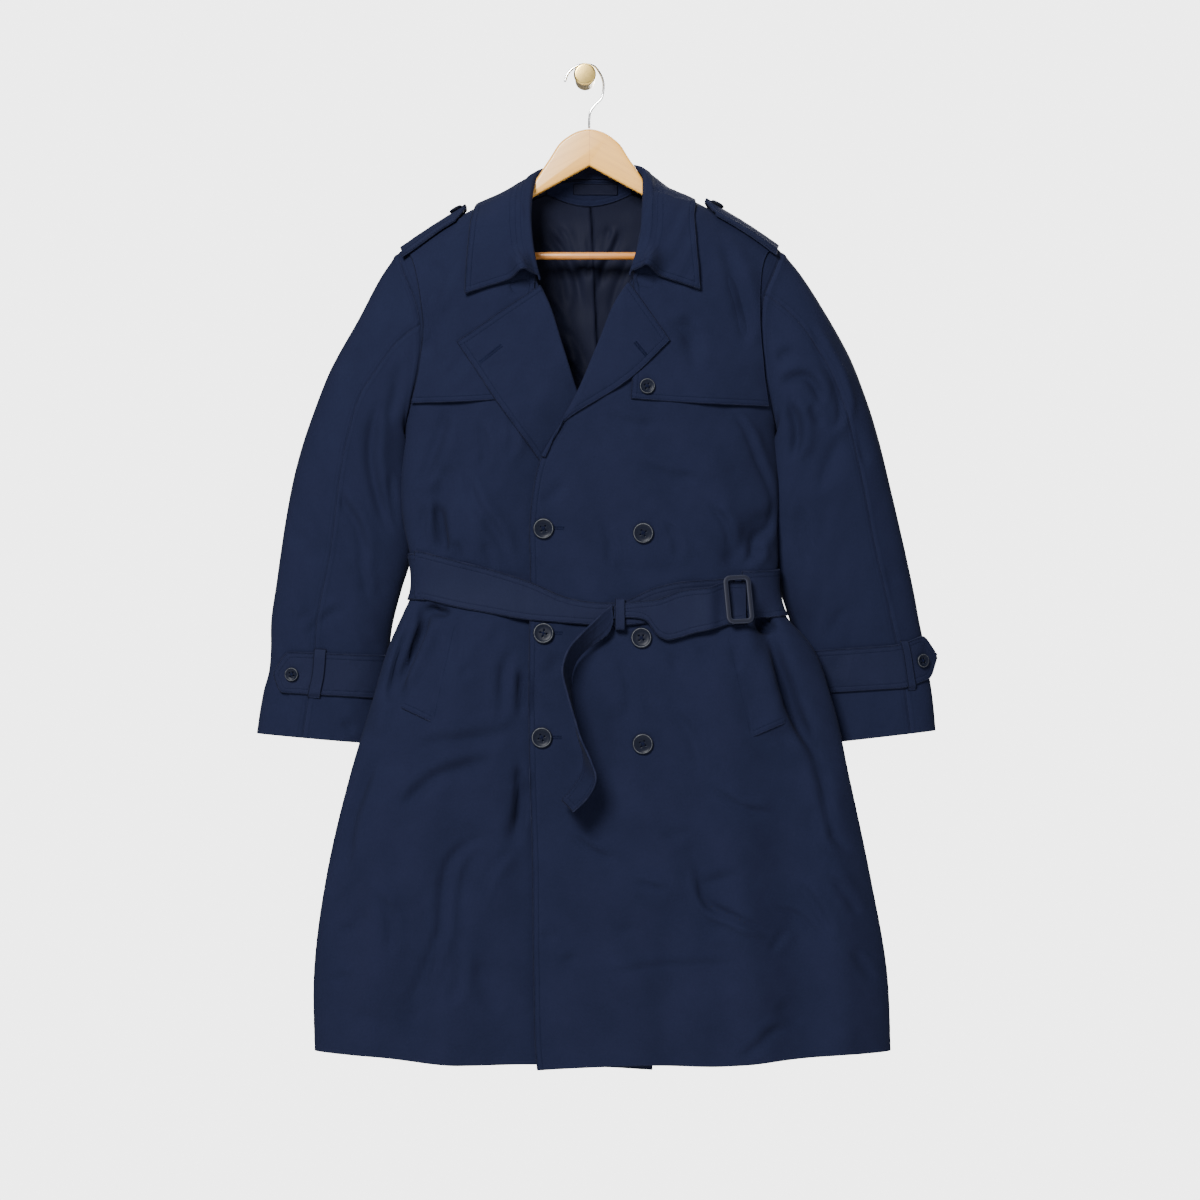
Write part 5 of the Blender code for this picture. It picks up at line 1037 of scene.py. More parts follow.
def settled(sheet: Sheet, tree: BVHTree, gap: float = REST, rounds: int = 5) -> Sheet:
    """Raise a sheet softly until its inner face clears what it lies on.

    Args:
        sheet: the sheet to raise.
        tree: what it lies on.
        gap: the least gap under it.
        rounds: how often it is looked over.

    Returns:
        The sheet.
    """
    for number in range(rounds):
        inner = sheet.points - sheet.normals() * sheet.thickness
        push = np.zeros_like(inner)
        for place in np.ndindex(inner.shape[:2]):
            push[place] = missing(inner[place], tree, gap)
        if number < rounds - 1:
            soft = blurred(blurred(push))
            longer = np.linalg.norm(soft, axis=-1, keepdims=True) > np.linalg.norm(push, axis=-1, keepdims=True)
            push = np.where(longer, soft, 0.5 * (push + soft))
        sheet.points = sheet.points + push
        if not push.any():
            break
    return sheet


@dataclass
class Panels:
    """The two fronts and the two halves of the back.

    The upper rows are heights at a panel's inner edge down to the underarm, each a step further round
    the armhole, and the lower rows are heights at both edges below it. The hem sags beside the sides.
    """

    step: float = 3.9
    back_step: float = 5.2
    armhole_step: float = 20.0
    upper_rows: Numbers = (-134.0, -140.0, -156.0, -184.0, -220.0, -262.0, -305.0, -350.0, -393.0, -430.0)
    lower_rows: Line = (
        (-495.0, -489.0), (-576.0, -570.0), (-650.0, -646.0), (-732.0, -728.0), (-820.0, -815.0), (-928.0, -918.0),
        (-1045.0, -1030.0), (-1196.0, -1178.0),
    )
    hem_sag: float = 6.0
    hem_height: float = 120.0

    def grid(self, inner: Callable[[Array], Array], armhole: Line, side: str, depth: Depth) -> Array:
        """Dense rows of points from an inner edge out to the shoulder, armhole and side seam.

        Args:
            inner: x of the inner edge at each height.
            armhole: the armhole's seam.
            side: ``left`` or ``right``.
            depth: the face the panel lies on.

        Returns:
            The grid.
        """
        upper = len(self.upper_rows)
        at = np.concatenate([np.linspace(0.0, upper - 1.0, 110), np.linspace(upper - 1.0, upper + 7.0, 230)[1:]])
        number = np.arange(upper + len(self.lower_rows))
        inner_low, outer_low = zip(*self.lower_rows)
        round_armhole = armhole_z(armhole, np.radians(np.minimum(at, upper - 1.0) * self.armhole_step))
        inner_z = follow(at, number, [*self.upper_rows, *inner_low])
        below = follow(at, number[upper - 1 :], [FORM.underarm_z, *outer_low])
        outer_z = np.where(at <= upper - 1, round_armhole, below)
        start = np.broadcast_to(inner(inner_z), inner_z.shape)[:, None]
        end = np.where(at <= upper - 1, x_at(armhole, outer_z), FORM.body_at(outer_z, side))[:, None]
        spread = self.spread(start, end, (inner_z + outer_z)[:, None] / 2, 150)
        x = start + (end - start) * spread
        z = inner_z[:, None] + (outer_z - inner_z)[:, None] * spread
        fade = np.clip(1 - at / (upper - 1), 0.0, 1.0)[:, None] ** 1.5
        chord = inner_z[0] + (outer_z[0] - inner_z[0]) * spread[0]
        z = z + (FORM.neck(x[0]) - chord) * fade
        low = ease((self.hem_height - (z - z.min())) / self.hem_height)
        z = z - self.hem_sag * low * bell((np.abs(x - CENTRE_X) - 165.0) / 70.0)
        return xyz(x, depth(x, z), z)

    def spread(self, start: Array, end: Array, z: Array, columns: int) -> Array:
        """Shares of the way across, closer together where the body rounds away.

        Args:
            start: x of the inner edge.
            end: x of the outer edge.
            z: the rows' heights.
            columns: how many shares.

        Returns:
            The shares, rows by columns.
        """
        ends = [np.clip(FORM.between(x, z), -1.0, 1.0) for x in (start, end)]
        first, last = (np.arcsin(squared(share, FORM.side_power / 2)) for share in ends)
        even = np.linspace(0.0, 1.0, columns)[None, :]
        across = squared(np.sin(first + (last - first) * even), 2 / FORM.side_power)
        rounded = (across - across[:, :1]) / (across[:, -1:] - across[:, :1])
        return (even + rounded) / 2

    def panel(self, name: str, grid: Array, lines: Sequence[Crease], seed: int) -> Sheet:
        """A panel with its creases, its unevenness and its sewn edges.

        Args:
            name: its name.
            grid: its dense grid.
            lines: its creases.
            seed: chooses the puckers of its edges.

        Returns:
            The panel.
        """
        back = "back" in name
        edges = EdgeSet(SEAM, PLAIN, SEAM if back else STITCHED, SEAM)
        sheet = Sheet(name, grid, edges=edges, step=self.back_step if back else self.step, seed=seed).even()
        held = ease((sheet.across[:, -1:] - sheet.across) / 14.0)
        if back:
            held = held * ease(sheet.across / 12.0)
        return sheet.raised(FORM.relief(sheet.x, sheet.z, lines, BACK_SEED if back else FRONT_SEED) * held).sewn()

    def sheets(self) -> list[Sheet]:
        """The lapping front, the one under it, and the halves of the back, which meet in its middle."""
        over = self.grid(lambda z: x_at(OVER_EDGE, z), ARMHOLE_RIGHT, "right", FORM.front)
        under = self.grid(lambda z: x_at(UNDER_EDGE, z), ARMHOLE_LEFT, "left", FORM.under)
        made = [self.panel("front_over", over, FRONT_CREASES, 3), self.panel("front_under", under, FRONT_CREASES, 4)]
        for word, armhole, seed in (("left", ARMHOLE_LEFT, 5), ("right", ARMHOLE_RIGHT, 6)):
            half = self.grid(lambda z: np.full_like(z, CENTRE_X), armhole, word, FORM.back)
            made.append(self.panel(f"back_{word}", half, BACK_CREASES, seed))
        return made


def armhole_z(armhole: Line, angles: Array) -> Array:
    """Heights of an armhole's seam at angles from the shoulder point down and up again."""
    tip_z = armhole[0][1]
    return tip_z + (FORM.underarm_z - tip_z) * (1 - np.cos(angles)) / 2


@dataclass
class Sleeve:
    """A sleeve of two pieces, with a strap and its loop at the cuff.

    It hangs from the armhole's seam, its seam in front is at an angle, and its strap's free point, its
    loop's width and the loop's reach over the strap are set in millimetres and degrees.
    """

    hand: Hand
    rings_of: Sequence[SleeveRow]
    armhole: Line
    seam: float
    strap: Strap
    lines: Sequence[Crease]
    seed: int
    step: float = 4.1
    power: float = 0.85
    strap_point: float = 17.0
    loop_angle: float = 9.0
    cuff_row: float = 24.0
    loop_over: float = 4.0

    def rings(self, degrees: Array, places: Array) -> tuple[Array, Array]:
        """Rings of the sleeve at places in rows of its table, and the middle of each ring.

        Args:
            degrees: angles round the sleeve.
            places: fractional rows of the table.

        Returns:
            The points, rings by angles by three, and the rings' middles.
        """
        angles = np.radians(degrees)
        row = SleeveRow(*(column[:, None] for column in smooth_table(places, self.rings_of)))
        middle = np.stack([(row.out_x + row.in_x) / 2, row.y, (row.out_z + row.in_z) / 2], axis=-1)
        cosine, sine = squared(np.cos(angles), self.power), squared(np.sin(angles), self.power)
        x = middle[..., 0] + (row.out_x - row.in_x) / 2 * cosine
        z = middle[..., 2] + (row.out_z - row.in_z) / 2 * cosine
        points = xyz(x, row.y - row.depth * sine, z)
        first = self.rings_of[0]
        start = np.array([(first.out_x + first.in_x) / 2, 0.0, (first.out_z + first.in_z) / 2])
        seam_z = armhole_z(self.armhole, angles)
        seam = FORM.round_at(x_at(self.armhole, seam_z), seam_z, np.sin(angles))
        moved = seam + (middle - start) * np.array([1.0, 0.0, 1.0])
        share = np.clip(row.armhole, 0.0, 1.0)[..., None]
        points = points * (1 - share) + moved * share
        tuck = 8.0 * bell((places[:, None] - 2.6) / 1.7) * np.clip(-np.cos(angles), 0.0, 1.0) ** 2
        points[..., 0] -= self.hand.value * tuck
        return points, middle

    def relief(self, sheet: Sheet) -> Array:
        """Creases in front, similar ones behind, and the cloth's unevenness."""
        x, z, facing = sheet.x, sheet.z, -sheet.normals()[..., 1]
        before = CREASED * crease_rise(x, z, self.lines) * np.clip(facing * 1.7, 0.0, 1.0)
        behind = crease_rise(x - 7.0 * self.hand.value, z + 27.0, self.lines) * np.clip(-facing * 1.7, 0.0, 1.0)
        turn = np.where(facing >= 0, x, x + 331.0)
        rough = rumple(turn, z, self.seed, 80.0, 0.55) + rumple(turn, z, self.seed + 1, 28.0, 0.16)
        return before + 1.2 * behind + rough * np.abs(facing)

    def pieces(self) -> tuple[Sheet, Sheet]:
        """The upper and the under sleeve."""
        made = []
        last = len(self.rings_of) - 1.0
        for word, start, seed in (("upper", self.seam - 180.0, 7), ("under", self.seam, 8)):
            grid, middle = self.rings(start + np.linspace(0.0, 180.0, 100), np.linspace(0.0, last, 170))
            edges = EdgeSet(SEAM, PLAIN, SEAM, SEAM)
            name = f"sleeve_{word}_{self.hand.word}"
            sheet = Sheet(name, grid, middle[:-1], edges=edges, step=self.step, seed=seed).even()
            sheet.inside = self.rings(np.zeros(1), np.linspace(0.0, last, len(sheet.points) - 1))[1]
            across, down = sheet.across, sheet.down
            held = ease(down / 22.0) * ease(across / 10.0) * ease((across[:, -1:] - across) / 10.0)
            head = bell((down - 6.0) / 3.4)
            made.append(sheet.raised(self.relief(sheet) * (0.35 + 0.65 * held) * ease(down / 9.0) + head).sewn())
        return made[0], made[1]

    def band(self, tree: BVHTree) -> Sheet:
        """The cuff strap, which runs round the sleeve to a free point."""
        strap = self.strap
        degrees = np.linspace(strap.shoulder, strap.end, 120)
        band = np.swapaxes(self.rings(degrees, np.linspace(strap.top, strap.bottom, 16))[0], 0, 1)
        centre = band[0].mean(axis=0)
        away = unit(band[0].mean(axis=0) - band[8].mean(axis=0))
        tip = [
            centre + away * self.strap_point * out + (band[0] - centre) * wide
            for out, wide in ((1.0, 0.1), (0.94, 0.2), (0.72, 0.47), (0.45, 0.8), (0.22, 0.97))
        ]
        inside = self.rings(np.zeros(1), np.array([(strap.top + strap.bottom) / 2]))[1][0, 0]
        whole = np.concatenate([tip, band])
        whole[..., 2] += strap.tip_rise * ease(1.0 - arcs(whole, 0)[:, 8] / 55.0)[:, None]
        edges = EdgeSet(STITCHED, PLAIN, STITCHED, STITCHED)
        sheet = Sheet(f"cuff_strap_{self.hand.word}", whole, inside, DOUBLED, edges, 3.4, seed=9)
        return settled(sheet.raised(CLOTH + REST).even(), tree).sewn()

    def loop(self, tree: BVHTree) -> Sheet:
        """The narrow loop that the strap runs through."""
        reach = self.loop_over / self.cuff_row
        start, end = self.strap.top - reach, self.strap.bottom + reach
        down = np.linspace(start, end, 24)
        grid, middle = self.rings(self.strap.loop + np.linspace(-0.5, 0.5, 9) * self.loop_angle, down)
        over = DOUBLED + 2 * REST + TRIM
        share = ease((down - start) / (1.6 * reach)) * ease((end - down) / (1.6 * reach))
        sheet = Sheet(f"cuff_loop_{self.hand.word}", grid, middle[:-1], TRIM, EdgeSet(), 1.6, seed=10)
        sheet.raised((TRIM + 0.1 + (over - TRIM) * share)[:, None])
        sheet.inside = tuple(middle[len(middle) // 2, 0])
        return settled(sheet.even(), tree, 0.15)


def between_lines(inner: Line, outer: Line, down: Array, across: Array) -> tuple[Array, Array]:
    """The x and z of a grid between two (x, z) lines.

    Args:
        inner: the line of its first column.
        outer: the line of its last column.
        down: shares of the way along them.
        across: shares of the way between them.

    Returns:
        Its x and its z.
    """
    start, end = rail(inner, down[:, 0])[:, None], rail(outer, down[:, 0])[:, None]
    flat = start + (end - start) * across[..., None]
    return flat[..., 0], flat[..., 1]


@dataclass
class StormFlap:
    """A storm flap from the shoulder over the chest, its lower edge standing off, most at its middle."""

    hand: Hand
    inner: Line
    outer: Line
    top_drop: float = 7.0
    stand_off: float = 3.0
    middle: float = 150.0

    def sheet(self, depth: Depth) -> Sheet:
        """The flap over a front."""
        down, across = shares(140, 90)
        x, z = between_lines(self.inner, self.outer, down, across)
        z = z + (FORM.ridge(x) - self.top_drop - z) * (1 - down) ** 2
        z = z - 1.6 * np.sin(math.pi * across) * down**3
        off = self.stand_off * ease((down - 0.6) / 0.4) * ease((np.abs(x) - 105.0) / 40.0)
        wave = 1.4 * ease((down - 0.72) / 0.28) * np.sin((np.abs(x) - self.middle) / 15.0 + 0.8)
        folds = CREASED * crease_rise(x, z, FLAP_CREASES)
        points = FORM.lay(x, z, REST + CLOTH + off + np.maximum(wave, -0.4) + folds, depth)
        edges = EdgeSet(PLAIN, STITCHED, STITCHED, PLAIN)
        return Sheet(f"storm_flap_{self.hand.word}", points, edges=edges, step=4.0, seed=12).even().sewn()


@dataclass
class Lapel:
    """A lapel turned back from its roll line onto the front, at a height over it that follows x."""

    hand: Hand
    roll: Line
    edge: Line
    rise: Callable[[Array], Array]

    def sheet(self, depth: Depth) -> Sheet:
        """The lapel, with a round fold about the front's edge."""
        down, across = shares(150, 90)
        x, z = between_lines(self.roll, self.edge, down, across)
        lift = 1.3 * np.sin(math.pi * np.clip(across * 1.1, 0, 1)) * np.sin(math.pi * down) ** 0.7
        points = FORM.lay(x, z, self.rise(x) + lift, depth)
        base = FORM.lay(x[:, 0], z[:, 0], np.zeros(len(x)), depth)
        height = np.linalg.norm(points[:, 0] - base, axis=1, keepdims=True)
        normal = (points[:, 0] - base) / height
        way = np.cross(np.gradient(base, axis=0), normal)
        way = unit(way * np.sign((way * (base - points[:, 12])).sum(axis=1, keepdims=True)))
        radius = (height + CLOTH + 0.5) / 2
        fold = [
            base + normal * (height - radius) + normal * radius * math.sin(turn) + way * radius * math.cos(turn)
            for turn in np.radians(np.linspace(-80.0, 84.0, 15))
        ]
        whole = np.concatenate([np.stack(fold, axis=1), points], axis=1)
        whole = regrid(whole, (np.arange(0.0, 12.0, 0.8), EDGE_STEPS, 3.2), (EDGE_STEPS, (0.0, 1.5), 3.4))
        edges = EdgeSet(STITCHED, PLAIN, PLAIN, STITCHED)
        sheet = Sheet(f"lapel_{self.hand.word}", whole, edges=edges, thickness=TRIM, seed=14)
        rough = rumple(sheet.x, sheet.z, 71, 46.0, 0.35) * ease((sheet.across - 8.0) / 10.0)
        return sheet.sewn(ease((sheet.across - 9.0) / 5.0), rough)


def left_lapel_rise(x: Array) -> Array:
    """Height of the left lapel over the under front: above the flap at its outer part."""
    return 2 * CLOTH + 2 * REST + 1.2 - (CLOTH + REST) * ease((x + 57.0) / 24.0)


def right_lapel_rise(x: Array) -> Array:
    """Height of the right lapel over the lapping front."""
    return CLOTH + REST + 0.6 + (CLOTH + REST + 0.4) * ease((x - 22.0) / 26.0)


def bent(start: Array, middle: Array, end: Array, share: Array) -> Array:
    """Points along curves that leave start towards middle and arrive at end from it.

    Args:
        start: first points.
        middle: points that draw the curves towards them.
        end: last points.
        share: shares of the way.

    Returns:
        The points, one row per curve.
    """
    start, middle, end, share = start[:, None], middle[:, None], end[:, None], share[None, :, None]
    return start * (1 - share) ** 2 + 2 * middle * share * (1 - share) + end * share**2


@dataclass
class Collar:
    """The collar's leaf, which bulges above its chord by its crown, and its stand."""

    stations: Sequence[Numbers]
    crown: float = 5.0
    stand_drop: float = 2.0
    stand_in: float = 3.4
    stand_foot: float = 0.9
    neck_heights: Numbers = (-44.0, -34.0, -24.0, -15.0, -8.0, -3.0, -1.0)

    def inward(self, places: Array) -> Array:
        """Level directions from places towards the middle of the neck."""
        return unit((np.array(NECK_MIDDLE) - places) * np.array([1.0, 1.0, 0.0]))

    def leaf(self, tree: BVHTree) -> Sheet:
        """The leaf, which rolls over the stand's top and falls to its edge."""
        places = smooth_table(np.linspace(0.0, len(self.stations) - 1.0, 240), self.stations)
        roll, edge = np.stack(places[:3], axis=-1), np.stack(places[3:], axis=-1)
        crest = roll + (edge - roll) * 0.3
        crest[:, 2] += self.crown
        crest = crest + (edge - roll) * np.array([0.0, 1.0, 0.0]) * 0.25
        fall = bent(roll, crest, edge, np.linspace(0.0, 1.0, 60))
        hidden = roll + self.inward(roll) * 5.6 + np.array([0.0, 0.0, -6.0])
        under = bent(hidden, roll - unit(fall[:, 1] - fall[:, 0]) * 4.2, roll, np.linspace(0.0, 1.0, 14)[:-1])
        points = regrid(
            np.concatenate([under, fall], axis=1),
            (np.arange(0.0, 18.0, 1.4), EDGE_STEPS, 3.2),
            (EDGE_STEPS, EDGE_STEPS, 3.4),
        )
        edges = EdgeSet(STITCHED, STITCHED, PLAIN, STITCHED)
        sheet = Sheet("collar_leaf", points, (CENTRE_X, -50.0, -330.0), DOUBLED, edges, 3.4, seed=16)
        held = ease((sheet.across - 9.0) / 8.0)[..., None]
        settled(sheet, tree, 0.6, 6)
        sheet.points = points + (sheet.points - points) * held
        end = np.minimum(sheet.down, sheet.down[-1:] - sheet.down)
        lift = ease(1.0 - end / 44.0) * bell((sheet.across - 26.0) / 11.0)
        sheet.points = sheet.points + lift[..., None] * np.array([0.0, -20.0, 8.5])
        across = sheet.across
        rise = rumple(across, sheet.down, 81, 60.0, 0.5) * ease((across - 12.0) / 18.0)
        rise = rise + 0.5 * bell((across - 17.0) / 3.0) - 0.5 * bell((across - 24.0) / 4.0)
        return sheet.sewn(ease((across - 10.0) / 5.0), rise)

    def neck_line(self) -> Array:
        """Points along the neck seam, from the left front round the back to the right front."""
        x = np.linspace(UNDER_EDGE[0][0] + 1.0, OVER_EDGE[0][0] - 1.0, 13)
        behind = xyz(x, FORM.back(x, FORM.neck(x)), FORM.neck(x))
        fronts = []
        for edge, heights in ((UNDER_EDGE, self.neck_heights), (OVER_EDGE, self.neck_heights[::-1])):
            z = np.array(heights) + edge[0][1]
            fronts.append(xyz(x_at(edge, z), FORM.front(x_at(edge, z), z), z))
        return np.concatenate([fronts[0], behind, fronts[1]])

    def stand(self) -> Sheet:
        """The stand, from the neck seam up to just inside the roll line."""
        share = np.linspace(0.0, 1.0, 180)
        top = rail([row[:3] for row in self.stations[3:-3]], share)
        top = top + self.inward(top) * self.stand_in
        top[:, 2] -= self.stand_drop
        foot = rail(self.neck_line(), share)
        foot = foot + unit(top - foot) * self.stand_foot
        points = foot[:, None] + (top - foot)[:, None] * np.linspace(0.0, 1.0, 20)[None, :, None]
        sheet = Sheet("collar_stand", points, NECK_MIDDLE, TRIM, EdgeSet(first=STITCHED), 2.8, seed=17)
        return sheet.even().sewn()


@dataclass
class NeckInside:
    """The neck facing, its bare label and the back's lining with its middle pleat."""

    facing_half: float = 52.0
    facing_foot: float = -154.3
    label_x: float = 12.7
    label_wide: float = 54.8
    label_top: float = -127.0
    label_tall: float = 13.0
    label_thick: float = 0.8
    lining_half: float = 86.0
    lining_foot: float = -470.0
    pleat_x: float = 6.0
    pleat_deep: float = 5.0
    pleat_run: float = 14.0
    deep: float = CLOTH + REST + TRIM

    def on_back(self, x: Array, z: Array, under: Array | float) -> Array:
        """Points inside the back at a distance from its outer face."""
        points = xyz(x, FORM.back(x, z), z)
        return points + normals_of(points, BEHIND) * np.broadcast_to(under, points.shape[:2])[..., None]

    def foot_at(self, x: Array, share: Array) -> Array:
        """Height of the facing's lower edge at shares of its half width."""
        return self.facing_foot + (FORM.neck(x) - 0.6 - self.facing_foot) * 0.55 * share**2

    def facing(self) -> Sheet:
        """The facing of coat cloth round the neck, above the lining."""
        down, across = shares(36, 90, -1.0)
        x = CENTRE_X + self.facing_half * across + 0.0 * down
        top = FORM.neck(x) - 0.6
        z = top + (self.foot_at(x, across) - top) * down
        points, edges = self.on_back(x, z, self.deep + 1.0), EdgeSet(PLAIN, STITCHED, PLAIN, PLAIN)
        return Sheet("neck_facing", points, BEHIND, TRIM, edges, 2.6, seed=18).even().sewn()

    def label(self) -> Sheet:
        """A plain woven label without any wording."""
        down, across = shares(16, 60, -1.0)
        x = self.label_x + self.label_wide / 2 * across + 0.0 * down
        points = self.on_back(x, self.label_top - self.label_tall * down, self.deep + 1.5 + self.label_thick)
        sheet = Sheet("neck_label", points, BEHIND, self.label_thick, EdgeSet(), 1.6, seed=19).even()
        return sheet.raised(rumple(sheet.x, sheet.z, 5, 18.0, 0.15))

    def lining(self) -> Sheet:
        """The satin lining of the back, with a pleat down its middle and soft wrinkles."""
        down, across = shares(170, 110, -1.0)
        x = CENTRE_X + self.lining_half * across + 0.0 * down
        share = (x - CENTRE_X) / self.facing_half
        foot = self.foot_at(x, np.clip(share, -1.0, 1.0))
        top = foot - 1.0 - 14.0 * np.clip(np.abs(share) - 1.0, 0.0, 1.0)
        z = top + (self.lining_foot - top) * down
        fold = self.pleat_x + self.pleat_run * down - x
        pleat = self.pleat_deep * bell(np.maximum(fold, 0.0) / 13.0) * ease((fold + 1.4) / 1.4) * ease(3.0 - 3.4 * down)
        wrinkle = 1.5 * crease_rise(x, z, LINING_CREASES) + rumple(x, z, 91, 46.0, 0.5)
        under = self.deep + 0.6 + pleat + 5.0 * ease(down * 4.0) + wrinkle * ease(down * 9.0)
        return Sheet("back_lining", self.on_back(x, z, under), BEHIND, TRIM, EdgeSet(), 2.6, seed=20).even()


@dataclass
class Welt:
    """A slanted pocket welt whose front edge is given."""

    hand: Hand
    edge: Line
    wide: float = 40.0
    rise: float = 8.0
    slant: float = 10.0
    drop: float = 9.0

    def sheet(self) -> Sheet:
        """The welt on its front."""
        down, share = shares(80, 40)
        line = rail(self.edge, down[:, 0])[:, None]
        x = line[..., 0] + self.hand.value * self.wide * share
        z = line[..., 1] + (self.rise + self.slant * down) * share - self.drop * down**3
        flush = ease(share * 5.0) * ease((1.0 - share) * 5.0 + 0.2) * ease(down * 5.0)
        points = FORM.lay(x, z, -0.5 + (0.9 + 1.3 * down**8) * flush, FORM.front)
        edges = EdgeSet(PLAIN, STITCHED, PLAIN, PLAIN)
        return Sheet(f"pocket_welt_{self.hand.word}", points, edges=edges, step=3.0, seed=22).even().sewn()


@dataclass
class Belt:
    """The belt, which runs round the coat, through its buckle and back through a keeper.

    It has a stretch over the left front and the lap, an end that comes back out of the buckle, and a
    loose end that hangs from the keeper.
    """

    front: Sequence[Numbers]
    folded: Sequence[Numbers]
    tail: Sequence[Numbers]
    fixed_end: float = 187.5
    left_turn: float = -187.0
    side_z: float = -610.0
    left_top: float = -581.0
    right_top: float = -602.0
    back_sag: float = 3.0
    wide: float = 54.0

    def stretch(self, name: str, table: Sequence[Numbers], tree: BVHTree) -> Sheet:
        """A stretch of belt on the front, from its table."""
        at = np.linspace(0.0, len(table) - 1.0, 150)
        x, top, foot, rise = (column[:, None] for column in smooth_table(at, table))
        z = top + (foot - top) * np.linspace(0.0, 1.0, 30)[None, :]
        points = xyz(x, FORM.front(x + 0.0 * z, z) - rise, z)
        edges = EdgeSet(PLAIN, PLAIN, STITCHED, STITCHED)
        return settled(Sheet(name, points, thickness=DOUBLED, edges=edges, step=3.4, seed=24).even(), tree).sewn()

    def side_turn(self, x: float) -> float:
        """The turn round the body, from the middle of the front, at which its side lies at x."""
        share = float(FORM.between(x, self.side_z))
        return math.asin(math.copysign(abs(share) ** (FORM.side_power / 2), share))

    def round_back(self, tree: BVHTree) -> Sheet:
        """The stretch from the left front round the back to the buckle."""
        start, end = self.side_turn(self.left_turn), self.side_turn(self.fixed_end)
        turns = np.linspace(start, end - 2 * math.pi, 300)[:, None]
        share = (start - turns) / (start - end + 2 * math.pi)
        top = self.left_top + (self.right_top - self.left_top) * ease(share) + self.back_sag * np.sin(math.pi * share)
        z = top - self.wide * np.linspace(0.0, 1.0, 26)[None, :]
        left, right = FORM.body_at(z, "left"), FORM.body_at(z, "right")
        x = (left + right) / 2 + (right - left) / 2 * squared(np.sin(turns), 2 / FORM.side_power)
        points = FORM.round_at(x, z, np.cos(turns))
        points = points + (points - np.array([CENTRE_X, -60.0, -610.0])) * 0.006
        edges = EdgeSet(PLAIN, PLAIN, STITCHED, STITCHED)
        sheet = Sheet("belt_round", points, thickness=DOUBLED, edges=edges, step=4.4, seed=25).even()
        return settled(sheet, tree).sewn()

    def loose_end(self) -> Sheet:
        """The loose end, which falls from the keeper."""
        at = np.linspace(0.0, 1.0, 150)
        front, back = (rail([row[part] for row in self.tail], at) for part in (slice(3), slice(3, 6)))
        tail = front[:, None] + (back - front)[:, None] * np.linspace(0.0, 1.0, 30)[None, :, None]
        x, z = tail[..., 0], tail[..., 1]
        edges = EdgeSet(PLAIN, STITCHED, STITCHED, STITCHED)
        points = xyz(x, FORM.front(x, z) - tail[..., 2], z)
        return Sheet("belt_tail", points, (300.0, -100.0, -640.0), DOUBLED, edges, 3.2, seed=26).even().sewn()

    def sheets(self, tree: BVHTree) -> list[Sheet]:
        """All of the belt's stretches."""
        left, folded = self.stretch("belt_left", self.front, tree), self.stretch("belt_folded", self.folded, tree)
        return [left, self.round_back(tree), folded, self.loose_end()]


@dataclass
class Keeper:
    """A narrow loop of cloth round both layers of the belt."""

    x: float = 42.0
    wide: float = 11.0
    top: float = -633.8
    bottom: float = -671.5
    near: float = 1.4
    out: float = 12.0

    def sheet(self) -> Sheet:
        """The loop, whose columns close into a ring."""
        turns = np.radians(np.linspace(0.0, 360.0, 97))[None, :]
        side = np.linspace(-0.5, 0.5, 9)[:, None]
        tall, deep = (self.top - self.bottom) / 2, (self.out - self.near) / 2
        z = self.bottom + tall + tall * squared(np.sin(turns), 0.45) + 0.0 * side
        rise = self.near + deep + deep * squared(np.cos(turns), 0.45)
        base = FORM.front(np.full_like(z, self.x), z)
        middle = (self.x, float(base.mean()) - self.near - deep, self.bottom + tall)
        points = xyz(self.x + self.wide * side, base - rise, z)
        made = Sheet("belt_keeper", points, middle, TRIM, EdgeSet(), 1.6, closed=True, seed=27)
        edge = np.abs(2 * side) + 0.0 * turns
        return made.raised(0.5 * bell((edge - 0.75) / 0.22) - 0.3 * (edge > 0.99))


@dataclass
class Epaulette:
    """A strip along the shoulder line, raised most at its pointed inner end."""

    hand: Hand
    ends: tuple[float, float]
    half: float = 22.0
    in_rise: float = 9.5
    out_rise: float = 5.6
    arch: float = 9.0

    def sheet(self, tree: BVHTree) -> Sheet:
        """The strip over the shoulder."""
        along, across = shares(70, 50, -1.0)
        narrow = np.clip(0.12 + along * 5.5, 0.0, 1.0)
        x = self.ends[0] + (self.ends[1] - self.ends[0]) * along + 0.0 * across
        z = FORM.ridge(x) - self.arch * np.abs(across * narrow) ** 2.2
        points = xyz(x, MIDDLE_Y + self.half * narrow * across, z)
        crest = self.in_rise + (self.out_rise - self.in_rise) * along
        rise = CLOTH + 2 * REST + DOUBLED + (crest - self.out_rise) * (1 - np.abs(across) ** 3)
        for place in np.ndindex(rise.shape):
            points[place] += missing(points[place], tree, float(rise[place]))
        edges = EdgeSet(STITCHED, PLAIN, STITCHED, STITCHED)
        inside = (self.hand.value * 180.0, MIDDLE_Y, -400.0)
        sheet = Sheet(f"epaulette_{self.hand.word}", points, inside, DOUBLED, edges, 2.8, seed=28)
        return settled(sheet.even(), tree).sewn()


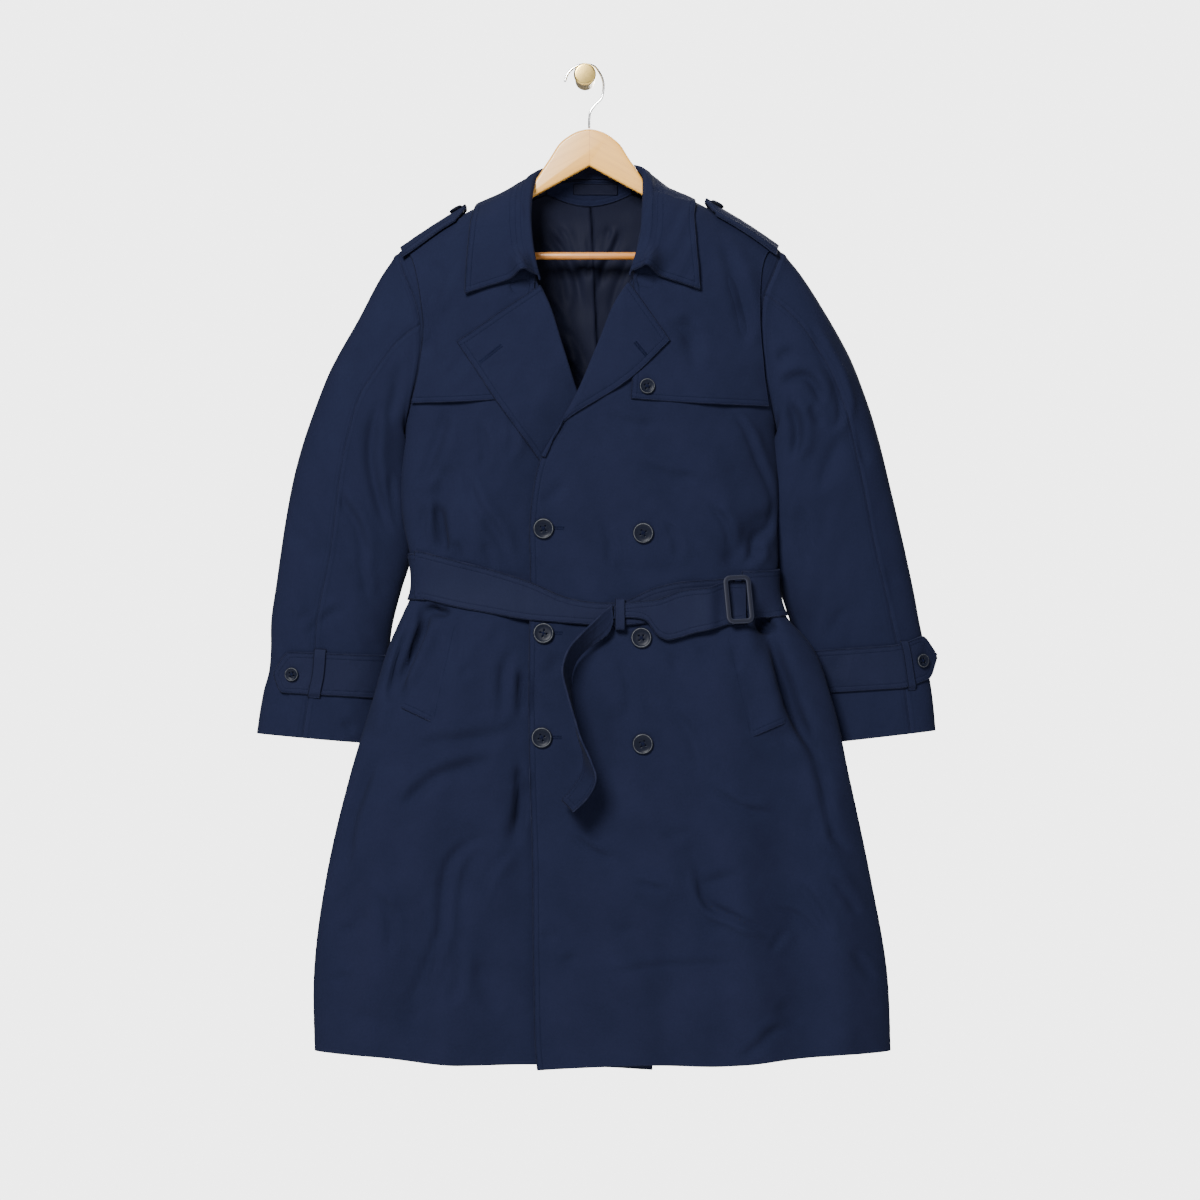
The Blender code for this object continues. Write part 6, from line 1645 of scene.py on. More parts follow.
@dataclass
class Solid:
    """A mesh of hard material, gathered from loops of points in millimetres.

    Its chart holds a UV place for each point, if its finish needs one.
    """

    name: str
    points: list[list[float]] = field(default_factory=list)
    faces: list[list[int]] = field(default_factory=list)
    slots: list[int] = field(default_factory=list)
    chart: list[tuple[float, float]] = field(default_factory=list)

    def levels(self, loops: Sequence[Array], ring: bool = False, slot: int = 0) -> "Solid":
        """Join closed loops of as many points each.

        Args:
            loops: the loops.
            ring: whether the last is joined to the first, or else both ends are closed.
            slot: the number of the material.

        Returns:
            The solid.
        """
        start, count = len(self.points), len(loops[0])
        i = np.arange(count)
        k = np.roll(i, -1)
        for loop in loops:
            self.points += np.asarray(loop, float).tolist()
        for level in range(len(loops) - (not ring)):
            low, high = (start + number % len(loops) * count for number in (level, level + 1))
            self.faces += np.stack([low + i, high + i, high + k, low + k], axis=1).tolist()
        if not ring:
            self.faces += [(start + i).tolist(), (start + (len(loops) - 1) * count + i[::-1]).tolist()]
        self.slots += [slot] * (len(self.faces) - len(self.slots))
        return self

    def made(self, *finishes: Material) -> Item:
        """Make it, with its faces turned outwards."""
        chart = np.array(self.chart + [(0.0, 0.0)] * (len(self.points) - len(self.chart))) if self.chart else None
        mesh = smooth_mesh(self.name, np.array(self.points), self.faces, self.slots, chart, "place")
        mesh.calc_loop_triangles()
        corners = ([mesh.vertices[index].co for index in face.vertices] for face in mesh.loop_triangles)
        if sum(a.dot(b.cross(c)) for a, b, c in corners) < 0:
            mesh.flip_normals()
        return shown(self.name, mesh, finishes)


def frame_at(normal: Array) -> tuple[Array, Array, Array]:
    """The axes of a flat piece on a surface: across, up and out."""
    out = unit(np.asarray(normal, float))
    across = np.cross(np.array([0.0, 0.0, 1.0]), out)
    across = np.array([1.0, 0.0, 0.0]) if np.linalg.norm(across) < 0.2 else unit(across)
    across = across if across[0] > 0 or abs(across[0]) < 0.2 else -across
    return across, np.cross(out, across), out


# Rings of a button's face, and its side and back as rings with their heights, as shares of its size
FACE_RINGS = (
    0.045, 0.08, 0.115, 0.15, 0.185, 0.22, 0.26, 0.3, 0.36, 0.44, 0.52, 0.6, 0.67, 0.73, 0.78, 0.82, 0.86, 0.9, 0.935,
    0.965, 0.985, 0.998,
)
BACK_RINGS = ((1.0, 0.42), (0.985, 0.24), (0.93, 0.08), (0.84, 0.0), (0.3, 0.0))


@dataclass
class Button:
    """A four-hole button with a raised rim, turned a little, and sewn on with crossed thread."""

    name: str
    place: Array
    normal: Array
    diameter: float
    turn: float = 0.0
    thick: float = 4.0
    gap: float = 0.35

    @property
    def apart(self) -> float:
        """Distance of the holes from the middle, along both axes."""
        return 0.14 * self.diameter / 2 + 0.75

    def face(self, radius: Array, angle: Array) -> Array:
        """Height of the face: a round rim about a dish, with four holes through its middle."""
        share = radius / (self.diameter / 2)
        rim = bell((share - 0.87) / 0.085)
        dish = 0.62 * ease((share - 0.50) / 0.30) - 0.55 * ease((share - 0.94) / 0.06) ** 1.4
        x, y = np.abs(radius * np.cos(angle)), np.abs(radius * np.sin(angle))
        hole = 1.0 - ease((np.hypot(x - self.apart, y - self.apart) - 0.7) / 0.45)
        return self.thick * 0.56 + 0.7 * dish + rim * 0.75 - 2.3 * hole

    def made(self, finish: Material, thread: Material) -> Item:
        """Make the button with its thread."""
        across, up, out = frame_at(self.normal)
        full = self.diameter / 2
        turn = math.radians(self.turn)
        turns = circle(5.625) + turn
        profile = [(full * share, self.face(np.full(len(turns), full * share), turns - turn)) for share in FACE_RINGS]
        profile += [(full * share, np.full(len(turns), height * self.thick)) for share, height in BACK_RINGS]
        solid = Solid(self.name)
        loops = []
        for radius, height in profile:
            flat = np.outer(radius * np.cos(turns), across) + np.outer(radius * np.sin(turns), up)
            loops.append(self.place + flat + np.outer(height + self.gap, out))
            solid.chart += [(radius / full, float(rise) / self.thick) for rise in height]
        solid.levels(loops)
        one = across * math.cos(turn) + up * math.sin(turn)
        two = -across * math.sin(turn) + up * math.cos(turn)
        for way, over in ((one + two, 0.12), (one - two, -0.12)):
            for shift in (-0.34, 0.34):
                solid.levels(self.thread(way, unit(np.cross(out, way)), out, over, shift), slot=1)
        return solid.made(finish, thread)

    def thread(self, way: Array, width: Array, out: Array, over: float, shift: float) -> list[Array]:
        """The loops of a thread from one hole to another.

        Args:
            way: from the middle towards a hole.
            width: the direction beside it.
            out: the direction away from the cloth.
            over: how much higher it lies in the middle.
            shift: how far it lies beside the holes' middles.

        Returns:
            The loops.
        """
        loops = []
        for share in np.linspace(-1.0, 1.0, 9):
            height = self.thick * 0.56 + self.gap + (0.62 + over) * (1 - share**4) - 0.55 * share**4
            middle = self.place + way * self.apart * share + width * shift + out * height
            loops.append(middle + 0.3 * (np.outer(np.cos(circle(60.0)), width) - np.outer(np.sin(circle(60.0)), out)))
        return loops


def rounded_box(wide: float, tall: float, corner: float, steps: int) -> Array:
    """Points round a rectangle with round corners.

    Args:
        wide: its width.
        tall: its height.
        corner: its corners' radius.
        steps: steps round each corner.

    Returns:
        The (x, y) points.
    """
    points = []
    for quarter, (sx, sy) in enumerate(((1, 1), (-1, 1), (-1, -1), (1, -1))):
        turns = (quarter + np.arange(steps + 1) / steps) * math.pi / 2
        x, y = sx * (wide / 2 - corner) + corner * np.cos(turns), sy * (tall / 2 - corner) + corner * np.sin(turns)
        points.append(np.stack([x, y], axis=-1))
    return np.concatenate(points)


def inset(outline: Array, distance: float) -> Array:
    """A closed outline drawn in, or let out where the distance is below 0."""
    after = np.roll(outline, -1, axis=0)
    area = (outline[:, 0] * after[:, 1] - outline[:, 1] * after[:, 0]).sum()
    ways = (outline - np.roll(outline, 1, axis=0), after - outline)
    middle = sum(unit(np.stack([-way[:, 1], way[:, 0]], axis=-1) * np.sign(area)) for way in ways)
    return outline + middle * distance * 2 / np.maximum((middle**2).sum(axis=1, keepdims=True), 1.2)


def rounded_off(outline: Array, rounds: int) -> Array:
    """A closed outline with its corners cut again and again."""
    for _ in range(rounds):
        after = np.roll(outline, -1, axis=0)
        outline = np.stack([outline * 0.75 + after * 0.25, outline * 0.25 + after * 0.75], axis=1).reshape(-1, 2)
    return outline


@dataclass
class Buckle:
    """The buckle's frame, lying over the belt and leaning with it."""

    x: float = 182.0
    z: float = -638.0
    wide: float = 34.0
    tall: float = 60.0
    corner: float = 9.0
    bar: float = 6.2
    thick: float = 3.8
    tilt: float = 3.0
    rise: float = 7.4

    def made(self, finish: Material) -> Item:
        """Make the frame."""
        x, z = np.meshgrid(
            self.x + np.linspace(-0.5, 0.5, 7) * self.wide, self.z + np.linspace(-0.5, 0.5, 9) * self.tall
        )
        y = FORM.front(x, z).ravel()
        columns = np.stack([np.ones(y.size), x.ravel() - self.x, z.ravel() - self.z], axis=-1)
        plane = np.linalg.lstsq(columns, y, rcond=None)[0]
        out = unit(np.array([plane[1], -1.0, plane[2]]))
        forward = float((columns @ plane - y).max()) * -out[1]
        right = unit(np.array([1.0, plane[1], 0.0]))
        tilt = math.radians(self.tilt)
        across = right * math.cos(tilt) + np.cross(out, right) * math.sin(tilt)
        up = np.cross(out, across)
        place = np.array([self.x, float(plane[0]), self.z]) + out * (forward + self.rise + self.thick / 2)
        outer = rounded_box(self.wide, self.tall, self.corner, 8)
        solid, loops = Solid("belt_buckle"), []
        for turn in circle(18.0):
            wide, high = squared(math.cos(turn), 0.7), squared(math.sin(turn), 0.7)
            line = inset(outer, self.bar / 2 * (1 - wide))
            loops.append(place + np.outer(line[:, 0], across) + np.outer(line[:, 1], up) + out * high * self.thick / 2)
            solid.chart += [((wide + 1) / 2, (high + 1) / 2)] * len(line)
        return solid.levels(loops, ring=True).made(finish)


@dataclass
class Hanger:
    """The wooden hanger with its trouser bar and its wire hook.

    Its left half has an upper outline from the middle out and a lower one from the end in, and the
    hook's wire runs from its tip to the wood.
    """

    top: Line
    foot: Line
    hook: Line
    middle: float = 5.4
    arm_x: Numbers = (-90.0, -112.0, -135.0, -165.0, -190.0, -206.0)
    under: float = 6.6
    thick: float = 12.0
    rounding: float = 3.4
    bar_z: float = -218.8
    bar: float = 9.4
    wire: float = 3.0

    def wood(self, finish: Material) -> Item:
        """The two arms, in one piece with rounded edges."""
        arm = [(x, float(FORM.ridge(np.array(x))) - self.under) for x in self.arm_x]
        half = [*self.top, *arm, *self.foot]
        outline = np.array([*half, *[(2 * self.middle - x, z) for x, z in half[1:-1]][::-1]], float)
        notch = len(half) - 1
        outline = np.insert(outline, [notch, notch + 1], outline[notch] + [[-0.8, -0.5], [0.8, -0.5]], axis=0)
        outline = rounded_off(outline, 3)
        sides = []
        for turn in np.radians([0.0, 22.5, 45.0, 67.5, 90.0]):
            line = inset(outline, self.rounding * (1 - math.sin(turn)))
            sides.append((line, self.thick / 2 - self.rounding * (1 - math.cos(turn))))
        sides += [(line, -height) for line, height in sides[::-1]]
        loops = [xyz(line[:, 0], MIDDLE_Y - height, line[:, 1]) for line, height in sides]
        return Solid("hanger_wood").levels(loops).made(finish)

    def trouser_bar(self, finish: Material) -> Item:
        """The round bar between the two arms."""
        end, turns, loops = self.foot[3][0] + 0.4, circle(15.0), []
        for share, size in ((0.0, 0.9), (0.003, 1.0), (0.5, 1.0), (0.997, 1.0), (1.0, 0.9)):
            radius = self.bar / 2 * size
            x = end + 2 * (self.middle - end) * share
            loops.append(xyz(x, MIDDLE_Y + np.cos(turns) * radius, self.bar_z + np.sin(turns) * radius))
        return Solid("hanger_bar").levels(loops).made(finish)

    def wire_hook(self, finish: Material) -> Item:
        """The bent wire, its tip rounded."""
        route = rail(self.hook, np.linspace(0.0, 1.0, 120))
        run = unit(np.gradient(route, axis=0))
        side = np.stack([-run[:, 1], run[:, 0]], axis=-1)
        rounded = ((-1.4, 0.25), (-1.15, 0.62), (-0.65, 0.9))
        tips = [(route[0] + run[0] * along, side[0], size) for along, size in rounded]
        turns, loops = circle(22.5), []
        for spot, way, size in [*tips, *((spot, way, 1.0) for spot, way in zip(route, side))]:
            radius = self.wire / 2 * size
            x, z = (spot[axis] + way[axis] * radius * np.cos(turns) for axis in (0, 1))
            loops.append(xyz(x, MIDDLE_Y + radius * np.sin(turns), z))
        return Solid("hanger_hook").levels(loops).made(finish)


@dataclass
class Peg:
    """The round wall peg, whose flat face is on the wall."""

    shank: float = 24.0
    head: float = 27.0
    reach: float = 59.0
    head_thick: float = 9.0
    rounding: float = 2.6

    def made(self, finish: Material) -> Item:
        """Turn the peg about its axis."""
        full, neck, back = self.head / 2, self.shank / 2, self.reach - self.head_thick
        soft, turns = self.rounding, circle(6.0)
        profile = [(full * 0.04, self.reach)]
        for turn in np.radians(range(0, 91, 15)):
            profile.append((full - soft + soft * math.sin(turn), self.reach - soft + soft * math.cos(turn)))
        profile += [(full, back + 1.2), (full - 0.4, back + 0.4), (full - 1.2, back), (neck + 0.6, back)]
        profile += [(neck, back - 0.6), (neck, 0.0)]
        loops = [xyz(radius * np.cos(turns), -away, radius * np.sin(turns)) for radius, away in profile]
        return Solid("wall_peg").levels(loops).made(finish)


class Nodes:
    """Short ways to add nodes to a tree and join them."""

    def __init__(self, tree: bpy.types.NodeTree) -> None:
        """Keep the tree."""
        self.tree = tree

    def put(self, socket: bpy.types.NodeSocket, value: object) -> None:
        """Set an input to a number or colour, or link it to a socket or a node's first output."""
        if isinstance(value, Node):
            value = value.outputs[0]
        if isinstance(value, bpy.types.NodeSocket):
            self.tree.links.new(value, socket)
        else:
            colour = isinstance(value, tuple) and socket.type == "RGBA"
            socket.default_value = (*value, 1.0) if colour else value

    def fill(self, node: Node, *inputs: object, **values: object) -> Node:
        """Set a node's inputs and properties.

        Args:
            node: the node.
            inputs: values of its first inputs in turn.
            values: properties by name, and inputs by name with spaces as underscores.

        Returns:
            The node.
        """
        for key, value in values.items():
            if hasattr(node, key):
                setattr(node, key, value)
            else:
                self.put(node.inputs[key.replace("_", " ")], value)
        for socket, value in zip(node.inputs, inputs):
            self.put(socket, value)
        return node

    def add(self, kind: str, *inputs: object, **values: object) -> Node:
        """Add a node, of a shader kind unless its name says otherwise, and fill it."""
        return self.fill(self.tree.nodes.new(kind if "Node" in kind else "ShaderNode" + kind), *inputs, **values)

    def math(self, how: str, one: object, two: object = 0.0, clamp: bool = False) -> Node:
        """A Math node on sockets, nodes or numbers."""
        return self.add("Math", one, two, operation=how, use_clamp=clamp)

    def bump_at(self, value: object, middle: float, wide: float) -> Node:
        """1 where a value is the middle one, falling to 0 at a distance."""
        away = self.math("ABSOLUTE", self.math("SUBTRACT", value, middle))
        return self.math("SUBTRACT", 1.0, self.math("DIVIDE", away, wide), clamp=True)

    def mix(self, share: object, one: object, two: object) -> bpy.types.NodeSocket:
        """A mix of two colours."""
        node = self.add("Mix", share, data_type="RGBA")
        self.put(node.inputs[6], one)
        self.put(node.inputs[7], two)
        return node.outputs[2]

    def chart(self, name: str) -> Node:
        """A chart's places, split into their two directions."""
        return self.add("SeparateXYZ", self.add("UVMap", uv_map=name))

    def noise(self, place: object, scale: float, detail: float, **values: float) -> Node:
        """A noise texture on places."""
        return self.add("TexNoise", Vector=place, Scale=scale, Detail=detail, **values)

    def object_place(self) -> bpy.types.NodeSocket:
        """Object coordinates."""
        return self.add("TexCoord").outputs["Object"]

    def bump(self, height: object, strength: float, distance: float) -> Node:
        """A bump from a height."""
        return self.add("Bump", Height=height, Strength=strength, Distance=distance)


def new_group(kind: str, name: str, given: Sequence[tuple], results: Sequence[tuple[str, str]]) -> tuple[Nodes, dict]:
    """A new node group.

    Args:
        kind: ``Shader`` or ``Geometry``.
        name: its name.
        given: name, type and default value of each input.
        results: name and type of each output.

    Returns:
        Its nodes, and its inputs by name.
    """
    group = bpy.data.node_groups.new(name, kind + "NodeTree")
    for word, socket, value in given:
        made = group.interface.new_socket(word, in_out="INPUT", socket_type="NodeSocket" + socket)
        if value is not None:
            made.default_value = value
    for word, socket in results:
        group.interface.new_socket(word, in_out="OUTPUT", socket_type="NodeSocket" + socket)
    nodes = Nodes(group)
    return nodes, nodes.add("NodeGroupInput").outputs


def twill_group() -> None:
    """Diagonal twill lines of yarn, as a height and a shade, from the cloth's own chart."""
    given = (("Pitch", "Float", 0.0011), ("Slub", "Float", 0.35))
    nodes, given = new_group("Shader", "twill", given, (("Height", "Float"), ("Shade", "Float")))
    chart = nodes.add("UVMap", uv_map="cloth")
    across, down, _ = nodes.add("SeparateXYZ", chart).outputs
    rough = nodes.math("SUBTRACT", nodes.noise(chart, 420.0, 3.0), 0.5)
    line = nodes.math("ADD", across, nodes.math("MULTIPLY", down, 1.25))
    phase = nodes.math("DIVIDE", nodes.math("MULTIPLY", line, 2 * math.pi), given["Pitch"])
    slub = nodes.math("MULTIPLY", nodes.math("MULTIPLY", rough, given["Slub"]), 6.0)
    yarn = nodes.math("MULTIPLY", nodes.math("ADD", nodes.math("SINE", nodes.math("ADD", phase, slub)), 1.0), 0.5)
    large = nodes.noise(chart, 16.0, 4.0, Roughness=0.6)
    shade = nodes.math("ADD", nodes.math("MULTIPLY", large, 0.5), nodes.math("MULTIPLY", rough, 0.5))
    shade = nodes.math("ADD", shade, nodes.math("MULTIPLY", yarn, 0.12))
    nodes.add("NodeGroupOutput", Height=yarn, Shade=shade)


def sewn_edge_group() -> None:
    """Masks beside a sewn edge: a patchy painted highlight along the edge, and painted shade in the stitched groove."""
    given = (("Line", "Float", STITCH_LINE),)
    nodes, given = new_group("Shader", "sewn_edge", given, (("Pale", "Float"), ("Dark", "Float")))
    value = nodes.add("Attribute", attribute_name="edge").outputs["Fac"]
    uneven = nodes.noise(nodes.add("UVMap", uv_map="cloth"), 90.0, 2.0)
    patchy = nodes.math("MULTIPLY", nodes.math("SUBTRACT", uneven, 0.42), 2.4, clamp=True)
    # Pale: a patchy painted highlight along the edge, where it would catch the light
    rubbed = nodes.math("MULTIPLY", nodes.bump_at(value, 0.0, 1.3), patchy)
    # Dark: painted shade in the groove of the stitch line
    groove = nodes.bump_at(nodes.math("SUBTRACT", value, given["Line"]), 0.0, 1.1)
    nodes.add("NodeGroupOutput", Pale=rubbed, Dark=groove)


@dataclass(frozen=True)
class Finish:
    """A material, which says what it sets on its Principled shader."""

    name: str

    def sockets(self, nodes: Nodes) -> dict[str, object]:
        """The shader's sockets by name, with numbers, colours or nodes added to the material."""
        raise NotImplementedError

    def made(self) -> Material:
        """Make the material."""
        finish = bpy.data.materials.new(self.name)
        finish.use_nodes = True
        nodes = Nodes(finish.node_tree)
        nodes.fill(finish.node_tree.nodes["Principled BSDF"], **self.sockets(nodes))
        return finish


@dataclass(frozen=True)
class Gabardine(Finish):
    """Navy cotton gabardine: fine diagonal twill with a slight sheen, a painted highlight along its sewn edges and
    painted shade in its stitched grooves.
    """

    deep: Colour = (0.0030, 0.0040, 0.0110)
    pale: Colour = (0.0066, 0.0081, 0.0208)
    # Colour of the painted highlight along sewn edges
    rubbed: Colour = (0.0125, 0.0140, 0.0280)
    roughness: float = 0.9
    sheen: float = 0.004

    def sockets(self, nodes: Nodes) -> dict[str, object]:
        """What the gabardine sets."""
        twill, edge = (nodes.add("Group", node_tree=bpy.data.node_groups[name]) for name in ("twill", "sewn_edge"))
        colour = nodes.mix(twill.outputs["Shade"], self.deep, self.pale)
        # A painted highlight along sewn edges, then painted shade in the stitched grooves
        colour = nodes.mix(nodes.math("MULTIPLY", edge.outputs["Pale"], 0.4), colour, self.rubbed)
        colour = nodes.mix(nodes.math("MULTIPLY", edge.outputs["Dark"], 0.5), colour, self.deep)
        return {
            "Base_Color": colour,
            "Roughness": self.roughness,
            "Sheen_Weight": self.sheen,
            "Sheen_Roughness": 0.45,
            "Specular_IOR_Level": 0.03,
            "Normal": nodes.bump(twill.outputs["Height"], 0.35, 0.00012),
        }


@dataclass(frozen=True)
class Satin(Finish):
    """Dark satin lining with a soft shine."""

    colour: Colour = (0.0036, 0.0041, 0.0090)
    streak: Colour = (0.0050, 0.0057, 0.0120)
    roughness: float = 0.6

    def sockets(self, nodes: Nodes) -> dict[str, object]:
        """What the satin sets."""
        long = nodes.add("Mapping", nodes.add("UVMap", uv_map="cloth"), Scale=(1.0, 0.08, 1.0))
        thread = nodes.noise(long, 900.0, 2.0)
        colour, bump = nodes.mix(thread, self.colour, self.streak), nodes.bump(thread, 0.15, 0.00005)
        return {"Base_Color": colour, "Roughness": self.roughness, "Specular_IOR_Level": 0.018, "Normal": bump}


@dataclass(frozen=True)
class ButtonPlastic(Finish):
    """Polished dark resin, with a patchy painted highlight on its rim and painted shade in its holes."""

    body: Colour = (0.0026, 0.0034, 0.0072)
    # Colour of the painted highlight on the rim's crest
    rim: Colour = (0.11, 0.115, 0.12)
    # Near-black painted shade in the holes
    hole: Colour = (0.0005, 0.0006, 0.001)
    roughness: float = 0.38

    def sockets(self, nodes: Nodes) -> dict[str, object]:
        """What the resin sets."""
        radius, height, _ = nodes.chart("place").outputs
        # A thin ring of painted highlight on the rim, broken into patches
        highlight_patches = nodes.noise(nodes.object_place(), 260.0, 4.0, Distortion=1.6)
        ring = nodes.math("MULTIPLY", nodes.bump_at(radius, 0.89, 0.04), 1.6, clamp=True)
        share = nodes.math("MULTIPLY", ring, nodes.math("POWER", highlight_patches, 1.6))
        # Painted shade in the low middle holes
        low = nodes.math("LESS_THAN", height, 0.38)
        hole = nodes.math("MULTIPLY", low, nodes.math("LESS_THAN", radius, 0.5))
        colour = nodes.mix(hole, nodes.mix(share, self.body, self.rim), self.hole)
        return {"Base_Color": colour, "Roughness": self.roughness, "Specular_IOR_Level": 0.06}


@dataclass(frozen=True)
class BuckleCovering(Finish):
    """The buckle's dark grained covering, with painted highlights along the frame's inner and outer edges."""

    body: Colour = (0.0026, 0.0033, 0.0080)
    # Colour of the painted highlights along the frame's edges
    edge: Colour = (0.014, 0.016, 0.028)
    roughness: float = 0.6

    def sockets(self, nodes: Nodes) -> dict[str, object]:
        """What the covering sets."""
        place = nodes.chart("place").outputs[0]
        # Painted highlights on the frame's outer and inner edges
        rims = nodes.math("ADD", nodes.bump_at(place, 0.86, 0.1), nodes.bump_at(place, 0.14, 0.1), clamp=True)
        colour = nodes.mix(nodes.math("MULTIPLY", rims, 0.8), self.body, self.edge)
        grain = nodes.add("TexVoronoi", Vector=nodes.object_place(), Scale=1300.0).outputs["Distance"]
        bump = nodes.bump(grain, 0.3, 0.00012)
        return {"Base_Color": colour, "Roughness": self.roughness, "Specular_IOR_Level": 0.1, "Normal": bump}


@dataclass(frozen=True)
class LacqueredWood(Finish):
    """Pale lacquered wood, its grain along both arms, which are glued together in the middle."""

    lean: float = 0.52
    middle: float = 0.0054
    pale: Colour = (0.49, 0.25, 0.040)
    dark: Colour = (0.28, 0.12, 0.016)
    roughness: float = 0.4

    def sockets(self, nodes: Nodes) -> dict[str, object]:
        """What the wood sets."""
        x, y, z = nodes.add("SeparateXYZ", nodes.object_place()).outputs
        aside = nodes.math("SUBTRACT", x, self.middle)
        away = nodes.math("ABSOLUTE", aside)
        arm = nodes.math("SUBTRACT", away, nodes.math("MULTIPLY", z, self.lean))
        over = nodes.math("ADD", z, nodes.math("MULTIPLY", away, self.lean))
        layer = nodes.math("ADD", nodes.math("MULTIPLY", over, 150.0), nodes.math("SIGN", aside))
        along, deep = nodes.math("MULTIPLY", arm, 8.0), nodes.math("MULTIPLY", y, 150.0)
        grain = nodes.noise(nodes.add("CombineXYZ", along, layer, deep), 1.3, 5.0, Distortion=0.5)
        joint = nodes.math("MULTIPLY", nodes.bump_at(away, 0.0, 0.0006), 0.7)
        lines = nodes.math("ADD", nodes.math("POWER", grain, 2.2), joint, clamp=True)
        return {
            "Base_Color": nodes.mix(lines, self.pale, self.dark),
            "Roughness": nodes.math("ADD", nodes.math("MULTIPLY", grain, 0.12), self.roughness - 0.06),
            "Coat_Weight": 0.12,
            "Coat_Roughness": 0.2,
        }


@dataclass(frozen=True)
class Metal(Finish):
    """A plain metal with faint scratches."""

    colour: Colour
    roughness: float
    scratch: float = 0.05

    def sockets(self, nodes: Nodes) -> dict[str, object]:
        """What the metal sets."""
        marks = nodes.noise(nodes.object_place(), 240.0, 3.0, Roughness=0.7)
        uneven = nodes.math("MULTIPLY", nodes.math("SUBTRACT", marks, 0.5), self.scratch)
        return {"Metallic": 1.0, "Base_Color": self.colour, "Roughness": nodes.math("ADD", uneven, self.roughness)}


@dataclass(frozen=True)
class Plain(Finish):
    """A single even colour, for thread and the floor."""

    colour: Colour
    roughness: float = 0.7

    def sockets(self, nodes: Nodes) -> dict[str, object]:
        """What the colour sets."""
        return {"Base_Color": self.colour, "Roughness": self.roughness, "Specular_IOR_Level": 0.02}


def stitch_group() -> bpy.types.NodeTree:
    """Geometry nodes that lay a row of stitches along every line they are given."""
    sizes = (("Pitch", 0.0034), ("Length", 0.0025), ("Thickness", 0.00032), ("Turned", 0.0), ("Uneven", 0.1))
    given = [("Lines", "Geometry", None), *((word, "Float", value) for word, value in sizes)]
    given += [("Seed", "Int", 4), ("Thread", "Material", None)]
    nodes, given = new_group("Geometry", "stitch_rows", given, (("Stitches", "Geometry"),))
    curve = nodes.add("GeometryNodeMeshToCurve", given["Lines"])
    even = nodes.add("GeometryNodeResampleCurve", mode="LENGTH", Curve=curve, Length=given["Pitch"])
    bead = nodes.add("GeometryNodeMeshUVSphere", Segments=4, Rings=3, Radius=1.0)
    half = nodes.math("MULTIPLY", given["Length"], 0.5)
    shape = nodes.add("CombineXYZ", given["Thickness"], given["Thickness"], half)
    tangent = nodes.add("GeometryNodeInputTangent")
    across = nodes.add("VectorRotate", rotation_type="Y_AXIS", Vector=tangent, Angle=given["Turned"])
    way = nodes.add("FunctionNodeAlignRotationToVector", axis="Z", Vector=across)
    chance = nodes.add("FunctionNodeRandomValue", data_type="FLOAT", Seed=given["Seed"])
    nodes.put(chance.inputs[2], nodes.math("SUBTRACT", 1.0, given["Uneven"]))
    nodes.put(chance.inputs[3], 1.0)
    size = nodes.add("VectorMath", shape, operation="SCALE", Scale=chance.outputs[1])
    laid = nodes.add("GeometryNodeInstanceOnPoints", Points=even, Instance=bead, Rotation=way, Scale=size)
    real = nodes.add("GeometryNodeRealizeInstances", laid)
    dyed = nodes.add("GeometryNodeSetMaterial", Geometry=real, Material=given["Thread"])
    nodes.add("NodeGroupOutput", dyed)
    return nodes.tree


@dataclass
class Stitching:
    """All rows of stitches of one kind, laid with geometry nodes and turned into one mesh.

    The pitch lies between two stitches, the thickness is the thread's radius, and each stitch is
    turned against its row by some degrees.
    """

    name: str
    pitch: float = 3.4
    length: float = 2.5
    thickness: float = 0.32
    turned: float = 0.0
    lines: list[Array] = field(default_factory=list)

    def edges_of(self, sheet: Sheet, keep: Callable[[Array], Array] | None = None) -> None:
        """Add two rows inside each stitched side of a sheet.

        Args:
            sheet: the sheet.
            keep: which points of a row are kept, all if left out.
        """
        for word, edge in zip(EdgeSet._fields, sheet.edges):
            for distance in (EDGE_LINE, STITCH_LINE) if edge is STITCHED else ():
                line = sheet.beside(word, distance, min(distance, 6.0))
                kept = keep(line) if keep else np.ones(len(line), bool)
                breaks = np.flatnonzero(np.diff(kept.astype(int))) + 1
                parts = zip(np.split(line, breaks), np.split(kept, breaks))
                self.lines += [part for part, use in parts if use.all() and (keep is None or len(part) > 3)]

    def made(self, group: bpy.types.NodeTree, thread: Material) -> Item:
        """Lay the stitches and turn them into a plain mesh.

        Args:
            group: the geometry nodes.
            thread: the material.

        Returns:
            The object.
        """
        edges, start = [], 0
        for line in self.lines:
            edges += [(start + i, start + i + 1) for i in range(len(line) - 1)]
            start += len(line)
        guide = bpy.data.meshes.new(self.name + "_guide")
        guide.from_pydata((np.concatenate(self.lines) * MM).tolist(), edges, [])
        holder = link(bpy.data.objects.new(self.name + "_guide", guide))
        laid = holder.modifiers.new("stitches", "NODES")
        laid.node_group = group
        values = {"Pitch": self.pitch * MM, "Length": self.length * MM, "Thickness": self.thickness * MM}
        values |= {"Turned": math.radians(self.turned), "Thread": thread}
        for socket in group.interface.items_tree:
            if socket.in_out == "INPUT" and socket.name in values:
                laid[socket.identifier] = values[socket.name]
        bpy.context.view_layer.update()
        mesh = bpy.data.meshes.new_from_object(holder.evaluated_get(bpy.context.evaluated_depsgraph_get()))
        mesh.name = self.name
        bpy.data.objects.remove(holder)
        mesh.shade_smooth()
        if not mesh.materials:
            mesh.materials.append(thread)
        LOG.info("%s: %d faces", self.name, len(mesh.polygons))
        return link(bpy.data.objects.new(self.name, mesh))


# Each light's name, place, size and power
LIGHTS = (
    ("key", (-1400.0, -3600.0, 1700.0), 1500.0, 770.0),
    ("fill", (2300.0, -2600.0, -300.0), 2400.0, 34.0),
    ("top", (300.0, 200.0, 1900.0), 1800.0, 60.0),
    ("rear", (900.0, 2600.0, 900.0), 2000.0, 240.0),
)


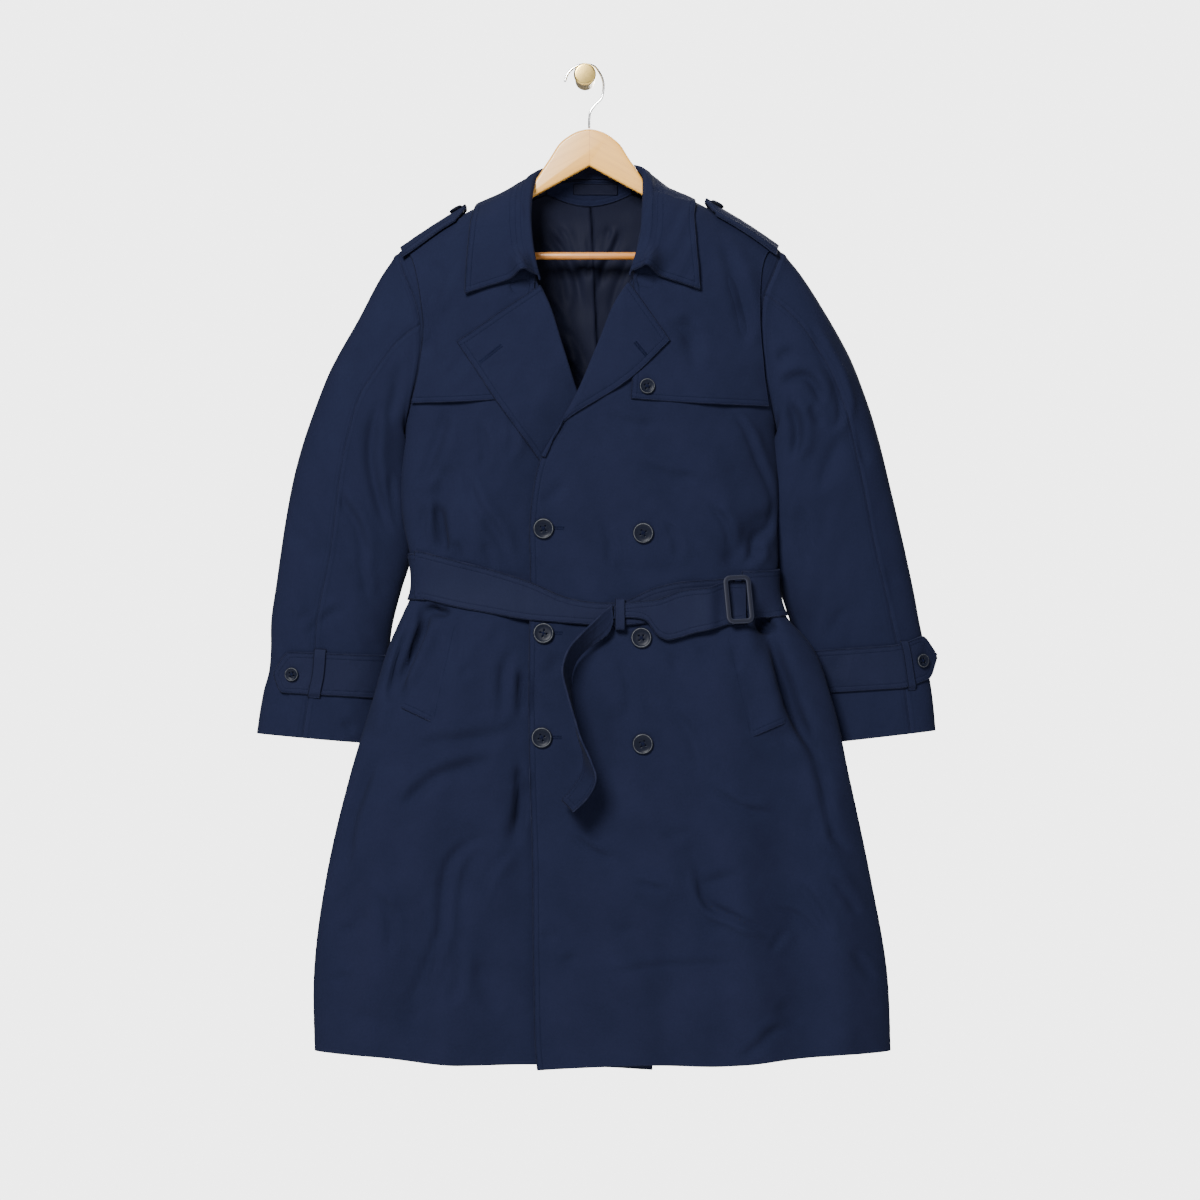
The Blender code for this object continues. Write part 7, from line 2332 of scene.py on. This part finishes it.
@dataclass
class Studio:
    """A pale floor, soft lights and the camera, with a surround that is brighter behind the coat."""

    floor_z: float = -1750.0
    floor_colour: Colour = (0.86, 0.86, 0.85)
    camera: Point = (18.2, -4590.0, -635.7)
    lens: float = 112.5
    around: float = 0.24
    behind: float = 4.0
    aim: Point = (CENTRE_X, -60.0, -620.0)

    def build(self) -> None:
        """Make the surroundings."""
        self.world()
        corners = [(-2600, -2800), (2600, -2800), (2600, 2200), (-2600, 2200)]
        mesh = bpy.data.meshes.new("floor")
        mesh.from_pydata([(x * MM, y * MM, self.floor_z * MM) for x, y in corners], [], [(0, 1, 2, 3)])
        shown("floor", mesh, (Plain("floor_paint", self.floor_colour, 0.9).made(),))
        for light in LIGHTS:
            self.light(*light)
        lens = bpy.data.cameras.new("camera")
        lens.lens, lens.sensor_width, lens.clip_end = self.lens, 36.0, 60.0
        camera = link(bpy.data.objects.new("camera", lens))
        camera.location = Vector(self.camera) * MM
        camera.rotation_euler = (math.pi / 2, 0.0, 0.0)
        bpy.context.scene.camera = camera

    def world(self) -> None:
        """An even surround, white behind the coat and softer as a light."""
        world = bpy.data.worlds.new("surround")
        world.use_nodes = True
        nodes = Nodes(world.node_tree)
        seen = nodes.math("MULTIPLY", nodes.add("LightPath").outputs["Is Camera Ray"], self.behind)
        strength = nodes.math("ADD", seen, self.around)
        nodes.fill(world.node_tree.nodes["Background"], Color=(1.0, 1.0, 1.0), Strength=strength)
        bpy.context.scene.world = world

    def light(self, name: str, place: Point, size: float, power: float) -> None:
        """Add a soft square light that faces the coat.

        Args:
            name: its name.
            place: where it is, in millimetres.
            size: the length of its sides.
            power: its power in watts.
        """
        lamp = bpy.data.lights.new(name, "AREA")
        lamp.size, lamp.energy = size * MM, power
        holder = link(bpy.data.objects.new(name, lamp))
        holder.location = Vector(place) * MM
        holder.rotation_euler = (Vector(self.aim) * MM - holder.location).to_track_quat("-Z", "Y").to_euler()


NODES_OF = {
    f"{name}_{word}": tuple(f"{part}_{word}" for part in parts)
    for name, parts in (("back", ("back_upper", "back_skirt")), ("sleeve_upper", ("sleeve_upper", "sleeve_forearm")))
    for word in ("left", "right")
}
BUTTONHOLES = (
    ("lapel_left", (-125.8, -351.3), (-99.4, -330.9)),
    ("lapel_right", (60.2, -327.3), (73.4, -342.9)),
    ("front_over", (-44.0, -549.0), (-25.0, -549.5)),
    ("front_over", (-44.0, -675.0), (-27.0, -675.4)),
    ("front_over", (-45.0, -799.5), (-28.0, -800.0)),
)
# Where the lining starts: above the hem, and inside the front edge
ABOVE_HEM = 40.0
FACING_WIDE = 95.0
# Where the front's stitching starts below the lapel, and the rows on the collar from its edge
LAPEL_END_Z = -474.0
COLLAR_STITCHES = (19.0, 25.5, 32.0)
# How far the buttons are turned, their diameters, and how far down its strap a cuff button is
BUTTON_TURNS = {"1": 8.0, "2": -14.0, "3": 31.0, "4": 4.0, "5": -22.0, "6": 17.0}
LARGE_BUTTON = 25.0
FLAP_BUTTON = 19.0
SMALL_BUTTON = 17.0
DOWN_STRAP = 23.0


@dataclass
class TrenchCoat:
    """The whole coat with its hanger and peg: its materials by slot, its thread, and its cloth by name."""

    finishes: dict[Slot, Material]
    thread: Material
    sheets: dict[str, Sheet] = field(default_factory=dict)

    def keep(self, *sheets: Sheet) -> None:
        """Remember sheets by name."""
        for sheet in sheets:
            self.sheets[sheet.name] = sheet
            LOG.info("%s: %d x %d points", sheet.name, *sheet.points.shape[:2])

    def shape(self) -> None:
        """Lay out all the cloth, each piece over what it lies on."""
        body = Panels().sheets()
        self.keep(*body)
        left_strap, right_strap = Strap(54.0, 250.0, 11.05, 13.05, 84.0), Strap(24.0, 250.0, 10.75, 12.8, 52.0, 11.0)
        for sleeve in (
            Sleeve(Hand.LEFT, SLEEVE_LEFT, ARMHOLE_LEFT, 80.0, left_strap, LEFT_SLEEVE_CREASES, 51),
            Sleeve(Hand.RIGHT, SLEEVE_RIGHT, ARMHOLE_RIGHT, 60.0, right_strap, RIGHT_SLEEVE_CREASES, 57),
        ):
            tube = sleeve.pieces()
            self.keep(*tube)
            band = sleeve.band(tree_of(*tube, every=1))
            self.keep(band, sleeve.loop(tree_of(*tube, band, every=1)))
        flap_left = StormFlap(Hand.LEFT, FLAP_LEFT_IN, FLAP_LEFT_OUT).sheet(FORM.under)
        flap_right = StormFlap(Hand.RIGHT, FLAP_RIGHT_IN, FLAP_RIGHT_OUT).sheet(FORM.front)
        self.keep(flap_left, flap_right)
        self.keep(Lapel(Hand.LEFT, LAPEL_LEFT_ROLL, LAPEL_LEFT_EDGE, left_lapel_rise).sheet(FORM.under))
        self.keep(Lapel(Hand.RIGHT, LAPEL_RIGHT_ROLL, LAPEL_RIGHT_EDGE, right_lapel_rise).sheet(FORM.front))
        collar = Collar(COLLAR_ROWS)
        stand = collar.stand()
        self.keep(stand, collar.leaf(tree_of(*body, flap_left, flap_right, stand)))
        neck = NeckInside()
        self.keep(neck.facing(), neck.label(), neck.lining())
        shoulders = tree_of(*body, flap_left, flap_right)
        self.keep(Epaulette(Hand.LEFT, (-141.0, -221.0)).sheet(shoulders))
        self.keep(Epaulette(Hand.RIGHT, (143.0, 232.0)).sheet(shoulders))
        self.keep(Welt(Hand.LEFT, WELT_LEFT).sheet(), Welt(Hand.RIGHT, WELT_RIGHT).sheet())
        self.keep(*Belt(BELT_FRONT, BELT_FOLDED, TAIL_ROWS).sheets(tree_of(*body)), Keeper().sheet())

    def cloth(self) -> None:
        """Make every cloth piece."""
        for name, sheet in self.sheets.items():
            trimmed = name.startswith(("belt", "cuff", "epaulette", "neck_label"))
            face = Slot.LINING if name == "back_lining" else Slot.TRIM if trimmed else Slot.CLOTH
            finishes = [self.finishes[Slot.LINING if name == "neck_label" else face]]
            lined = None
            if name.startswith(("back_left", "back_right", "sleeve", "front")):
                finishes.append(self.finishes[Slot.LINING])
                lined = (sheet.down[-1:] - sheet.down)[1:, 1:] > ABOVE_HEM
                if name.startswith("front"):
                    lined &= sheet.across[1:, 1:] > FACING_WIDE
            piece = sheet.made(finishes, lined)
            self.fit(piece, face, *NODES_OF.get(name, (name,)))
            self.declare(piece, sheet)

    def fit(self, piece: Item, slot: Slot, *nodes: str) -> None:
        """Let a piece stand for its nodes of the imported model."""
        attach(piece, ROOT)
        if nodes:
            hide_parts(*nodes)

    def declare(self, piece: Item, sheet: Sheet) -> None:
        """Work out the sizes and area of a cloth piece's flat cut, which nothing uses."""
        across, down = sheet.across[:, -1], sheet.down[-1]
        if sheet.closed:
            across = np.full_like(across, across.mean())
        area = float(np.linalg.norm(quad_normals(sheet.points), axis=-1).sum() / 2) * MM**2

    def buttons(self) -> None:
        """Make every button, set to the tilt of the cloth under it."""
        for number, spot in enumerate(LARGE_BUTTONS, start=1):
            self.sew_on(f"button_large_{number}", self.sheets["front_over"], spot, LARGE_BUTTON)
        self.sew_on("button_flap", self.sheets["storm_flap_right"], FLAP_BUTTON_PLACE, FLAP_BUTTON)
        for hand in Hand:
            strip, band = self.sheets[f"epaulette_{hand.word}"], self.sheets[f"cuff_strap_{hand.word}"]
            middle = band.points.shape[1] // 2
            row = int(np.argmin(np.abs(band.down[:, middle] - DOWN_STRAP)))
            end = strip.points[len(strip.points) // 4, strip.points.shape[1] // 2]
            self.sew_at(f"epaulette_button_{hand.word}", strip, end, SMALL_BUTTON)
            self.sew_at(f"cuff_button_{hand.word}", band, band.points[row, middle], SMALL_BUTTON)

    def sew_on(self, name: str, sheet: Sheet, spot: tuple[float, float], diameter: float) -> None:
        """Sew a button on a sheet where it is seen at (x, z) from the front."""
        nearest = np.argmin(np.hypot(sheet.x - spot[0], sheet.z - spot[1]))
        self.sew_at(name, sheet, np.array([spot[0], sheet.points[..., 1].ravel()[nearest], spot[1]]), diameter)

    def sew_at(self, name: str, sheet: Sheet, place: Array, diameter: float) -> None:
        """Sew a button on a sheet.

        Args:
            name: the button's name.
            sheet: what it is sewn on.
            place: the point under its middle.
            diameter: the button's.
        """
        near = np.linalg.norm(sheet.points - place, axis=-1) < diameter * 0.46
        normal = unit(sheet.normals()[near].mean(axis=0))
        height = ((sheet.points[near] - place) @ normal).max()
        button = Button(name, place + normal * (height - 0.15), normal, diameter, BUTTON_TURNS.get(name[-1], 12.0))
        self.fit(button.made(self.finishes[Slot.BUTTON], self.thread), Slot.BUTTON, name)

    def sewing(self) -> None:
        """Lay every row of stitches and the buttonholes."""
        group = stitch_group()
        rows_of, later = Stitching("topstitching"), ("lapel_left", "lapel_right", "collar_leaf")
        below_lapel = {"front_over": lambda line: line[:, 2] < LAPEL_END_Z}
        skipped = ("front_under", "neck_facing", *later)
        for name in [*(name for name in self.sheets if name not in skipped), *later]:
            rows_of.edges_of(self.sheets[name], below_lapel.get(name))
        for distance in COLLAR_STITCHES:
            rows_of.lines.append(self.sheets["collar_leaf"].beside("first", distance, 6.0))
        for name, edge, shift in (("front_under", WELT_LEFT, 2.0), ("front_over", WELT_RIGHT, -2.0)):
            rows_of.lines.append(self.over(self.sheets[name], edge[0], edge[-1], shift))
        self.fit(rows_of.made(group, self.thread), Slot.TRIM)
        holes = Stitching("buttonholes", pitch=0.75, length=2.3, thickness=0.34, turned=90.0)
        for name, start, end in BUTTONHOLES:
            holes.lines += [self.over(self.sheets[name], start, end, shift) for shift in (-1.25, 1.25)]
        self.fit(holes.made(group, self.thread), Slot.TRIM)

    def over(self, sheet: Sheet, start: Numbers, end: Numbers, shift: float) -> Array:
        """A line over a sheet between two (x, z) places.

        Args:
            sheet: the sheet.
            start: the first place.
            end: the last place.
            shift: how far the line is shifted sideways.

        Returns:
            Its points, just above the cloth.
        """
        line = np.linspace(np.array(start, float), np.array(end, float), 24)
        way = (line[-1] - line[0]) / np.linalg.norm(line[-1] - line[0])
        line = line + np.array([-way[1], way[0]]) * shift
        depth, tilt = sheet.points[..., 1].ravel(), sheet.normals()[..., 1].ravel()
        out = []
        for x, z in line:
            away = (sheet.x.ravel() - x) ** 2 + (sheet.z.ravel() - z) ** 2
            near = np.argsort(away)[:4]
            weight = 1.0 / (away[near] + 0.5)
            out.append((x, (depth[near] + tilt[near] * 0.15) @ weight / weight.sum(), z))
        return np.array(out)

    def hard_parts(self) -> None:
        """Make the buckle, the hanger and the peg."""
        self.fit(Buckle().made(self.finishes[Slot.BUCKLE]), Slot.BUCKLE, "belt_buckle")
        hanger = Hanger(HANGER_TOP, HANGER_FOOT, HOOK_ROUTE)
        self.fit(hanger.wood(self.finishes[Slot.WOOD]), Slot.WOOD, "hanger_wood")
        reddish = LacqueredWood("bar_wood", pale=(0.30, 0.11, 0.012), dark=(0.19, 0.062, 0.007)).made()
        self.fit(hanger.trouser_bar(reddish), Slot.WOOD, "hanger_bar")
        self.fit(hanger.wire_hook(self.finishes[Slot.CHROME]), Slot.CHROME, "hanger_hook")
        self.fit(Peg().made(self.finishes[Slot.BRASS]), Slot.BRASS, "wall_peg")

    def build(self) -> None:
        """Make the whole coat."""
        self.shape()
        self.cloth()
        self.buttons()
        self.hard_parts()
        self.sewing()


def finishes() -> dict[Slot, Material]:
    """Make every material of the coat."""
    twill_group()
    sewn_edge_group()
    made = {
        Slot.CLOTH: Gabardine("navy_gabardine"),
        Slot.TRIM: Gabardine("navy_gabardine_trim", roughness=0.74),
        Slot.LINING: Satin("navy_satin"),
        Slot.BUTTON: ButtonPlastic("dark_resin"),
        Slot.BUCKLE: BuckleCovering("grained_covering"),
        Slot.WOOD: LacqueredWood("pale_wood"),
        Slot.CHROME: Metal("bright_wire", (0.80, 0.80, 0.81), 0.14),
        Slot.BRASS: Metal("aged_brass", (0.56, 0.40, 0.13), 0.28),
    }
    return {slot: finish.made() for slot, finish in made.items()}


def main() -> None:
    """Load the frame and build the coat over it."""
    logging.basicConfig(level=logging.INFO, format="%(message)s")
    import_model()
    TrenchCoat(finishes(), Plain("navy_thread", (0.0034, 0.0046, 0.0140), 0.9).made()).build()
    Studio().build()


if __name__ == "__main__":
    main()
